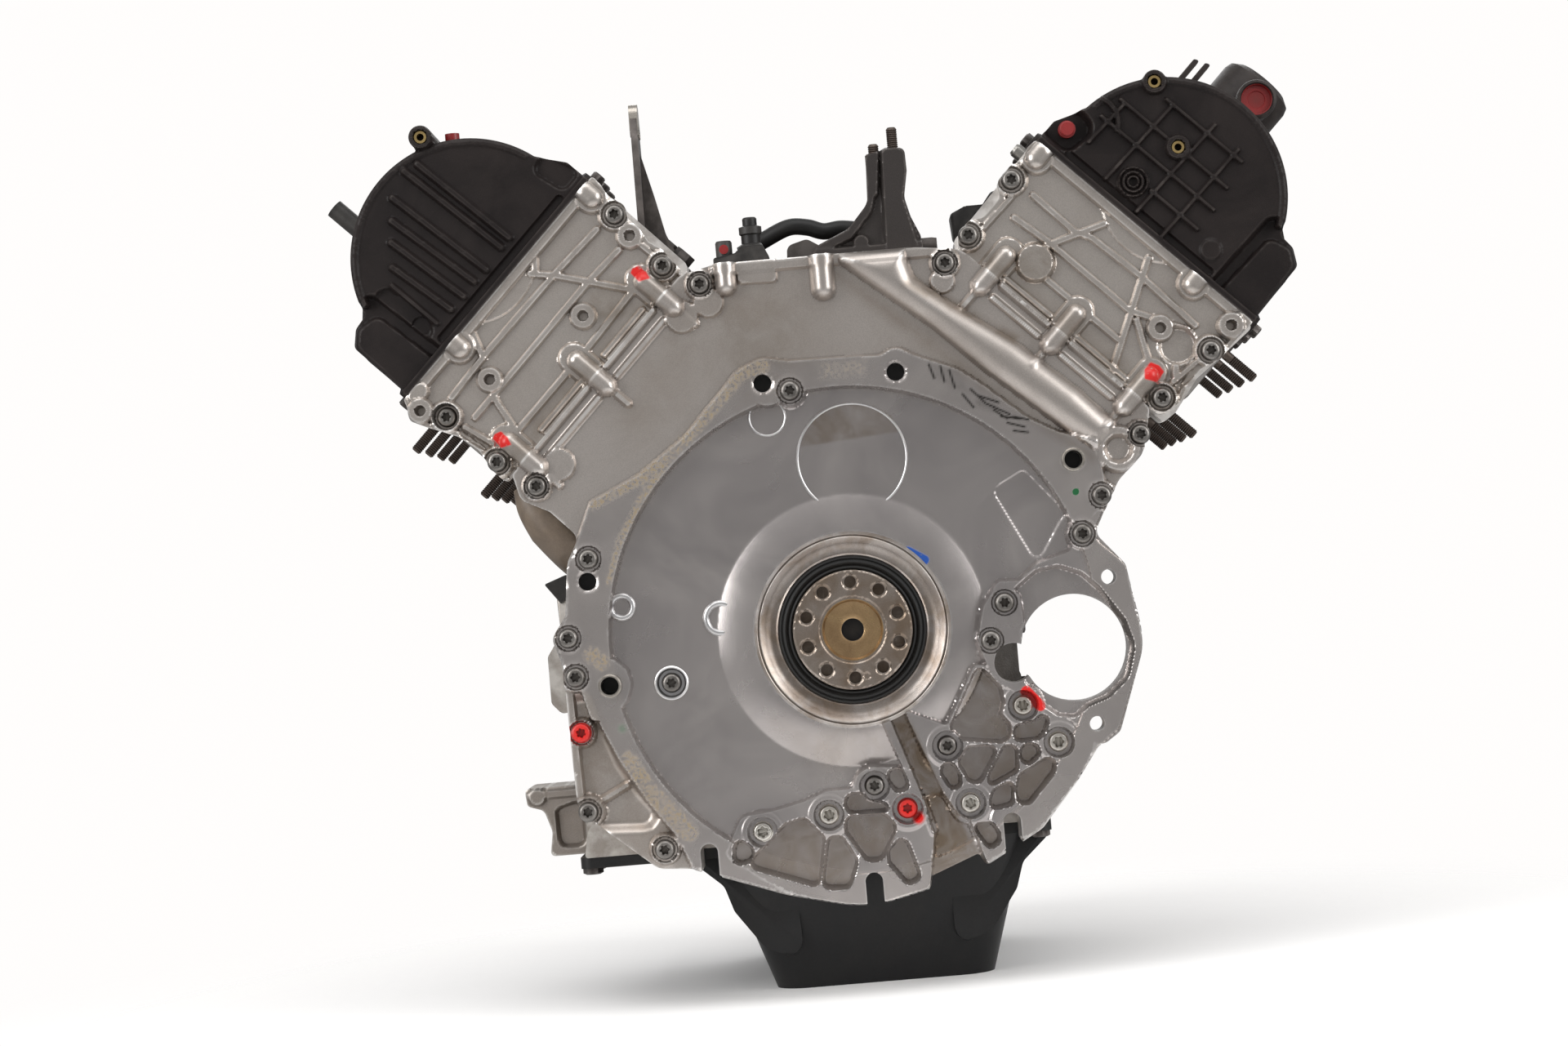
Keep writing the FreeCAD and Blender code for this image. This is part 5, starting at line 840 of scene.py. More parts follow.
def upper_face(side):
    face = CastFace(Patch(UPPER_EDGE[side]), 0.9, 0.0)
    face.pad(Joined(*[Bar(*a, *b, 3.0) for a, b in ring_pairs(UPPER_EDGE[side]) if not (a[1] < 260 and b[1] < 260)]), 3.4, 1.6)
    face.pad(Bar(-130, 352, 90, 352, 7.0), 4.5, 1.8)
    face.pad(Disc(-27, 380, 46), 1.4, 1.4)
    for line in UPPER_RIBS[side]:
        face.pad(Joined(*[Bar(*a, *b, 1.7) for a, b in zip(line, line[1:])]), 3.2, 1.4)
    for v0, v1 in ((-78, -36), (-12, 34)):
        face.pad(Bar(v0, 262, v1, 262, 1.3), 4.2, 1.6)
        face.pad(Bar(v0, 258, v1, 258, 1.0), 3.0, 1.4)
    outboard = 67 if side > 0 else 70
    face.pad(Bar(outboard - 2, 305, outboard - 6, 282, 1.4), 4.2, 1.6)
    face.pocket(Bar(outboard + 2, 303, outboard - 1, 283, 1.8), 1.2, 1.4)
    face.pad(Bar(-112, 309, -113, 280, 1.4), 4.2, 1.6)
    for v, u in ((-116, 342), (27, 345)):
        face.pad(Disc(v, u, 10.5), 5.0, 2.0)
        face.crown(Bar(v, u - 1, v, u + 5, 8), 12)
    face.pad(Bar(69, 346, 73, 346, 5), 6, 2.0)
    if side > 0:
        face.pad(Disc(-69, 284, 12.0), 6.5, 3.0)
        face.pad(Disc(47, 304, 13.5), 3.6, 1.6)
        face.pocket(Disc(47, 304, 11.4), -2.5, 4.0)
        face.pad(Bar(56, 291, 60, 286, 2), 4, 1.4)
    for v, u, radius, top in UPPER_HOLLOW_BOSSES[side]:
        face.pad(Disc(v, u, radius), top, 1.8)
        face.pocket(Disc(v, u, 3.2), -6, 0.8)
    for bank, v, u in UPPER_SCREWS:
        if bank == side:
            face.pad(Disc(v, u, 10.5), 5.2, 2.0)
            deep = -5.0 if (bank, v) == (-1, 71) else 2.4
            face.pocket(Disc(v, u, 8.6), deep, 1.2)
    for bank, v in BARRELS:
        if bank == side:
            face.pad(Bar(v, 256, v, 277, 10), 3.2, 2.0)
            face.crown(Bar(v, 240, v, 274, 7.6), 13)
            face.pad(Bar(v - 8, 259, v + 8, 259, 0.6), 7, 1.2)
    paint = {1: [(46, 279, 6)], -1: [(-96, 281, 4), (58, 280, 4)]}
    for v, u, radius in paint[side]:
        face.mask("red_paint", Patch([(v - radius, u - 4), (v - 2, u - 9), (v + radius, u - 5), (v + radius - 1, u + 4),
                                      (v, u + 5), (v - radius, u + 3)]), 2.0, 2.0)
    face.mask("stain_and_shade", Patch([(-120, 257), (70, 257), (70, 272), (-120, 268)]), 0.55, 12.0)
    face.mask("stain_and_shade", Patch([(50, 257), (80, 257), (80, 300), (66, 300)]), 0.6, 12.0)
    face.mask("stain_and_shade", Disc(-69, 284, 16), 0.6, 8.0)
    return face


def ring_pairs(points):
    flat = [p[:2] for p in points]
    return list(zip(flat, flat[1:] + flat[:1]))


# Cam covers: heights from the plane y = 12; the arched end is 4 mm nearer than the upper covers

DOME = (-27, 380)
COIL_RINGS = [(10.6, 7.2), (9.0, 5.0), (7.4, 7.2), (5.6, 5.0), (4.2, 7.4), (2.6, 4.0)]
CAM_GRID = [(-72, 433, -3, 433), (-97, 412, 1, 412), (-100, 394, 4, 394), (-62, 376, 4, 376), (-95, 374, -93, 412),
            (-69, 362, -66, 433), (-37, 358, -34, 441), (-12, 356, -10, 438)]
CAM_FINS = [(-44, 456, -47, 368), (-54, 452, -56, 368), (-24, 450, -28, 366), (-11, 440, -16, 367), (1, 430, -3, 366),
            (14, 418, 10, 367)]
INSERTS = {1: [(-87, 437), (-44, 412)], -1: [(-70, 463)]}


def arc_points(centre, radius, start, end, count):
    steps = [math.radians(start + (end - start) * i / (count - 1)) for i in range(count)]
    return [(centre[0] + radius * math.cos(a), centre[1] + radius * math.sin(a)) for a in steps]


def dome_edge(inset, foot=351.0):
    arch = arc_points(DOME, 86 - inset, 172, 22, 48)
    return arch + [(65 - inset, 411 - inset, 6), (76 - inset, 403 - inset, 5), (77 - inset, foot), (-124 + inset, foot),
                   (-124 + inset, 371 - inset, 5)]


def cam_face(side):
    bumps = [Disc(v, u, 8.4) for v, u in INSERTS[side] if math.hypot(v - DOME[0], u - DOME[1]) > 70]
    roots = [Bar(b.x, b.z, b.x + 0.12 * (DOME[0] - b.x), b.z + 0.12 * (DOME[1] - b.z), 7.0) for b in bumps]
    face = CastFace(Joined(Patch(dome_edge(0)), *bumps, *roots), 0.95, 0.0)
    face.pad(Patch(dome_edge(1.5, 340)), 4.0, 4.5)
    face.pocket(Patch([(38, 361, 3), (40, 417, 6), (70, 420), (90, 400), (90, 340), (38, 340)]), -4.0, 4.0)
    face.pad(Patch([(46, 351), (49, 404, 6), (64, 407, 5), (73, 400, 5), (75, 351)]), 0.5, 3.0)
    face.pad(Bar(-122, 352, 78, 352, 3.2), 6.5, 1.5)
    face.pocket(Bar(-100, 358.5, 30, 358.5, 2.0), 1.5, 1.4)
    face.pad(Joined(*[Bar(*a, *b, 1.2) for a, b in zip(arc_points(DOME, 82.5, 168, 26, 40), arc_points(DOME, 82.5, 168, 26, 40)[1:])]),
             5.2, 1.5)
    if side > 0:
        for v0, u0, v1, u1 in CAM_GRID:
            face.pad(Bar(v0, u0, v1, u1, 0.8), 7.0, 1.4)
        face.pocket(Disc(-52.5, 372.5, 12.5), 4.0, 1.0)
        for radius, level in COIL_RINGS:
            if level > 6:
                face.pad(Disc(-52.5, 372.5, radius), level, 0.9)
            else:
                face.pocket(Disc(-52.5, 372.5, radius), level, 0.9)
        face.pad(Patch(arc_points((-102, 386), 20, 20, 110, 10) + arc_points((-102, 386), 17.5, 110, 20, 10)), 7.0, 1.2)
        face.pocket(Patch([(-124, 361, 4), (-103, 361, 6), (-99, 383, 8), (-113, 386, 6), (-124, 378, 3)]), -7, 4.0)
        face.pad(Disc(21, 371, 6.5), 6.0, 2.0)
    else:
        for v0, u0, v1, u1 in CAM_FINS:
            face.pad(Bar(v0, u0, v1, u1, 1.4), 7.5, 2.2)
        face.pocket(Patch([(29, 412, 6), (26, 392), (26, 380, 8), (31, 368, 4), (46, 366, 8), (49, 395, 8), (40, 414, 8)]), 0.0, 3.0)
        face.pad(Bar(24, 368, 24, 410, 1.0), 6.5, 1.6)
        face.pocket(Disc(33, 376, 6.0), -1.5, 1.0)
        face.pocket(Patch([(-124, 361, 4), (-108, 361, 5), (-104, 386, 8), (-116, 386, 4)]), 0, 3.0)
    for v, u in INSERTS[side]:
        face.pad(Disc(v, u, 8.0), 8.5, 1.6)
        face.pocket(Disc(v, u, 4.4), -6, 0.7)
    return face


# Lids that the cam covers' arched ends close over: v and u of the long box in front of them

def cam_box(side):
    """The long moulded box over the camshafts, with a rounded top and its far end drawn in slightly."""
    top = [(-121, 352), (-121, 368, 8), (-96, 433, 22), (35, 433, 24), (73, 403, 14), (73, 352)]
    shape = bmesh.new()
    stations = [74, 78, 384, 388]
    insets = [0, 0, 0, 3]
    outline = rounded(top)
    rows = []
    for y, inset in zip(stations, insets):
        rows.append([])
        for v, u in outline:
            pulled_v = v - math.copysign(min(inset, abs(v)), v)
            pulled_u = min(u, 433 - inset)
            x, z = bank_point(side, pulled_v, pulled_u)
            rows[-1].append(shape.verts.new(Vector((x, y, z)) * MM))
    for low, high in zip(rows, rows[1:]):
        for i in range(len(outline)):
            j = (i + 1) % len(outline)
            shape.faces.new((low[i], low[j], high[j], high[i]))
    shape.faces.new(rows[0])
    shape.faces.new(list(reversed(rows[-1])))
    bmesh.ops.recalc_face_normals(shape, faces=shape.faces)
    mesh = bpy.data.meshes.new("cam box")
    shape.to_mesh(mesh)
    shape.free()
    return mesh


SIDE_NAMES = {1: "right", -1: "left"}
for side, label in SIDE_NAMES.items():
    cover = upper_face(side).make(f"{label} upper cover face", bank_facing(side, 12), -13.5)
    dressed(cover, FINISH["cast_upper_cover"], "block", "cast_upper_cover", f"{label}_upper_timing_cover")
    behind = part_beyond(f"{label}_upper_timing_cover", f"{label} upper cover back", 25.5)
    dressed(behind, FINISH["cast_upper_cover"], "block", "cast_upper_cover", f"{label}_upper_timing_cover")
    arch = cam_face(side).make(f"{label} cam cover arch", bank_facing(side, 12), -62)
    dressed(arch, FINISH["cover_plastic"], "block", "cover_plastic", f"{label}_cam_cover")
    box = finished(f"{label} cam cover box", cam_box(side), 30)
    dressed(box, FINISH["cover_plastic"], "block", "cover_plastic", f"{label}_cam_cover")


# Turned parts at the crank


def turned(name, profile, steps=96, closed=True):
    """A ring or disc turned about the crank's axis from points (radius, y)."""
    shape = bmesh.new()
    rows = []
    for radius, y in profile:
        if radius < 1e-6:
            rows.append([shape.verts.new((0, y * MM, 0))] * steps)
            continue
        rows.append([shape.verts.new((radius * math.cos(a) * MM, y * MM, radius * math.sin(a) * MM))
                     for a in (2 * math.pi * i / steps for i in range(steps))])
    pairs = list(zip(rows, rows[1:] + rows[:1])) if closed else list(zip(rows, rows[1:]))
    for low, high in pairs:
        for i in range(steps):
            j = (i + 1) % steps
            corners = [low[i], low[j], high[j], high[i]]
            unique = list(dict.fromkeys(corners))
            if len(unique) > 2:
                shape.faces.new(unique)
    bmesh.ops.recalc_face_normals(shape, faces=shape.faces)
    mesh = bpy.data.meshes.new(name)
    shape.to_mesh(mesh)
    shape.free()
    return finished(name, mesh, 30)


housing = turned("seal housing ring", [(70.2, 5.75), (68.1, 5.35), (67.7, 5.6), (67.4, 6.8), (66.8, 6.8), (66.5, 5.4), (66.1, 5.1),
                                       (65.2, 5.4), (62.0, 8.6), (57.5, 10.4), (54.6, 10.7), (53.4, 9.9), (52.7, 10.2),
                                       (52.7, 25.5), (70.2, 25.5)], 144)
dressed(housing, FINISH["seal_housing"], "block", "cast_plate", "lower_timing_cover")
seal = turned("crank seal lips", [(43.2, 5.6), (44.2, 4.6), (45.2, 4.9), (46.0, 6.2), (46.9, 5.0), (48.0, 4.2), (49.4, 4.6),
                                  (50.2, 5.6), (51.0, 4.8), (52.0, 5.0), (52.4, 6.0), (52.4, 16), (43.2, 16)])
dressed(seal, FINISH["seal_rubber"], "block", "seal_rubber", "crank_rear_seal")


# Fasteners, set out with Geometry Nodes on marked places


def lobed_head(name, profile, recess, floor, steps=36, lobes=6):
    """A screw head about +Z from points (radius, height), with a six-lobed recess."""
    shape = bmesh.new()
    rows = []
    angles = [2 * math.pi * i / steps for i in range(steps)]
    for radius, level in profile:
        row = []
        for a in angles:
            row.append(shape.verts.new(Vector((radius * math.cos(a), radius * math.sin(a), level)) * MM))
        rows.append(row)
    for grow, level in ((1.12, profile[-1][1] - 0.1), (1.0, profile[-1][1] - 0.6), (0.94, floor)):
        row = []
        for a in angles:
            wide = recess * grow * (1 + 0.14 * math.cos(lobes * a))
            row.append(shape.verts.new(Vector((wide * math.cos(a), wide * math.sin(a), level)) * MM))
        rows.append(row)
    for low, high in zip(rows, rows[1:]):
        for i in range(steps):
            j = (i + 1) % steps
            shape.faces.new((low[i], low[j], high[j], high[i]))
    shape.faces.new(rows[-1])
    shape.faces.new(list(reversed(rows[0])))
    bmesh.ops.recalc_face_normals(shape, faces=shape.faces)
    mesh = bpy.data.meshes.new(name)
    shape.to_mesh(mesh)
    shape.free()
    return mesh


def ridged_rod(name, radius, length, pitch, threaded, steps=20):
    """A stud along +Z from the origin, threaded over its outer part, with a blunt end."""
    levels = [(radius * 0.96, 0.0), (radius * 0.96, length - threaded)]
    z = length - threaded
    while z + pitch < length - 1.0:
        levels += [(radius * 0.88, z + pitch * 0.25), (radius, z + pitch * 0.75)]
        z += pitch
    levels += [(radius * 0.9, length - 1.0), (radius * 0.7, length)]
    shape = bmesh.new()
    rows = [[shape.verts.new(Vector((r * math.cos(a), r * math.sin(a), h)) * MM)
             for a in (2 * math.pi * i / steps for i in range(steps))] for r, h in levels]
    for low, high in zip(rows, rows[1:]):
        for i in range(steps):
            j = (i + 1) % steps
            shape.faces.new((low[i], low[j], high[j], high[i]))
    shape.faces.new(rows[-1])
    shape.faces.new(list(reversed(rows[0])))
    bmesh.ops.recalc_face_normals(shape, faces=shape.faces)
    mesh = bpy.data.meshes.new(name)
    shape.to_mesh(mesh)
    shape.free()
    return mesh


def placing_tree():
    """Puts a part on every point along the point's own direction, turned by a random angle about it."""
    tree = bpy.data.node_groups.new("parts on places", "GeometryNodeTree")
    for label, kind in (("Places", "NodeSocketGeometry"), ("Part", "NodeSocketObject"), ("Seed", "NodeSocketInt"),
                        ("Turn", "NodeSocketFloat"), ("Material", "NodeSocketMaterial")):
        tree.interface.new_socket(label, in_out="INPUT", socket_type=kind)
    tree.interface.new_socket("Parts", in_out="OUTPUT", socket_type="NodeSocketGeometry")
    w = Wires(tree)
    given = w.add("NodeGroupInput").outputs
    source = w.add("GeometryNodeObjectInfo", {"Object": given["Part"]}).outputs["Geometry"]
    along = w.add("GeometryNodeInputNamedAttribute", {"Name": "along"}, data_type="FLOAT_VECTOR").outputs[0]
    aimed = w.add("FunctionNodeAlignRotationToVector", {"Vector": along}, axis="Z").outputs[0]
    share = w.add("FunctionNodeRandomValue", {2: 0.0, 3: given["Turn"], "Seed": given["Seed"]}, data_type="FLOAT").outputs[1]
    spin = w.add("ShaderNodeCombineXYZ", {2: share}).outputs[0]
    rotation = w.add("FunctionNodeRotateRotation", {0: aimed, 1: spin}, rotation_space="LOCAL").outputs[0]
    points = w.add("GeometryNodeMeshToPoints", {0: given["Places"]}).outputs[0]
    placed = w.add("GeometryNodeInstanceOnPoints", {"Points": points, "Instance": source, "Rotation": rotation}).outputs[0]
    whole = w.add("GeometryNodeRealizeInstances", {0: placed}).outputs[0]
    dressed_up = w.add("GeometryNodeSetMaterial", {"Geometry": whole, "Material": given["Material"]}).outputs[0]
    tree.links.new(dressed_up, w.add("NodeGroupOutput").inputs[0])
    return tree


PLACING = placing_tree()


def on_places(name, part, places, material, seed, angle=30.0):
    """One object made of a part at each of the places, given as (point in mm, direction)."""
    spots = bpy.data.meshes.new("spots")
    spots.from_pydata([Vector(p) * MM for p, _ in places], [], [])
    along = spots.attributes.new("along", "FLOAT_VECTOR", "POINT")
    along.data.foreach_set("vector", [c for _, direction in places for c in direction])
    holder = bpy.data.objects.new("spots", spots)
    bpy.context.scene.collection.objects.link(holder)
    source = bpy.data.objects.new("part", part)
    bpy.context.scene.collection.objects.link(source)
    modifier = holder.modifiers.new("places", "NODES")
    modifier.node_group = PLACING
    values = {"Part": source, "Seed": seed, "Turn": 2 * math.pi, "Material": material}
    for item in PLACING.interface.items_tree:
        if item.item_type == "SOCKET" and item.in_out == "INPUT" and item.name in values:
            modifier[item.identifier] = values[item.name]
    holder.update_tag()
    bpy.context.view_layer.update()
    evaluated = holder.evaluated_get(bpy.context.evaluated_depsgraph_get())
    mesh = bpy.data.meshes.new_from_object(evaluated)
    mesh.name = name
    bpy.data.objects.remove(holder)
    bpy.data.objects.remove(source)
    if "along" in mesh.attributes:
        mesh.attributes.remove(mesh.attributes["along"])
    return finished(name, mesh, angle)


REARWARD = (0.0, -1.0, 0.0)
PAN_HEAD = [(7.2, 0.0), (7.2, 1.0), (6.9, 1.5), (6.6, 4.6), (6.1, 5.8), (5.2, 6.5), (3.9, 6.7)]
CAP_HEAD = [(7.4, 0.0), (7.4, 0.8), (6.5, 1.2), (6.5, 5.4), (6.2, 6.2), (5.6, 6.6), (4.4, 6.7)]
BIG_HEAD = [(8.0, 0.0), (8.0, 1.6), (7.4, 2.0), (7.2, 6.6), (6.7, 7.6), (5.8, 8.0), (4.2, 8.0)]


def plate_seat(x, z):
    """Height above the recess floor of the face that a plate screw sits on."""
    if (x, z) in COUNTERBORES:
        return -1.0
    if (x, z) == (-132, -27):
        return -4.0
    if (x, z) == (-199, -57):
        return 2.0
    if (x, z) in ((109, 10), (97, -16)):
        return 7.4
    return 10.6


dark_places = [((x, 12 - plate_seat(x, z), z), REARWARD) for x, z in DARK_SCREWS]
for side, v, u in SEAM_SCREWS:
    x, z = bank_point(side, v, u)
    dark_places.append(((x, 7.0, z), REARWARD))
for side, v, u in UPPER_SCREWS:
    x, z = bank_point(side, v, u)
    dark_places.append(((x, 17.0 if (side, v) == (-1, 71) else 9.6, z), REARWARD))
dark_heads = on_places("dark cover screw heads", lobed_head("pan head", PAN_HEAD, 2.9, 2.4), dark_places,
                       FINISH["dark_screw_steel"], 3)
dressed(dark_heads, FINISH["dark_screw_steel"], "block", "dark_screw_steel", "dark_cover_screws")
bright_heads = on_places("bright cover screw heads", lobed_head("cap head", CAP_HEAD, 3.3, 1.6),
                         [((x, 12 - plate_seat(x, z), z), REARWARD) for x, z in BRIGHT_SCREWS],
                         FINISH["bright_screw_steel"], 5)
dressed(bright_heads, FINISH["bright_screw_steel"], "block", "bright_screw_steel", "bright_cover_screws")
red_heads = on_places("red marked screw heads", lobed_head("marked head", CAP_HEAD, 3.1, 1.6),
                      [((x, 12 - plate_seat(x, z), z), REARWARD) for x, z in RED_SCREWS],
                      FINISH["red_painted_screw"], 7)
dressed(red_heads, FINISH["red_painted_screw"], "block", "bright_screw_steel", "bright_cover_screws")

stud_places = []
for side in (1, -1):
    for u, seat in ((330, 74), (270, 67)):
        for i in range(4):
            x, z = bank_point(side, seat - 8, u)
            stud_places.append(((x, 85 + 75 * i, z), (side * HALF, 0.0, -HALF)))


# Round and turned parts on other axes


def lathe(name, profile, origin, direction, steps=48, angle=30):
    """A part turned about a line from an origin in mm: points (radius, distance along the line)."""
    axis = Vector(direction).normalized()
    side_axis = axis.orthogonal().normalized()
    third = axis.cross(side_axis)
    shape = bmesh.new()
    rows = []
    for radius, far in profile:
        centre = Vector(origin) + axis * far
        if radius < 1e-6:
            rows.append([shape.verts.new(centre * MM)] * steps)
        else:
            rows.append([shape.verts.new((centre + side_axis * radius * math.cos(a) + third * radius * math.sin(a)) * MM)
                         for a in (2 * math.pi * i / steps for i in range(steps))])
    for low, high in zip(rows, rows[1:]):
        for i in range(steps):
            j = (i + 1) % steps
            unique = list(dict.fromkeys([low[i], low[j], high[j], high[i]]))
            if len(unique) > 2:
                shape.faces.new(unique)
    bmesh.ops.recalc_face_normals(shape, faces=shape.faces)
    mesh = bpy.data.meshes.new(name)
    shape.to_mesh(mesh)
    shape.free()
    return finished(name, mesh, angle)


def bank_direction(side, v, u):
    x, z = bank_point(side, v, u)
    return x, 0.0, z


def bank_spot(side, v, u, y):
    x, z = bank_point(side, v, u)
    return x, y, z


def pipe(name, path, radius, steps=20, angle=40):
    """A round tube with closed ends along points in mm; radius is a number or one for each point."""
    points = [Vector(p) for p in path]
    radii = radius if isinstance(radius, (list, tuple)) else [radius] * len(points)
    shape = bmesh.new()
    rows = []
    frame_axis = None
    for i, point in enumerate(points):
        ahead = (points[min(i + 1, len(points) - 1)] - points[max(i - 1, 0)]).normalized()
        if frame_axis is None:
            frame_axis = ahead.orthogonal().normalized()
        frame_axis = (frame_axis - ahead * frame_axis.dot(ahead)).normalized()
        other = ahead.cross(frame_axis)
        rows.append([shape.verts.new((point + (frame_axis * math.cos(a) + other * math.sin(a)) * radii[i]) * MM)
                     for a in (2 * math.pi * k / steps for k in range(steps))])
    for low, high in zip(rows, rows[1:]):
        for i in range(steps):
            j = (i + 1) % steps
            shape.faces.new((low[i], low[j], high[j], high[i]))
    shape.faces.new(rows[0])
    shape.faces.new(list(reversed(rows[-1])))
    bmesh.ops.recalc_face_normals(shape, faces=shape.faces)
    mesh = bpy.data.meshes.new(name)
    shape.to_mesh(mesh)
    shape.free()
    return finished(name, mesh, angle)


def curve(points, steps=8):
    """Points of a smooth line through the given ones."""
    knots = [Vector(p) for p in points]
    knots = [2 * knots[0] - knots[1]] + knots + [2 * knots[-1] - knots[-2]]
    out = []
    for i in range(1, len(knots) - 2):
        a, b, c, d = knots[i - 1:i + 3]
        for k in range(steps):
            t = k / steps
            out.append(0.5 * ((2 * b) + (c - a) * t + (2 * a - 5 * b + 4 * c - d) * t * t + (3 * b - a - 3 * c + d) * t ** 3))
    out.append(knots[-2])
    return out


# Crank flange and the tinted recess in its middle


def flange_face():
    face = CastFace(Disc(0, 0, 42.3), 0.75, 0.2)
    face.pad(Disc(0, 0, 41.4), 1.3, 0.9)
    face.pocket(Disc(0, 0, 23.4), 0.4, 1.0)
    for i in range(10):
        angle = math.radians(1.5 + 36 * i)
        x, z = 34 * math.sin(angle), 34 * math.cos(angle)
        face.pocket(Disc(x, z, 5.2), 0.3, 0.9)
        face.hole(Disc(x, z, 4.3))
    face.pocket(Disc(7.5, -33.5, 2.2), 0.7, 0.5)
    face.hole(Disc(0, 0, 22))
    return face


flange = flange_face().make("crank flange face", facing(0), 0.05)
dressed(flange, FINISH["forged_steel"], "crank", "forged_steel")
hub = turned("crank hub recess", [(21.95, -0.6), (21.2, -0.5), (20.6, 0.5), (20.0, 1.2), (18.6, 1.4), (12.0, 2.3), (9.6, 2.4),
                                  (8.1, 2.95), (21.95, 2.95)])
dressed(hub, FINISH["flange_bronze"], "crank", "forged_steel")
# Painted shade: a black disc inside the crank's pilot bore
pilot_hole_shade_disc = lathe("pilot hole shade", [(0, 9), (7.9, 9), (7.95, 3), (7.99, 3), (7.99, 12), (0, 12)], (0, 0, 0), (0, 1, 0), 48)
dressed(pilot_hole_shade_disc, FINISH["black_pan"], "crank", "forged_steel")


FLOOR_RINGS = [((-163, 30), [(5.6, 0), (6.4, 1.6), (7.4, 2.2), (8.8, 2.2), (9.8, 1.4), (10.2, 0)]),
               ((-93, 16), [(8.2, 0), (9.0, 1.5), (10.0, 2.0), (11.2, 2.0), (12.4, 1.2), (13.0, 0)]),
               ((10, 122), [(38.0, 0), (38.4, 0.6), (39.2, 0.7), (39.9, 0)]),
               ((-48, 156), [(12.0, 0), (12.4, 0.6), (13.2, 0.7), (13.8, 0)])]
for number, ((x, z), profile) in enumerate(FLOOR_RINGS):
    ring = lathe(f"floor ring {number + 1}", profile, (x, 12.05, z), REARWARD, 96, 50)
    dressed(ring, FINISH["bright_casting"], "block", "cast_plate", "lower_timing_cover")
sunk = lathe("sunk screw seat", [(0, -12), (11.05, -12), (11.05, 0), (12.2, 0.0), (12.2, 0.9), (11.4, 1.4), (10.6, 1.2), (10.2, 0.4),
                                 (9.9, -3.4), (9.2, -4), (0, -4)], (-132, 12.05, -27), REARWARD, 72, 40)
dressed(sunk, FINISH["bright_casting"], "block", "cast_plate", "lower_timing_cover")
for number, (x, z, radius) in enumerate(((-185, 50, 6.3), (-49, 180, 6.3), (46, 180, 6.3), (166, 107, 6.2), (-175, -25, 6.2))):
    shade = lathe(f"bell hole shade {number + 1}", [(0, 0), (radius, 0), (radius, 2), (0, 2)], (x, 11.5, z), (0, 1, 0), 32)
    dressed(shade, FINISH["black_pan"], "block", "cast_iron_block", "lower_timing_cover")

neck_profile = [(0, -4), (24, -4), (24, 30), (25.5, 33), (25.5, 40), (28.5, 42), (28.5, 66), (27, 71), (21, 75), (0, 76)]
neck = lathe("filler neck housing", neck_profile, bank_spot(1, -28, 436, 140), bank_direction(1, 0, 1), 56)
dressed(neck, FINISH["cover_plastic"], "block", "cover_plastic", "oil_filler_neck")
mouth = lathe("filler mouth", [(11.2, 16), (11.6, 0.9), (12.4, 0.0), (14.0, 0.4), (14.6, 1.6), (14.6, 7.5), (13.6, 9), (13.6, 62),
                               (0, 62)], bank_spot(1, -23, 487, 74), (0.0, 1.0, 0.0), 56)
dressed(mouth, FINISH["cover_plastic"], "block", "cover_plastic", "oil_filler_neck")
plug = lathe("filler plug", [(0, 5.5), (6.2, 5.5), (6.6, 4.8), (10.4, 4.6), (11.0, 1.5), (11.35, 1.2), (11.35, 16), (0, 16)],
             bank_spot(1, -23, 487, 74), (0.0, 1.0, 0.0), 48)
dressed(plug, FINISH["plug_red"], "block", "plug_red", "sealing_plugs")
shoulder = lathe("shoulder plug", [(0, 0), (4.6, 0), (5.4, 0.8), (5.4, 2.4), (3.6, 2.6), (3.6, 3.6), (6.2, 4.0), (6.2, 18), (0, 18)],
                 bank_spot(1, -113, 372, 9), (0.0, 1.0, 0.0), 32)
dressed(shoulder, FINISH["plug_red"], "block", "plug_red", "sealing_plugs")
left_dab = lathe("left marked plug", [(0, 0), (4.6, 0.4), (5.2, 3), (5.2, 10), (0, 10)], bank_spot(-1, -80, 444, 30),
                 bank_direction(-1, -0.7, 0.7), 28)
dressed(left_dab, FINISH["plug_red"], "block", "plug_red", "sealing_plugs")

stud_rods = on_places("exhaust stud rods", ridged_rod("stud", 3.9, 42, 1.6, 22), [p for p in stud_places], FINISH["dark_stud_steel"], 11)
dressed(stud_rods, FINISH["dark_stud_steel"], "block", "dark_stud_steel", "exhaust_studs")


# Cast relief on the sides, ends and top


def slab(name, outline, near, far, place, bevel=1.0, angle=32):
    """A flat piece over an outline between two heights, with rounded rims."""
    shape = bmesh.new()
    points = rounded(outline)
    low = [shape.verts.new(Vector(place(a, b, near)) * MM) for a, b in points]
    high = [shape.verts.new(Vector(place(a, b, far)) * MM) for a, b in points]
    for i in range(len(points)):
        j = (i + 1) % len(points)
        shape.faces.new((low[i], low[j], high[j], high[i]))
    caps = [shape.faces.new(list(reversed(low))), shape.faces.new(high)]
    rims = [edge for cap in caps for edge in cap.edges]
    bmesh.ops.bevel(shape, geom=rims, offset=bevel * MM, segments=2, profile=0.6, affect="EDGES", clamp_overlap=True)
    bmesh.ops.recalc_face_normals(shape, faces=shape.faces)
    mesh = bpy.data.meshes.new(name)
    shape.to_mesh(mesh)
    shape.free()
    return finished(name, mesh, angle)


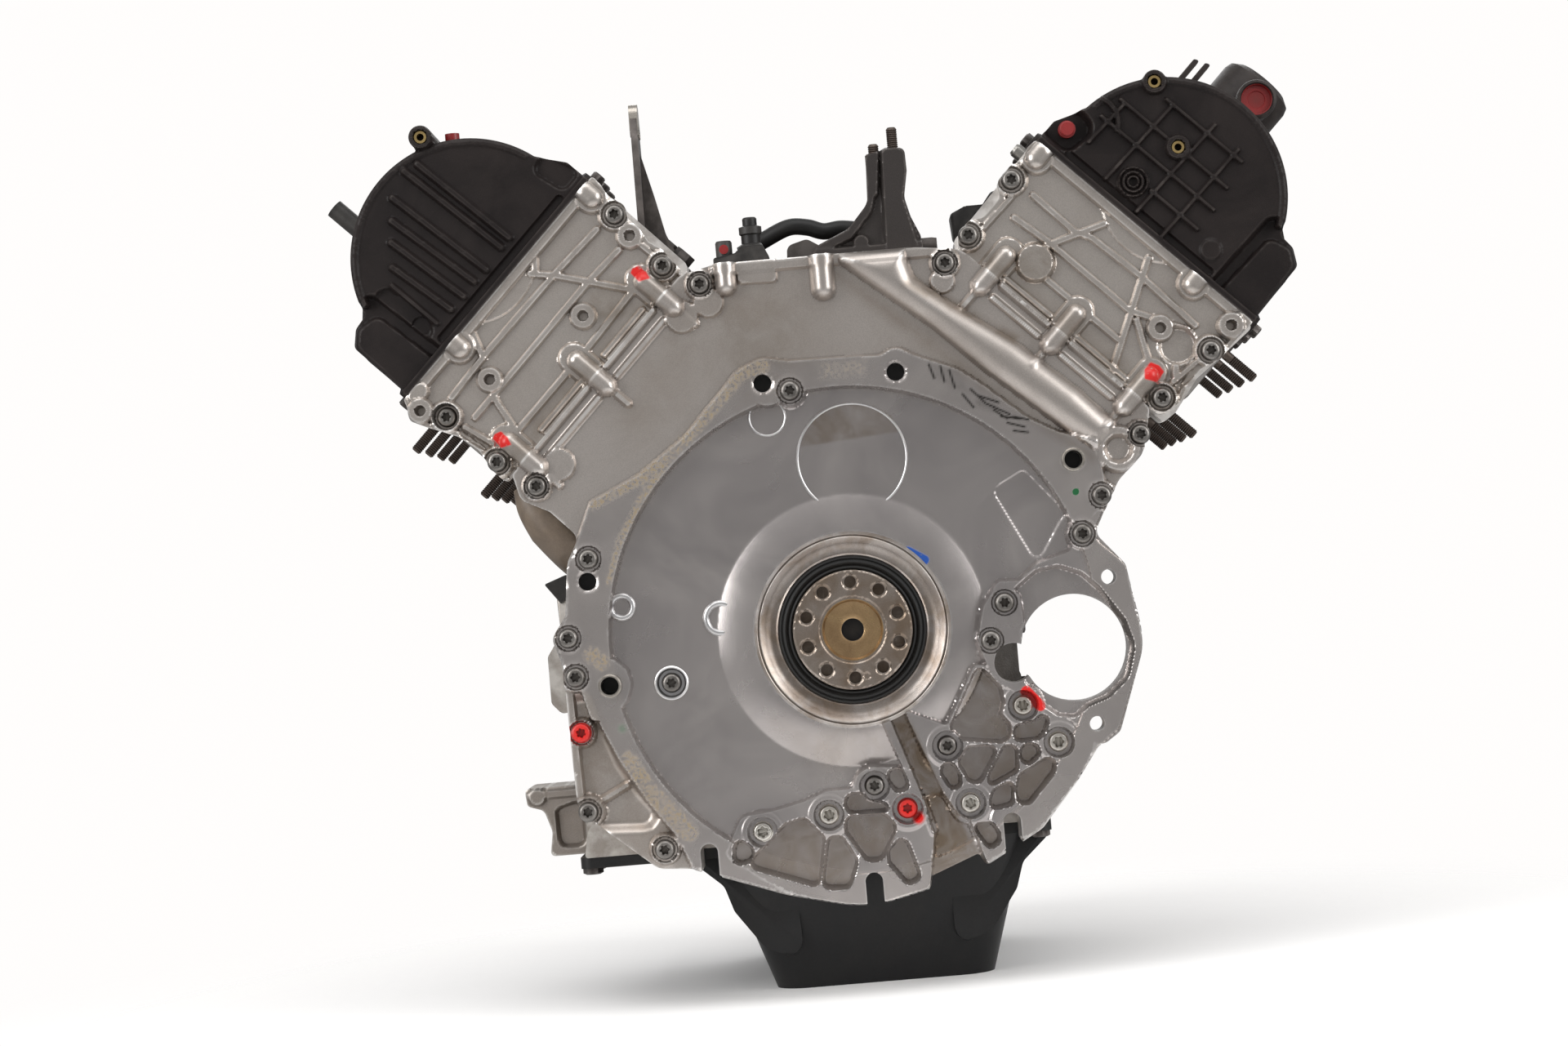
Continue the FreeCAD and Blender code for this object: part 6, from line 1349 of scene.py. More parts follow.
def hexagon_head(name, across, height):
    """A hexagon head with a washer face, along +Z."""
    shape = bmesh.new()
    rows = []
    for radius, level, round_one in ((1.15, 0.0, True), (1.15, 0.08, True), (1.0, 0.12, False), (1.0, 0.85, False), (0.82, 1.0, True)):
        row = []
        for i in range(24):
            a = 2 * math.pi * i / 24
            wide = 1.0 if round_one else 1.0 / math.cos((a % (math.pi / 3)) - math.pi / 6)
            row.append(shape.verts.new(Vector((across / 2 * radius * wide * math.cos(a), across / 2 * radius * wide * math.sin(a),
                                               level * height)) * MM))
        rows.append(row)
    for low, high in zip(rows, rows[1:]):
        for i in range(24):
            j = (i + 1) % 24
            shape.faces.new((low[i], low[j], high[j], high[i]))
    shape.faces.new(rows[-1])
    shape.faces.new(list(reversed(rows[0])))
    bmesh.ops.recalc_face_normals(shape, faces=shape.faces)
    mesh = bpy.data.meshes.new(name)
    shape.to_mesh(mesh)
    shape.free()
    return mesh


HEX_HEAD = hexagon_head("hexagon head", 13, 7)
SMALL_HEX = hexagon_head("small hexagon head", 10, 6)
CYLINDERS = {1: (55, 145, 235), -1: (73, 163, 253)}
WALLS = (62, 105, 195, 285, 375)


def flank(side):
    """Crankcase side from the pan joint up to the cylinder bank."""
    face = CastFace(Patch([(60, -61), (386, -61), (386, 41), (60, 41)]), 2.0, 0.3)
    for y in WALLS:
        face.pad(Bar(y, -58, y, 38, 3.2), 4.0, 2.5)
    face.pad(Bar(64, -6, 382, -6, 2.2), 3.4, 2.4)
    face.pad(Bar(64, 6, 382, 6, 2.2), 3.4, 2.4)
    face.pocket(Bar(60, 0, 386, 0, 0.9), 0.0, 0.8)
    face.pad(Bar(64, -56, 382, -56, 4.0), 4.4, 2.6)
    for y0, y1 in zip(WALLS[1:], WALLS[2:]):
        face.pad(Bar(y0 + 6, -50, y1 - 6, -14, 1.6), 2.8, 2.2)
        face.pad(Bar(y0 + 6, -14, y1 - 6, -50, 1.6), 2.8, 2.2)
        face.pad(Disc((y0 + y1) / 2, 24, 15), 3.0, 2.5)
        face.pocket(Disc((y0 + y1) / 2, 24, 11.5), 0.6, 1.8)
    for y in WALLS:
        face.pad(Disc(y, -8, 8.5), 5.0, 2.0)
        face.pad(Disc(y, -52, 8.5), 5.0, 2.0)
    return face.make(f"{SIDE_NAMES[side]} crankcase flank", lambda a, b, h: (side * (114.2 + h), a, b), -3)


def bank_wall(side):
    """Outer wall of a cylinder bank with its core plugs."""
    face = CastFace(Patch([(60, 124), (386, 124), (386, 255), (60, 255)]), 2.2, 0.3)
    face.pad(Bar(64, 250, 382, 250, 4.5), 4.6, 2.8)
    face.pad(Bar(64, 160, 382, 160, 2.0), 3.0, 2.6)
    for y in CYLINDERS[side]:
        y += 8
        face.pad(Disc(y, 205, 31), 2.6, 6.0)
        face.pad(Disc(y, 205, 21), 4.6, 2.6)
        face.pocket(Disc(y, 205, 17.5), 0.6, 2.4)
    for y in WALLS:
        face.pad(Bar(y, 128, y, 246, 2.4), 3.6, 2.6)
        face.pad(Disc(y, 244, 9.0), 5.2, 2.2)
    for y in (90, 180, 270, 350):
        face.pad(Bar(y, 128, y, 156, 1.8), 2.8, 2.4)
    return face.make(f"{SIDE_NAMES[side]} bank wall", lambda a, b, h: bank_spot(side, 62.2 + h, b, a), -3)


def outboard(u):
    return 74.0 if u >= 288 else 62 + (u - 258.6) / 29.4 * 12


def port_side(side):
    """Exhaust side of a head: three ports between the rows of studs."""
    face = CastFace(Patch([(60, 261), (386, 261), (386, 349), (60, 349)]), 2.0, 0.3)
    face.pad(Patch([(66, 274, 8), (328, 274, 8), (328, 328, 8), (66, 328, 8)]), 3.4, 2.6)
    for y in (122.5, 197.5, 272.5):
        face.pad(Patch([(y - 33, 270, 14), (y + 33, 270, 14), (y + 33, 332, 14), (y - 33, 332, 14)]), 5.0, 2.2)
        face.pocket(Patch([(y - 20, 286, 13), (y + 20, 286, 13), (y + 20, 315, 13), (y - 20, 315, 13)]), 0.5, 1.6)
        # Painted shade: the port pockets, only a few millimetres deep, are darkened nearly black
        face.mask("dark", Patch([(y - 19, 287, 13), (y + 19, 287, 13), (y + 19, 314, 13), (y - 19, 314, 13)]), 1.0, 2.0)
    for y, u in [(85 + 75 * i, u) for i in range(4) for u in (270, 330)]:
        face.pad(Disc(y, u, 9.0), 5.0, 2.0)
    face.pad(Bar(64, 345, 382, 345, 3.0), 3.6, 2.4)
    for y in (345, 365):
        face.pad(Bar(y, 268, y, 340, 2.2), 3.0, 2.4)
    face.pad(Disc(356, 302, 15), 4.4, 2.4)
    face.pocket(Disc(356, 302, 11.5), 0.6, 1.8)
    return face.make(f"{SIDE_NAMES[side]} head port side", lambda a, b, h: bank_spot(side, outboard(b) + 0.2 + h, b, a), -2, shell=True)


def inlet_side(side):
    """Inlet side of a head, towards the valley."""
    face = CastFace(Patch([(60, 261), (386, 261), (386, 349), (60, 349)]), 2.2, 0.3)
    face.pad(Patch([(100, 276, 8), (350, 276, 8), (350, 322, 8), (100, 322, 8)]), 4.0, 2.8)
    for y in (125, 205, 285):
        for shift in (0, 33):
            face.pocket(Patch([(y + shift - 12, 285, 9), (y + shift + 12, 285, 9), (y + shift + 12, 312, 9), (y + shift - 12, 312, 9)]), 0.5, 1.6)
            # Painted shade: the inlet port pockets, only a few millimetres deep, are darkened nearly black
            face.mask("dark", Disc(y + shift, 298.5, 11.0), 1.0, 2.0)
    for y in (70, 110, 190, 270, 350, 376):
        face.pad(Disc(y, 336, 7.5), 4.4, 2.2)
        face.pad(Bar(y, 264, y, 334, 1.8), 3.0, 2.4)
    face.pad(Bar(64, 345, 382, 345, 3.0), 3.6, 2.4)
    return face.make(f"{SIDE_NAMES[side]} head inlet side", lambda a, b, h: bank_spot(side, -118.2 - h, b, a), -3)


def head_end(side):
    """Front end of a head."""
    face = CastFace(Patch([(-116, 260, 3), (-116, 350, 4), (73, 350, 4), (73, 289, 6), (62, 260, 3)]), 1.8, 0.3)
    face.pad(Bar(-112, 346, 70, 346, 3.4), 4.0, 2.4)
    face.pad(Bar(-110, 265, 58, 265, 3.4), 4.0, 2.4)
    for v, u in ((-27 - 27, 318), (-27 + 27, 318)):
        face.pad(Disc(v, u, 21), 4.0, 2.4)
        face.pocket(Disc(v, u, 17.5), 1.0, 2.0)
    for v0, u0, v1, u1 in ((-108, 270, -76, 340), (-76, 270, -108, 340), (34, 270, 62, 340), (-30, 268, -30, 296), (-60, 268, -50, 296), (4, 268, 0, 296)):
        face.pad(Bar(v0, u0, v1, u1, 1.8), 3.2, 2.2)
    for v, u in ((-107, 338), (-107, 272), (60, 338), (48, 272)):
        face.pad(Disc(v, u, 8.0), 4.8, 2.0)
    return face.make(f"{SIDE_NAMES[side]} head front end", lambda a, b, h: bank_spot(side, a, b, 388.2 + h), -3)


def bank_end(side):
    """Front end of a cylinder bank."""
    face = CastFace(Patch([(60, 128, 10), (60, 255), (-68, 255), (-68, 188, 10), (-30, 150, 10)]), 1.9, 0.3)
    face.pad(Bar(-64, 250, 56, 250, 3.6), 4.0, 2.4)
    face.pad(Bar(55, 134, 55, 246, 3.2), 3.8, 2.4)
    face.pad(Disc(-2, 205, 25), 3.6, 3.0)
    face.pocket(Disc(-2, 205, 20), 0.8, 2.2)
    for v0, u0, v1, u1 in ((26, 205, 52, 205), (-62, 205, -30, 205), (-2, 232, -2, 246), (14, 184, 50, 146), (-20, 186, -48, 182)):
        face.pad(Bar(v0, u0, v1, u1, 2.0), 3.0, 2.2)
    for v, u in ((-58, 243), (50, 243), (50, 150)):
        face.pad(Disc(v, u, 8.0), 4.8, 2.0)
    return face.make(f"{SIDE_NAMES[side]} bank front end", lambda a, b, h: bank_spot(side, a, b, 388.2 + h), -3)


for side in SIDE_NAMES:
    dressed(flank(side), FINISH["cast_iron_block"], "block", "cast_iron_block")
    dressed(bank_wall(side), FINISH["cast_iron_block"], "block", "cast_iron_block")
    dressed(bank_end(side), FINISH["cast_iron_block"], "block", "cast_iron_block")
    dressed(port_side(side), FINISH["cast_head"], "block", "cast_head")
    dressed(inlet_side(side), FINISH["cast_head"], "block", "cast_head")
    dressed(head_end(side), FINISH["cast_head"], "block", "cast_head")

COVER_EDGE = [(-110, -60, 20), (110, -60, 20), (112, 60, 30), (60, 190, 30), (-60, 190, 30), (-112, 60, 30)]
COVER_BOLTS = [(-98, -48), (98, -48), (-102, 6), (102, 6), (-104, 58), (104, 58), (-82, 112), (82, 112), (-56, 178), (56, 178), (0, 182), (-58, -50), (58, -50)]


def front_face():
    """Front cover's ribbed face round the damper and the coolant pump."""
    face = CastFace(Patch([(x * 0.985, z * 0.985 + 0.5, r) for x, z, r in COVER_EDGE]), 1.7, 0.3)
    edge = Patch(COVER_EDGE)
    for a, b in zip(edge.points, edge.points[1:] + edge.points[:1]):
        face.pad(Bar(a[0] * 0.95, a[1] * 0.95 + 2, b[0] * 0.95, b[1] * 0.95 + 2, 3.2), 3.6, 2.4)
    for i in range(10):
        angle = math.radians(18 + 36 * i)
        face.pad(Bar(48 * math.cos(angle), 48 * math.sin(angle), 108 * math.cos(angle), min(170, 108 * math.sin(angle)), 1.8), 3.0, 2.2)
    face.pad(Disc(0, 128, 50), 3.2, 4.0)
    for x, z in COVER_BOLTS:
        face.pad(Disc(x, z, 8.2), 5.0, 2.0)
    face.hole(Disc(0, 0, 40))
    face.hole(Disc(0, 128, 42.5))
    return face.make("front cover face", lambda a, b, h: (a, 402.2 + h, b), -3)


dressed(front_face(), FINISH["cast_plate"], "block", "cast_plate")
impeller_lid = lathe("coolant pump nose", [(0, 0), (38, 0), (40, -1.5), (42.4, -1.5), (42.4, -26), (0, -26)], (0, 424.5, 128), (0, 1, 0), 72)
dressed(impeller_lid, FINISH["cast_plate"], "block", "cast_plate")
hub_lid = lathe("coolant pump hub", [(18.4, -18), (18.4, -1.6), (16.8, 0), (11, 0), (10, -2.5), (0, -2.5), (0, -18)], (0, 440.4, 128), (0, 1, 0), 48)
dressed(hub_lid, FINISH["forged_steel"], "block", "cast_plate")


def pan_side(x):
    """Height of the upper pan's outside at a place across the engine."""
    return float(np.interp(x, [-207, -204, -150, -114], [-142, -128, -104, -64]))


def shelf():
    """Ribbed sloping wall on the wide side of the upper pan."""
    face = CastFace(Patch([(60, -204), (386, -204), (386, -115), (60, -115)]), 2.2, 0.3)
    for y in (64, 104, 156, 200, 245, 290, 335, 380):
        face.pad(Bar(y, -200, y, -119, 2.2), 4.6, 2.8)
    face.pad(Bar(64, -200, 382, -200, 3.6), 4.0, 2.8)
    for y in (84, 178, 268, 358):
        face.pad(Disc(y, -190, 9), 6.0, 2.4)
    return face.make("pan shelf", lambda a, b, h: (b - 0.5 * h, a, pan_side(b) + 0.2 + 0.86 * h), -2, shell=True)


def pan_flank():
    """Ribbed wall on the narrow side of the upper pan."""
    face = CastFace(Patch([(60, -140), (386, -140), (386, -64), (60, -64)]), 2.2, 0.3)
    for y in (64, 105, 150, 195, 240, 285, 330, 382):
        face.pad(Bar(y, -136, y, -68, 2.2), 4.2, 2.8)
    face.pad(Bar(64, -68, 382, -68, 3.6), 4.4, 2.6)
    for y in (84, 172, 262, 352):
        face.pad(Disc(y, -132, 8.5), 5.4, 2.2)
        face.pad(Disc(y, -74, 8.5), 5.4, 2.2)
    return face.make("pan narrow side", lambda a, b, h: (float(np.interp(-b, [62, 90, 142], [114, 118, 130])) + 0.2 + h, a, b), -2, shell=True)


dressed(shelf(), FINISH["cast_pan"], "block", "cast_pan")
dressed(pan_flank(), FINISH["cast_pan"], "block", "cast_pan")
SHOULDER = [(56, -156.5), (130, -156.5, 2), (129, -164, 6), (110, -181, 12), (104, -200, 14), (84, -228, 22), (56, -241, 10)]
for number, outline in enumerate((SHOULDER, [(-x, z, *r) for x, z, *r in reversed(SHOULDER)])):
    bulge = slab(f"pan shoulder {number + 1}", outline, -84, -372, facing(0), 9, 60)
    dressed(bulge, FINISH["black_pan"], "block", "black_pan")

bolts = []
for y in (75, 120, 165, 210, 255, 300, 345, 378):
    bolts += [((124, y, -156.2), (0, 0, -1)), ((-204, y, -156.2), (0, 0, -1))]
for x in (-160, -110, 80):
    bolts += [((x, 380, -156.2), (0, 0, -1))]
pan_bolts = on_places("pan bolt heads", HEX_HEAD, bolts, FINISH["grey_bolt_steel"], 13)
dressed(pan_bolts, FINISH["grey_bolt_steel"], "block", "grey_bolt_steel")
bolts = [((x, 407.4, z), (0, 1, 0)) for x, z in COVER_BOLTS]
for side in SIDE_NAMES:
    bolts += [((side * 119.2, y, z), (side, 0, 0)) for y in WALLS for z in (-52, -8)]
    bolts += [(bank_spot(side, 67.4, 244, y), (side * HALF, 0, -HALF)) for y in WALLS]
    bolts += [(bank_spot(side, v, u, 393.2), (0, 1, 0)) for v, u in ((-107, 338), (-107, 272), (60, 338), (48, 272), (-58, 243), (50, 243), (50, 150))]
side_bolts = on_places("side and front bolt heads", SMALL_HEX, bolts, FINISH["grey_bolt_steel"], 17)
dressed(side_bolts, FINISH["grey_bolt_steel"], "block", "grey_bolt_steel")

RIM = [(22.6, 404.2), (22.6, 403.6), (31.6, 403.6), (32.4, 412.4), (58, 412.4), (60.4, 404), (61, 403.6), (80.6, 403.6), (82, 405)]
for groove in range(6):
    start = 405.6 + 3.1 * groove
    RIM += [(82.2, start), (79.4, start + 1.35), (79.4, start + 1.75), (82.2, start + 3.1)]
RIM += [(82.0, 425.6), (80.8, 426.5), (74.6, 426.5), (74.0, 425.4), (70.6, 425.2), (70.0, 426.5), (62, 426.5), (60, 425), (59.2, 420.6),
        (35.4, 420.6), (34.4, 426.2), (33.8, 426.5), (22.6, 426.5)]
damper = turned("damper pulley turned", RIM, 120)
dressed(damper, FINISH["damper_iron"], "crank", "damper_iron", "damper_pulley")
centre_bolt = on_places("damper centre bolt", hexagon_head("big hexagon head", 27, 12), [((0, 422.5, 0), (0, 1, 0))], FINISH["grey_bolt_steel"], 19)
dressed(centre_bolt, FINISH["grey_bolt_steel"], "crank", "damper_iron")


# Long boxes of the cam covers: a wrapped sheet with stiffening ribs, bosses and a bolted flange

BOX_LINE = rounded([(-123.6, 352), (-123.6, 372, 8), (-98, 436, 22), (37, 436, 24), (76.6, 404, 14), (76.6, 352)])


def round_box(side):
    steps = [0.0]
    for (a, b), (c, e) in zip(BOX_LINE, BOX_LINE[1:]):
        steps.append(steps[-1] + math.hypot(c - a, e - b))
    length = steps[-1]
    vs, us = zip(*BOX_LINE)
    face = CastFace(Patch([(74, 0), (388, 0), (388, length), (74, length)]), 2.1, 0.0)
    face.pad(Bar(70, 5, 392, 5, 6.0), 4.4, 2.8)
    face.pad(Bar(70, length - 5, 392, length - 5, 6.0), 4.4, 2.8)
    for y in (80, 130, 180, 230, 280, 330, 382):
        face.pad(Bar(y, 0, y, length, 1.6), 2.6, 2.3)
    for share in (0.36, 0.5, 0.64):
        face.pad(Bar(76, share * length, 386, share * length, 1.5), 2.2, 2.3)
    for y in (105, 195, 285):
        face.pad(Disc(y, 0.5 * length, 21), 4.2, 3.0)
        face.pocket(Disc(y, 0.5 * length, 15), 1.0, 2.4)
        face.pad(Disc(y, 0.5 * length, 9), 6.0, 2.4)
    for y in (100, 155, 210, 265, 320, 370):
        for s in (7, length - 7):
            face.pad(Disc(y, s, 9.5), 7.0, 2.5)

    def place(a, s, h):
        v, u = float(np.interp(s, steps, vs)), float(np.interp(s, steps, us))
        v1, u1 = float(np.interp(min(s + 3, length), steps, vs)), float(np.interp(min(s + 3, length), steps, us))
        v0, u0 = float(np.interp(max(s - 3, 0), steps, vs)), float(np.interp(max(s - 3, 0), steps, us))
        along = Vector((v1 - v0, u1 - u0)).normalized()
        return bank_spot(side, v - along.y * h, u + along.x * h, a)

    return face.make(f"{SIDE_NAMES[side]} cam cover top", place, -2.5, shell=True)


def box_end(side):
    """Front end of a cam cover's box."""
    face = CastFace(Patch([(-119, 353), (-119, 371, 8), (-95, 431, 20), (34, 431, 22), (72, 401, 12), (72, 353)]), 2.0, 0.3)
    for v in (-54, 0):
        face.pad(Disc(v, 382, 20), 3.4, 2.4)
        face.pocket(Disc(v, 382, 15), 1.0, 2.2)
    for v0, u0, v1, u1 in ((-112, 404, 64, 404), (-88, 358, -88, 426), (-27, 358, -27, 426), (36, 358, 36, 426)):
        face.pad(Bar(v0, u0, v1, u1, 1.6), 2.6, 2.2)
    return face.make(f"{SIDE_NAMES[side]} cam cover front end", lambda a, b, h: bank_spot(side, a, b, 388.0 + h), -3)


for side, label in SIDE_NAMES.items():
    dressed(box_end(side), FINISH["cover_plastic"], "block", "cover_plastic", f"{label}_cam_cover")
    dressed(round_box(side), FINISH["cover_plastic"], "block", "cover_plastic", f"{label}_cam_cover")
lid_bolts = []
for side in SIDE_NAMES:
    for y in (100, 155, 210, 265, 320, 370):
        lid_bolts += [(bank_spot(side, 83.4, 359, y), (side * HALF, 0, -HALF)), (bank_spot(side, -130.4, 359, y), (-side * HALF, 0, HALF))]
cover_bolts = on_places("cam cover bolt heads", SMALL_HEX, lid_bolts, FINISH["grey_bolt_steel"], 23)
dressed(cover_bolts, FINISH["grey_bolt_steel"], "block", "grey_bolt_steel")


# Small parts on the plate's top edge and in the valley

BRACKET = [(-7, 268.2, 1), (-1, 277, 5), (22, 287, 16), (37, 304, 14), (38.5, 338, 3), (49, 341, 3), (53, 343, 2), (66.5, 341, 4),
           (67, 325, 6), (63.5, 306, 14), (67, 292, 10), (73, 278, 5), (74, 268.2, 1)]


def bracket_face():
    face = CastFace(Patch(BRACKET), 0.9, -3.0)
    face.pad(Patch([(48, 268), (49, 300, 8), (50.5, 341, 3), (66, 341, 4), (65.5, 322, 6), (62, 306, 10), (65, 292, 8), (70, 270)]), 2.0, 2.5)
    face.pad(Joined(Bar(-2, 273, 22, 283, 2.6), Bar(22, 283, 36, 299, 2.6), Bar(36, 299, 40, 312, 2.6), Bar(40, 312, 43, 338, 4.0)), 1.0, 2.2)
    face.pad(Bar(-4, 270, 72, 270, 3.0), 1.5, 2.2)
    face.pad(Disc(30, 276, 5.0), 1.4, 1.6)
    return face


dressed(bracket_face().make("stud bracket casting", facing(24), -24), FINISH["bracket_casting"], "block", "bracket_casting", "stud_bracket")
two_studs = on_places("bracket stud rods", ridged_rod("bracket stud", 4.0, 30, 1.5, 15), [((58.5, 35, 328), (0, 0, 1)), ((44.5, 35, 317), (0, 0, 1))],
                      FINISH["dark_stud_steel"], 29)
dressed(two_studs, FINISH["dark_stud_steel"], "block", "dark_stud_steel", "bracket_studs")
sleeve = lathe("bracket sleeve", [(0, 0), (6.5, 0), (6.5, 13), (5.6, 14), (0, 14)], (44.5, 35, 326), (0, 0, 1), 28)
dressed(sleeve, FINISH["dark_stud_steel"], "block", "dark_stud_steel", "bracket_studs")


def eye_plate():
    face = CastFace(Patch([(84, 299, 3), (128, 299, 3), (122, 372, 20), (114, 400, 9), (98, 400, 9), (90, 372, 20)]), 1.3, 5.0)
    face.hole(Disc(106, 382, 8.5))
    return face


def along_x(x):
    return lambda a, b, h: (x + h, a, b)


dressed(eye_plate().make("lifting plate", along_x(-132), 0), FINISH["bracket_casting"], "block", "bracket_casting", "lifting_plate")
tip = slab("lifting plate tip", [(93, 378, 8), (97, 401, 9), (115, 401, 9), (119, 378, 8), (113.5, 374, 3), (106, 391.5, 8), (98.5, 374, 3)], -0.7, 5.7, along_x(-132), 0.8)
dressed(tip, FINISH["dowel_steel"], "block", "bracket_casting", "lifting_plate")
gusset = slab("lifting plate gusset", [(-128, 372), (-128, 297), (-109, 276, 3), (-102.5, 274, 2), (-106, 287, 8), (-113, 303, 20), (-119, 331, 30), (-126.5, 362, 8)],
              -103, -109, facing(0), 0.8)
dressed(gusset, FINISH["bracket_casting"], "block", "bracket_casting", "lifting_plate")
foot_plate = slab("lifting plate foot", [(-118.4, 259), (-125, 259, 2), (-125, 300, 2), (-118.4, 305)], 84, 128, lambda a, b, h: bank_spot(-1, a, b, h), 1.0)
dressed(foot_plate, FINISH["bracket_casting"], "block", "bracket_casting", "lifting_plate")

base = slab("sensor base", [(-77, 268.2), (-77, 274, 2), (-60, 275, 3), (-57, 281, 2), (-41, 281, 2), (-37, 272, 3), (-36, 268.2)], -20, -48, facing(0), 1.0)
dressed(base, FINISH["black_plastic"], "block", "black_plastic", "sensor_plate")
post = lathe("sensor base post", [(0, 0), (6, 0), (6, 12), (5.2, 13.4), (0, 13.4)], (-69, 33, 273), (0, 0, 1), 28)
dressed(post, FINISH["black_plastic"], "block", "black_plastic", "sensor_plate")
daub = lathe("post marking", [(0, 0), (3.4, 0), (3.4, 0.8), (0, 0.8)], (-69, 27.2, 280), (0, -1, 0), 20)
dressed(daub, FINISH["plug_red"], "block", "black_plastic", "sensor_plate")
sensor = lathe("sensor body", [(0, 0), (8, 0), (8, 8), (7, 9), (7, 15), (8.2, 16), (8.2, 21), (5.2, 22), (5.2, 27), (4.4, 28), (0, 28)], (-49, 34, 274), (0, 0, 1), 32)
dressed(sensor, FINISH["black_plastic"], "block", "black_plastic", "coolant_sensor")
hose = pipe("valley hose", curve([(-58, 96, 282), (-40, 92, 291), (-22, 88, 298), (-8, 88, 297), (4, 88, 293), (18, 90, 294), (34, 96, 290), (46, 110, 276)]), 6.2)
dressed(hose, FINISH["seal_rubber"], "block", "cooler_aluminium")
side_box = slab("valley connector", [(98, 276, 3), (96.5, 295, 3), (108, 300, 3), (122, 298, 3), (127, 309, 4), (135, 309, 3), (129, 292, 5), (116, 274, 3)], -62, -92, facing(0), 1.6)
dressed(side_box, FINISH["black_plastic"], "block", "black_plastic")
stub_pin = lathe("head stub", [(0, 0), (5.4, 0), (5.4, 12), (4.2, 14), (0, 14)], bank_spot(1, -122, 345, 74), (-HALF, 0, HALF), 28)
dressed(stub_pin, FINISH["pipe_steel"], "block", "cast_head")
for number, (v, u) in enumerate(((-74, 452), (-66, 455))):
    tab = slab(f"clip tab {number + 1}", [(v - 2, u), (v + 2, u), (v + 2, u + 19, 1.5), (v - 2, u + 17, 1.5)], 14, 26, lambda a, b, h: bank_spot(1, a, b, h), 0.8)
    dressed(tab, FINISH["cover_plastic"], "block", "cover_plastic", "right_cam_cover")


def cooler_top():
    """Ribbed lid of the cooler in the valley."""
    face = CastFace(Patch([(-50, 84, 6), (50, 84, 6), (50, 300, 6), (-50, 300, 6)]), 1.8, 0.0)
    for i in range(9):
        face.pad(Bar(-46, 96 + 24 * i, -28, 96 + 24 * i, 2.0), 4.0, 2.2)
        face.pad(Bar(18, 96 + 24 * i, 46, 96 + 24 * i, 2.0), 4.0, 2.2)
    for x, y in ((-44, 90), (44, 90), (-44, 292), (44, 292), (44, 190), (-44, 190)):
        face.pad(Disc(x, y, 7.5), 5.0, 2.0)
    return face.make("cooler lid", lambda a, b, h: (a, b, float(np.interp(abs(a), [0, 40, 51], [240, 238, 232])) + h), -3, shell=True)


dressed(cooler_top(), FINISH["cooler_aluminium"], "block", "cooler_aluminium")


# Left side

funnel = pipe("hose elbow", curve([(-231, 74, 124), (-224, 73, 108), (-211, 76, 90), (-198, 82, 74), (-186, 90, 62)]), [8.5 + 9 * min(1, i / 14) for i in range(33)], 28)
dressed(funnel, FINISH["stained_hose"], "block", "pipe_steel", "coolant_elbow")
module = slab("filter module edge", [(-213, 41, 3), (-198, 44, 4), (-188, 20, 4), (-188, -40, 6), (-216, -44, 4), (-223, -36, 5), (-223, -2, 5), (-212, 14, 6)], -60, -118, facing(0), 2.0)
dressed(module, FINISH["cast_pan"], "block", "cast_pan", "oil_filter_module")
bowl = slab("filter module body", [(-117.5, 40, 3), (-168, 44, 10), (-212, 10, 12), (-214, -38, 12), (-160, -54, 14), (-117.5, -24, 3)], -68, -158, facing(0), 4.0)
dressed(bowl, FINISH["cast_pan"], "block", "cast_pan", "oil_filter_module")
wedge = slab("black wedge bracket", [(-221, 51, 1), (-204, 57, 2), (-196, 44, 2), (-210, 36, 1)], -58, -78, facing(0), 0.8)
dressed(wedge, FINISH["black_plastic"], "block", "cast_pan", "oil_filter_module")


def mount_face():
    face = CastFace(Patch([(-251, -98, 3), (-250, -111, 3), (-238, -115, 6), (-233, -131, 10), (-236, -149, 3), (-206, -149, 2), (-204, -106, 5), (-215, -98, 5)]), 1.2, 0.0)
    face.pocket(Patch([(-228, -116, 4), (-211, -111, 4), (-211, -141, 4), (-227, -141, 4)]), -6.0, 3.0)
    face.pad(Bar(-247, -103, -208, -103, 2.2), 2.6, 2.0)
    face.pad(Disc(-242, -104.5, 5.5), 3.6, 1.6)
    return face


dressed(mount_face().make("mount bracket casting", facing(92), -58), FINISH["cast_pan"], "block", "cast_pan", "mount_bracket")


# The CAD nodes that stay visible get the same finishes

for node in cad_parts.values():
    slot_name = node.data.materials[0].name.split(".")[0]
    node.data.materials[0] = FINISH[slot_name]


# Studio: pale floor and backdrop, soft lights, the camera

FLOOR = -262.0


def sheet_object(name, corners, material):
    mesh = bpy.data.meshes.new(name)
    mesh.from_pydata([Vector(c) * MM for c in corners], [], [(0, 1, 2, 3)])
    mesh.materials.append(material)
    made = bpy.data.objects.new(name, mesh)
    bpy.context.scene.collection.objects.link(made)
    return made


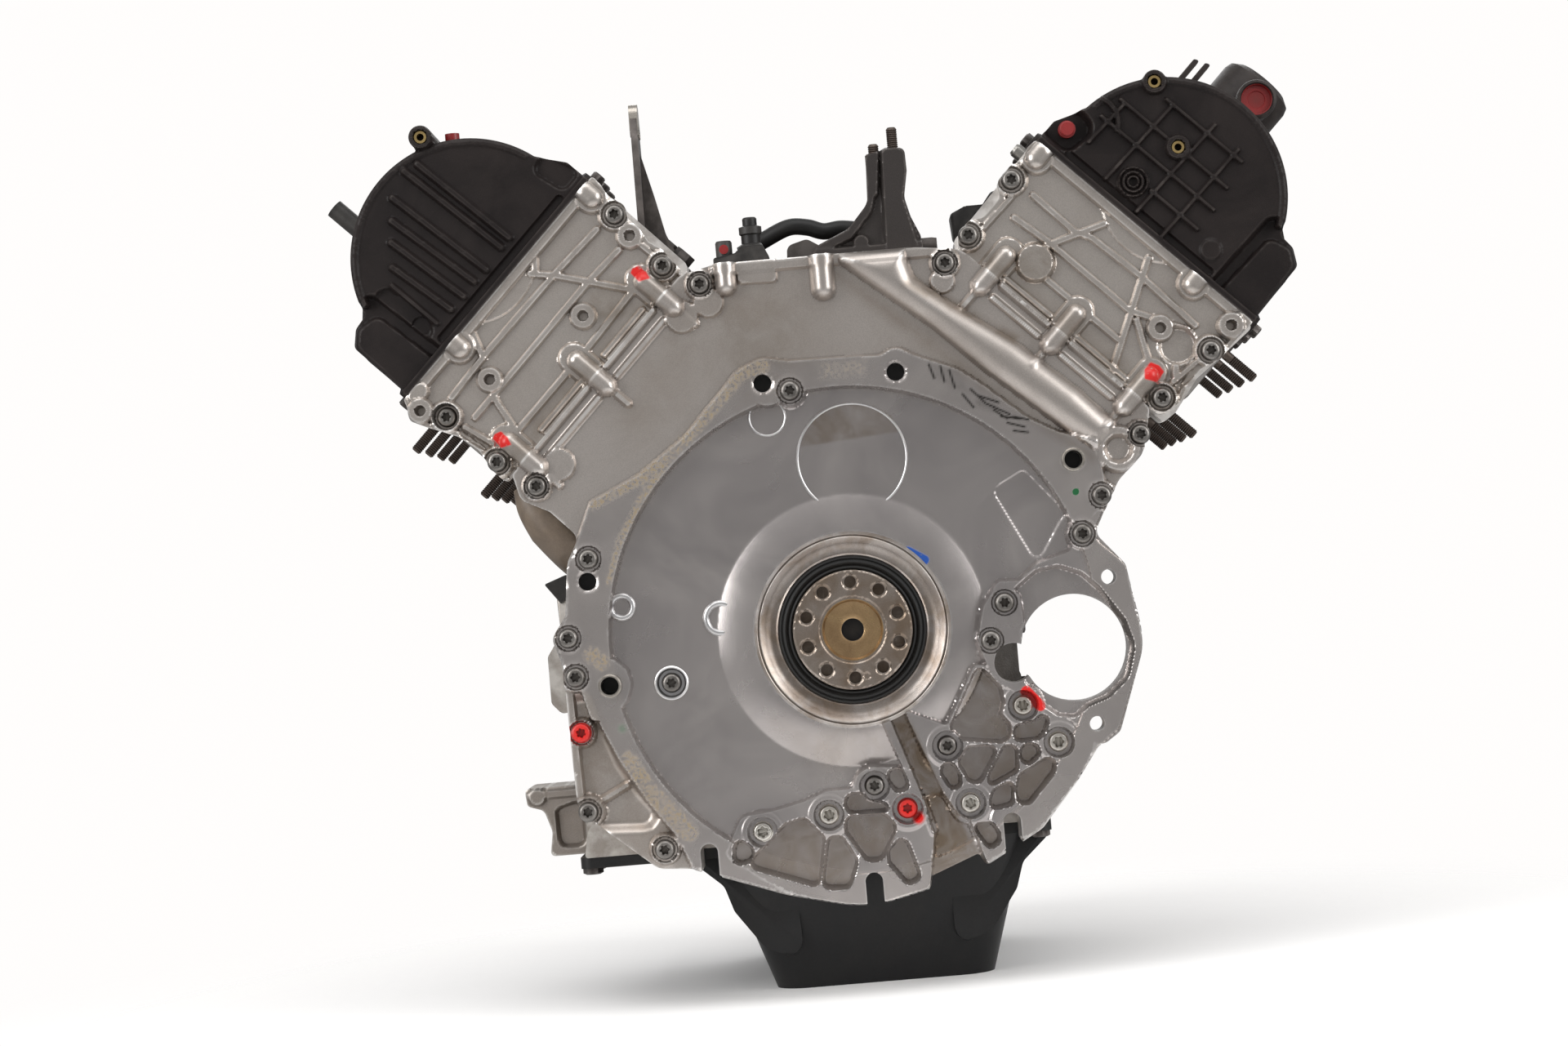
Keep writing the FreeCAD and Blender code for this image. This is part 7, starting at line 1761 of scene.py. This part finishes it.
def floor_material():
    """Pale floor that fades into the white surround away from the object, so that only its shadow shows."""
    material = bpy.data.materials.new("pale floor")
    material.use_nodes = True
    w = Wires(material.node_tree)
    material.node_tree.nodes.clear()
    place = w.add("ShaderNodeTexCoord").outputs["Object"]
    flat = w.add("ShaderNodeVectorMath", {0: place, 1: (1.0, 0.8, 0.0)}, operation="MULTIPLY").outputs[0]
    far = w.add("ShaderNodeVectorMath", {0: flat}, operation="LENGTH").outputs["Value"]
    fade = w.add("ShaderNodeMapRange", {0: far, 1: 0.30, 2: 0.85}, interpolation_type="SMOOTHSTEP").outputs[0]
    pale = w.add("ShaderNodeBsdfDiffuse", {"Color": (0.93, 0.925, 0.92, 1.0)})
    clear = w.add("ShaderNodeBsdfTransparent")
    mixed = w.add("ShaderNodeMixShader", {0: fade, 1: pale.outputs[0], 2: clear.outputs[0]})
    w.tree.links.new(mixed.outputs[0], w.add("ShaderNodeOutputMaterial").inputs[0])
    return material


sheet_object("floor", [(-900, -1100, FLOOR), (900, -1100, FLOOR), (900, 1100, FLOOR), (-900, 1100, FLOOR)], floor_material())


def soft_light(name, place, target, wide, high, power, colour=(1.0, 1.0, 1.0)):
    data = bpy.data.lights.new(name, "AREA")
    data.shape = "RECTANGLE"
    data.size = wide
    data.size_y = high
    data.energy = power
    data.color = colour
    lamp = bpy.data.objects.new(name, data)
    bpy.context.scene.collection.objects.link(lamp)
    lamp.location = place
    lamp.rotation_euler = (Vector(target) - Vector(place)).to_track_quat("-Z", "Y").to_euler()
    return lamp


world = bpy.data.worlds.new("studio")
bpy.context.scene.world = world
world.use_nodes = True
w = Wires(world.node_tree)
world.node_tree.nodes.clear()
direction = w.add("ShaderNodeTexCoord").outputs["Generated"]
height = w.add("ShaderNodeSeparateXYZ", {0: direction}).outputs[2]
glow = w.ramp(height, -0.3, 0.9, 0.32, 0.62)
surround = w.add("ShaderNodeBackground", {"Color": (1.0, 0.995, 0.99, 1.0), "Strength": glow})
backdrop = w.add("ShaderNodeBackground", {"Color": (1.0, 0.985, 0.975, 1.0), "Strength": 1.0})
camera_ray = w.add("ShaderNodeLightPath").outputs["Is Camera Ray"]
mixed = w.add("ShaderNodeMixShader", {0: camera_ray, 1: surround.outputs[0], 2: backdrop.outputs[0]})
w.tree.links.new(mixed.outputs[0], w.add("ShaderNodeOutputWorld").inputs[0])

middle = (0.0, 0.0, 0.08)
soft_light("left softbox", (-2.1, -1.5, 0.9), middle, 1.3, 1.8, 48)
soft_light("right softbox", (2.2, -1.3, 0.8), middle, 1.3, 1.8, 40)
soft_light("top softbox", (0.0, -0.9, 2.2), middle, 2.6, 1.4, 26)
soft_light("back softbox", (0.0, 2.2, 1.5), middle, 2.2, 1.4, 18)

camera_data = bpy.data.cameras.new("camera")
camera_data.sensor_width = 36.0
camera_data.lens = 77.6
camera_data.clip_end = 50.0
camera = bpy.data.objects.new("camera", camera_data)
bpy.context.scene.collection.objects.link(camera)
TILT = math.radians(4.9)
ahead = Vector((-0.01638, 1.0, 0.01827)).normalized()
upward = Vector((math.sin(TILT), 0.0, math.cos(TILT)))
upward = (upward - ahead * upward.dot(ahead)).normalized()
across = ahead.cross(upward)
turn = Matrix((across, upward, -ahead)).transposed().to_4x4()
camera.matrix_world = Matrix.Translation(Vector((-0.0028, -2.4, 0.0358))) @ turn
bpy.context.scene.camera = camera
bpy.context.scene.view_settings.view_transform = "Standard"
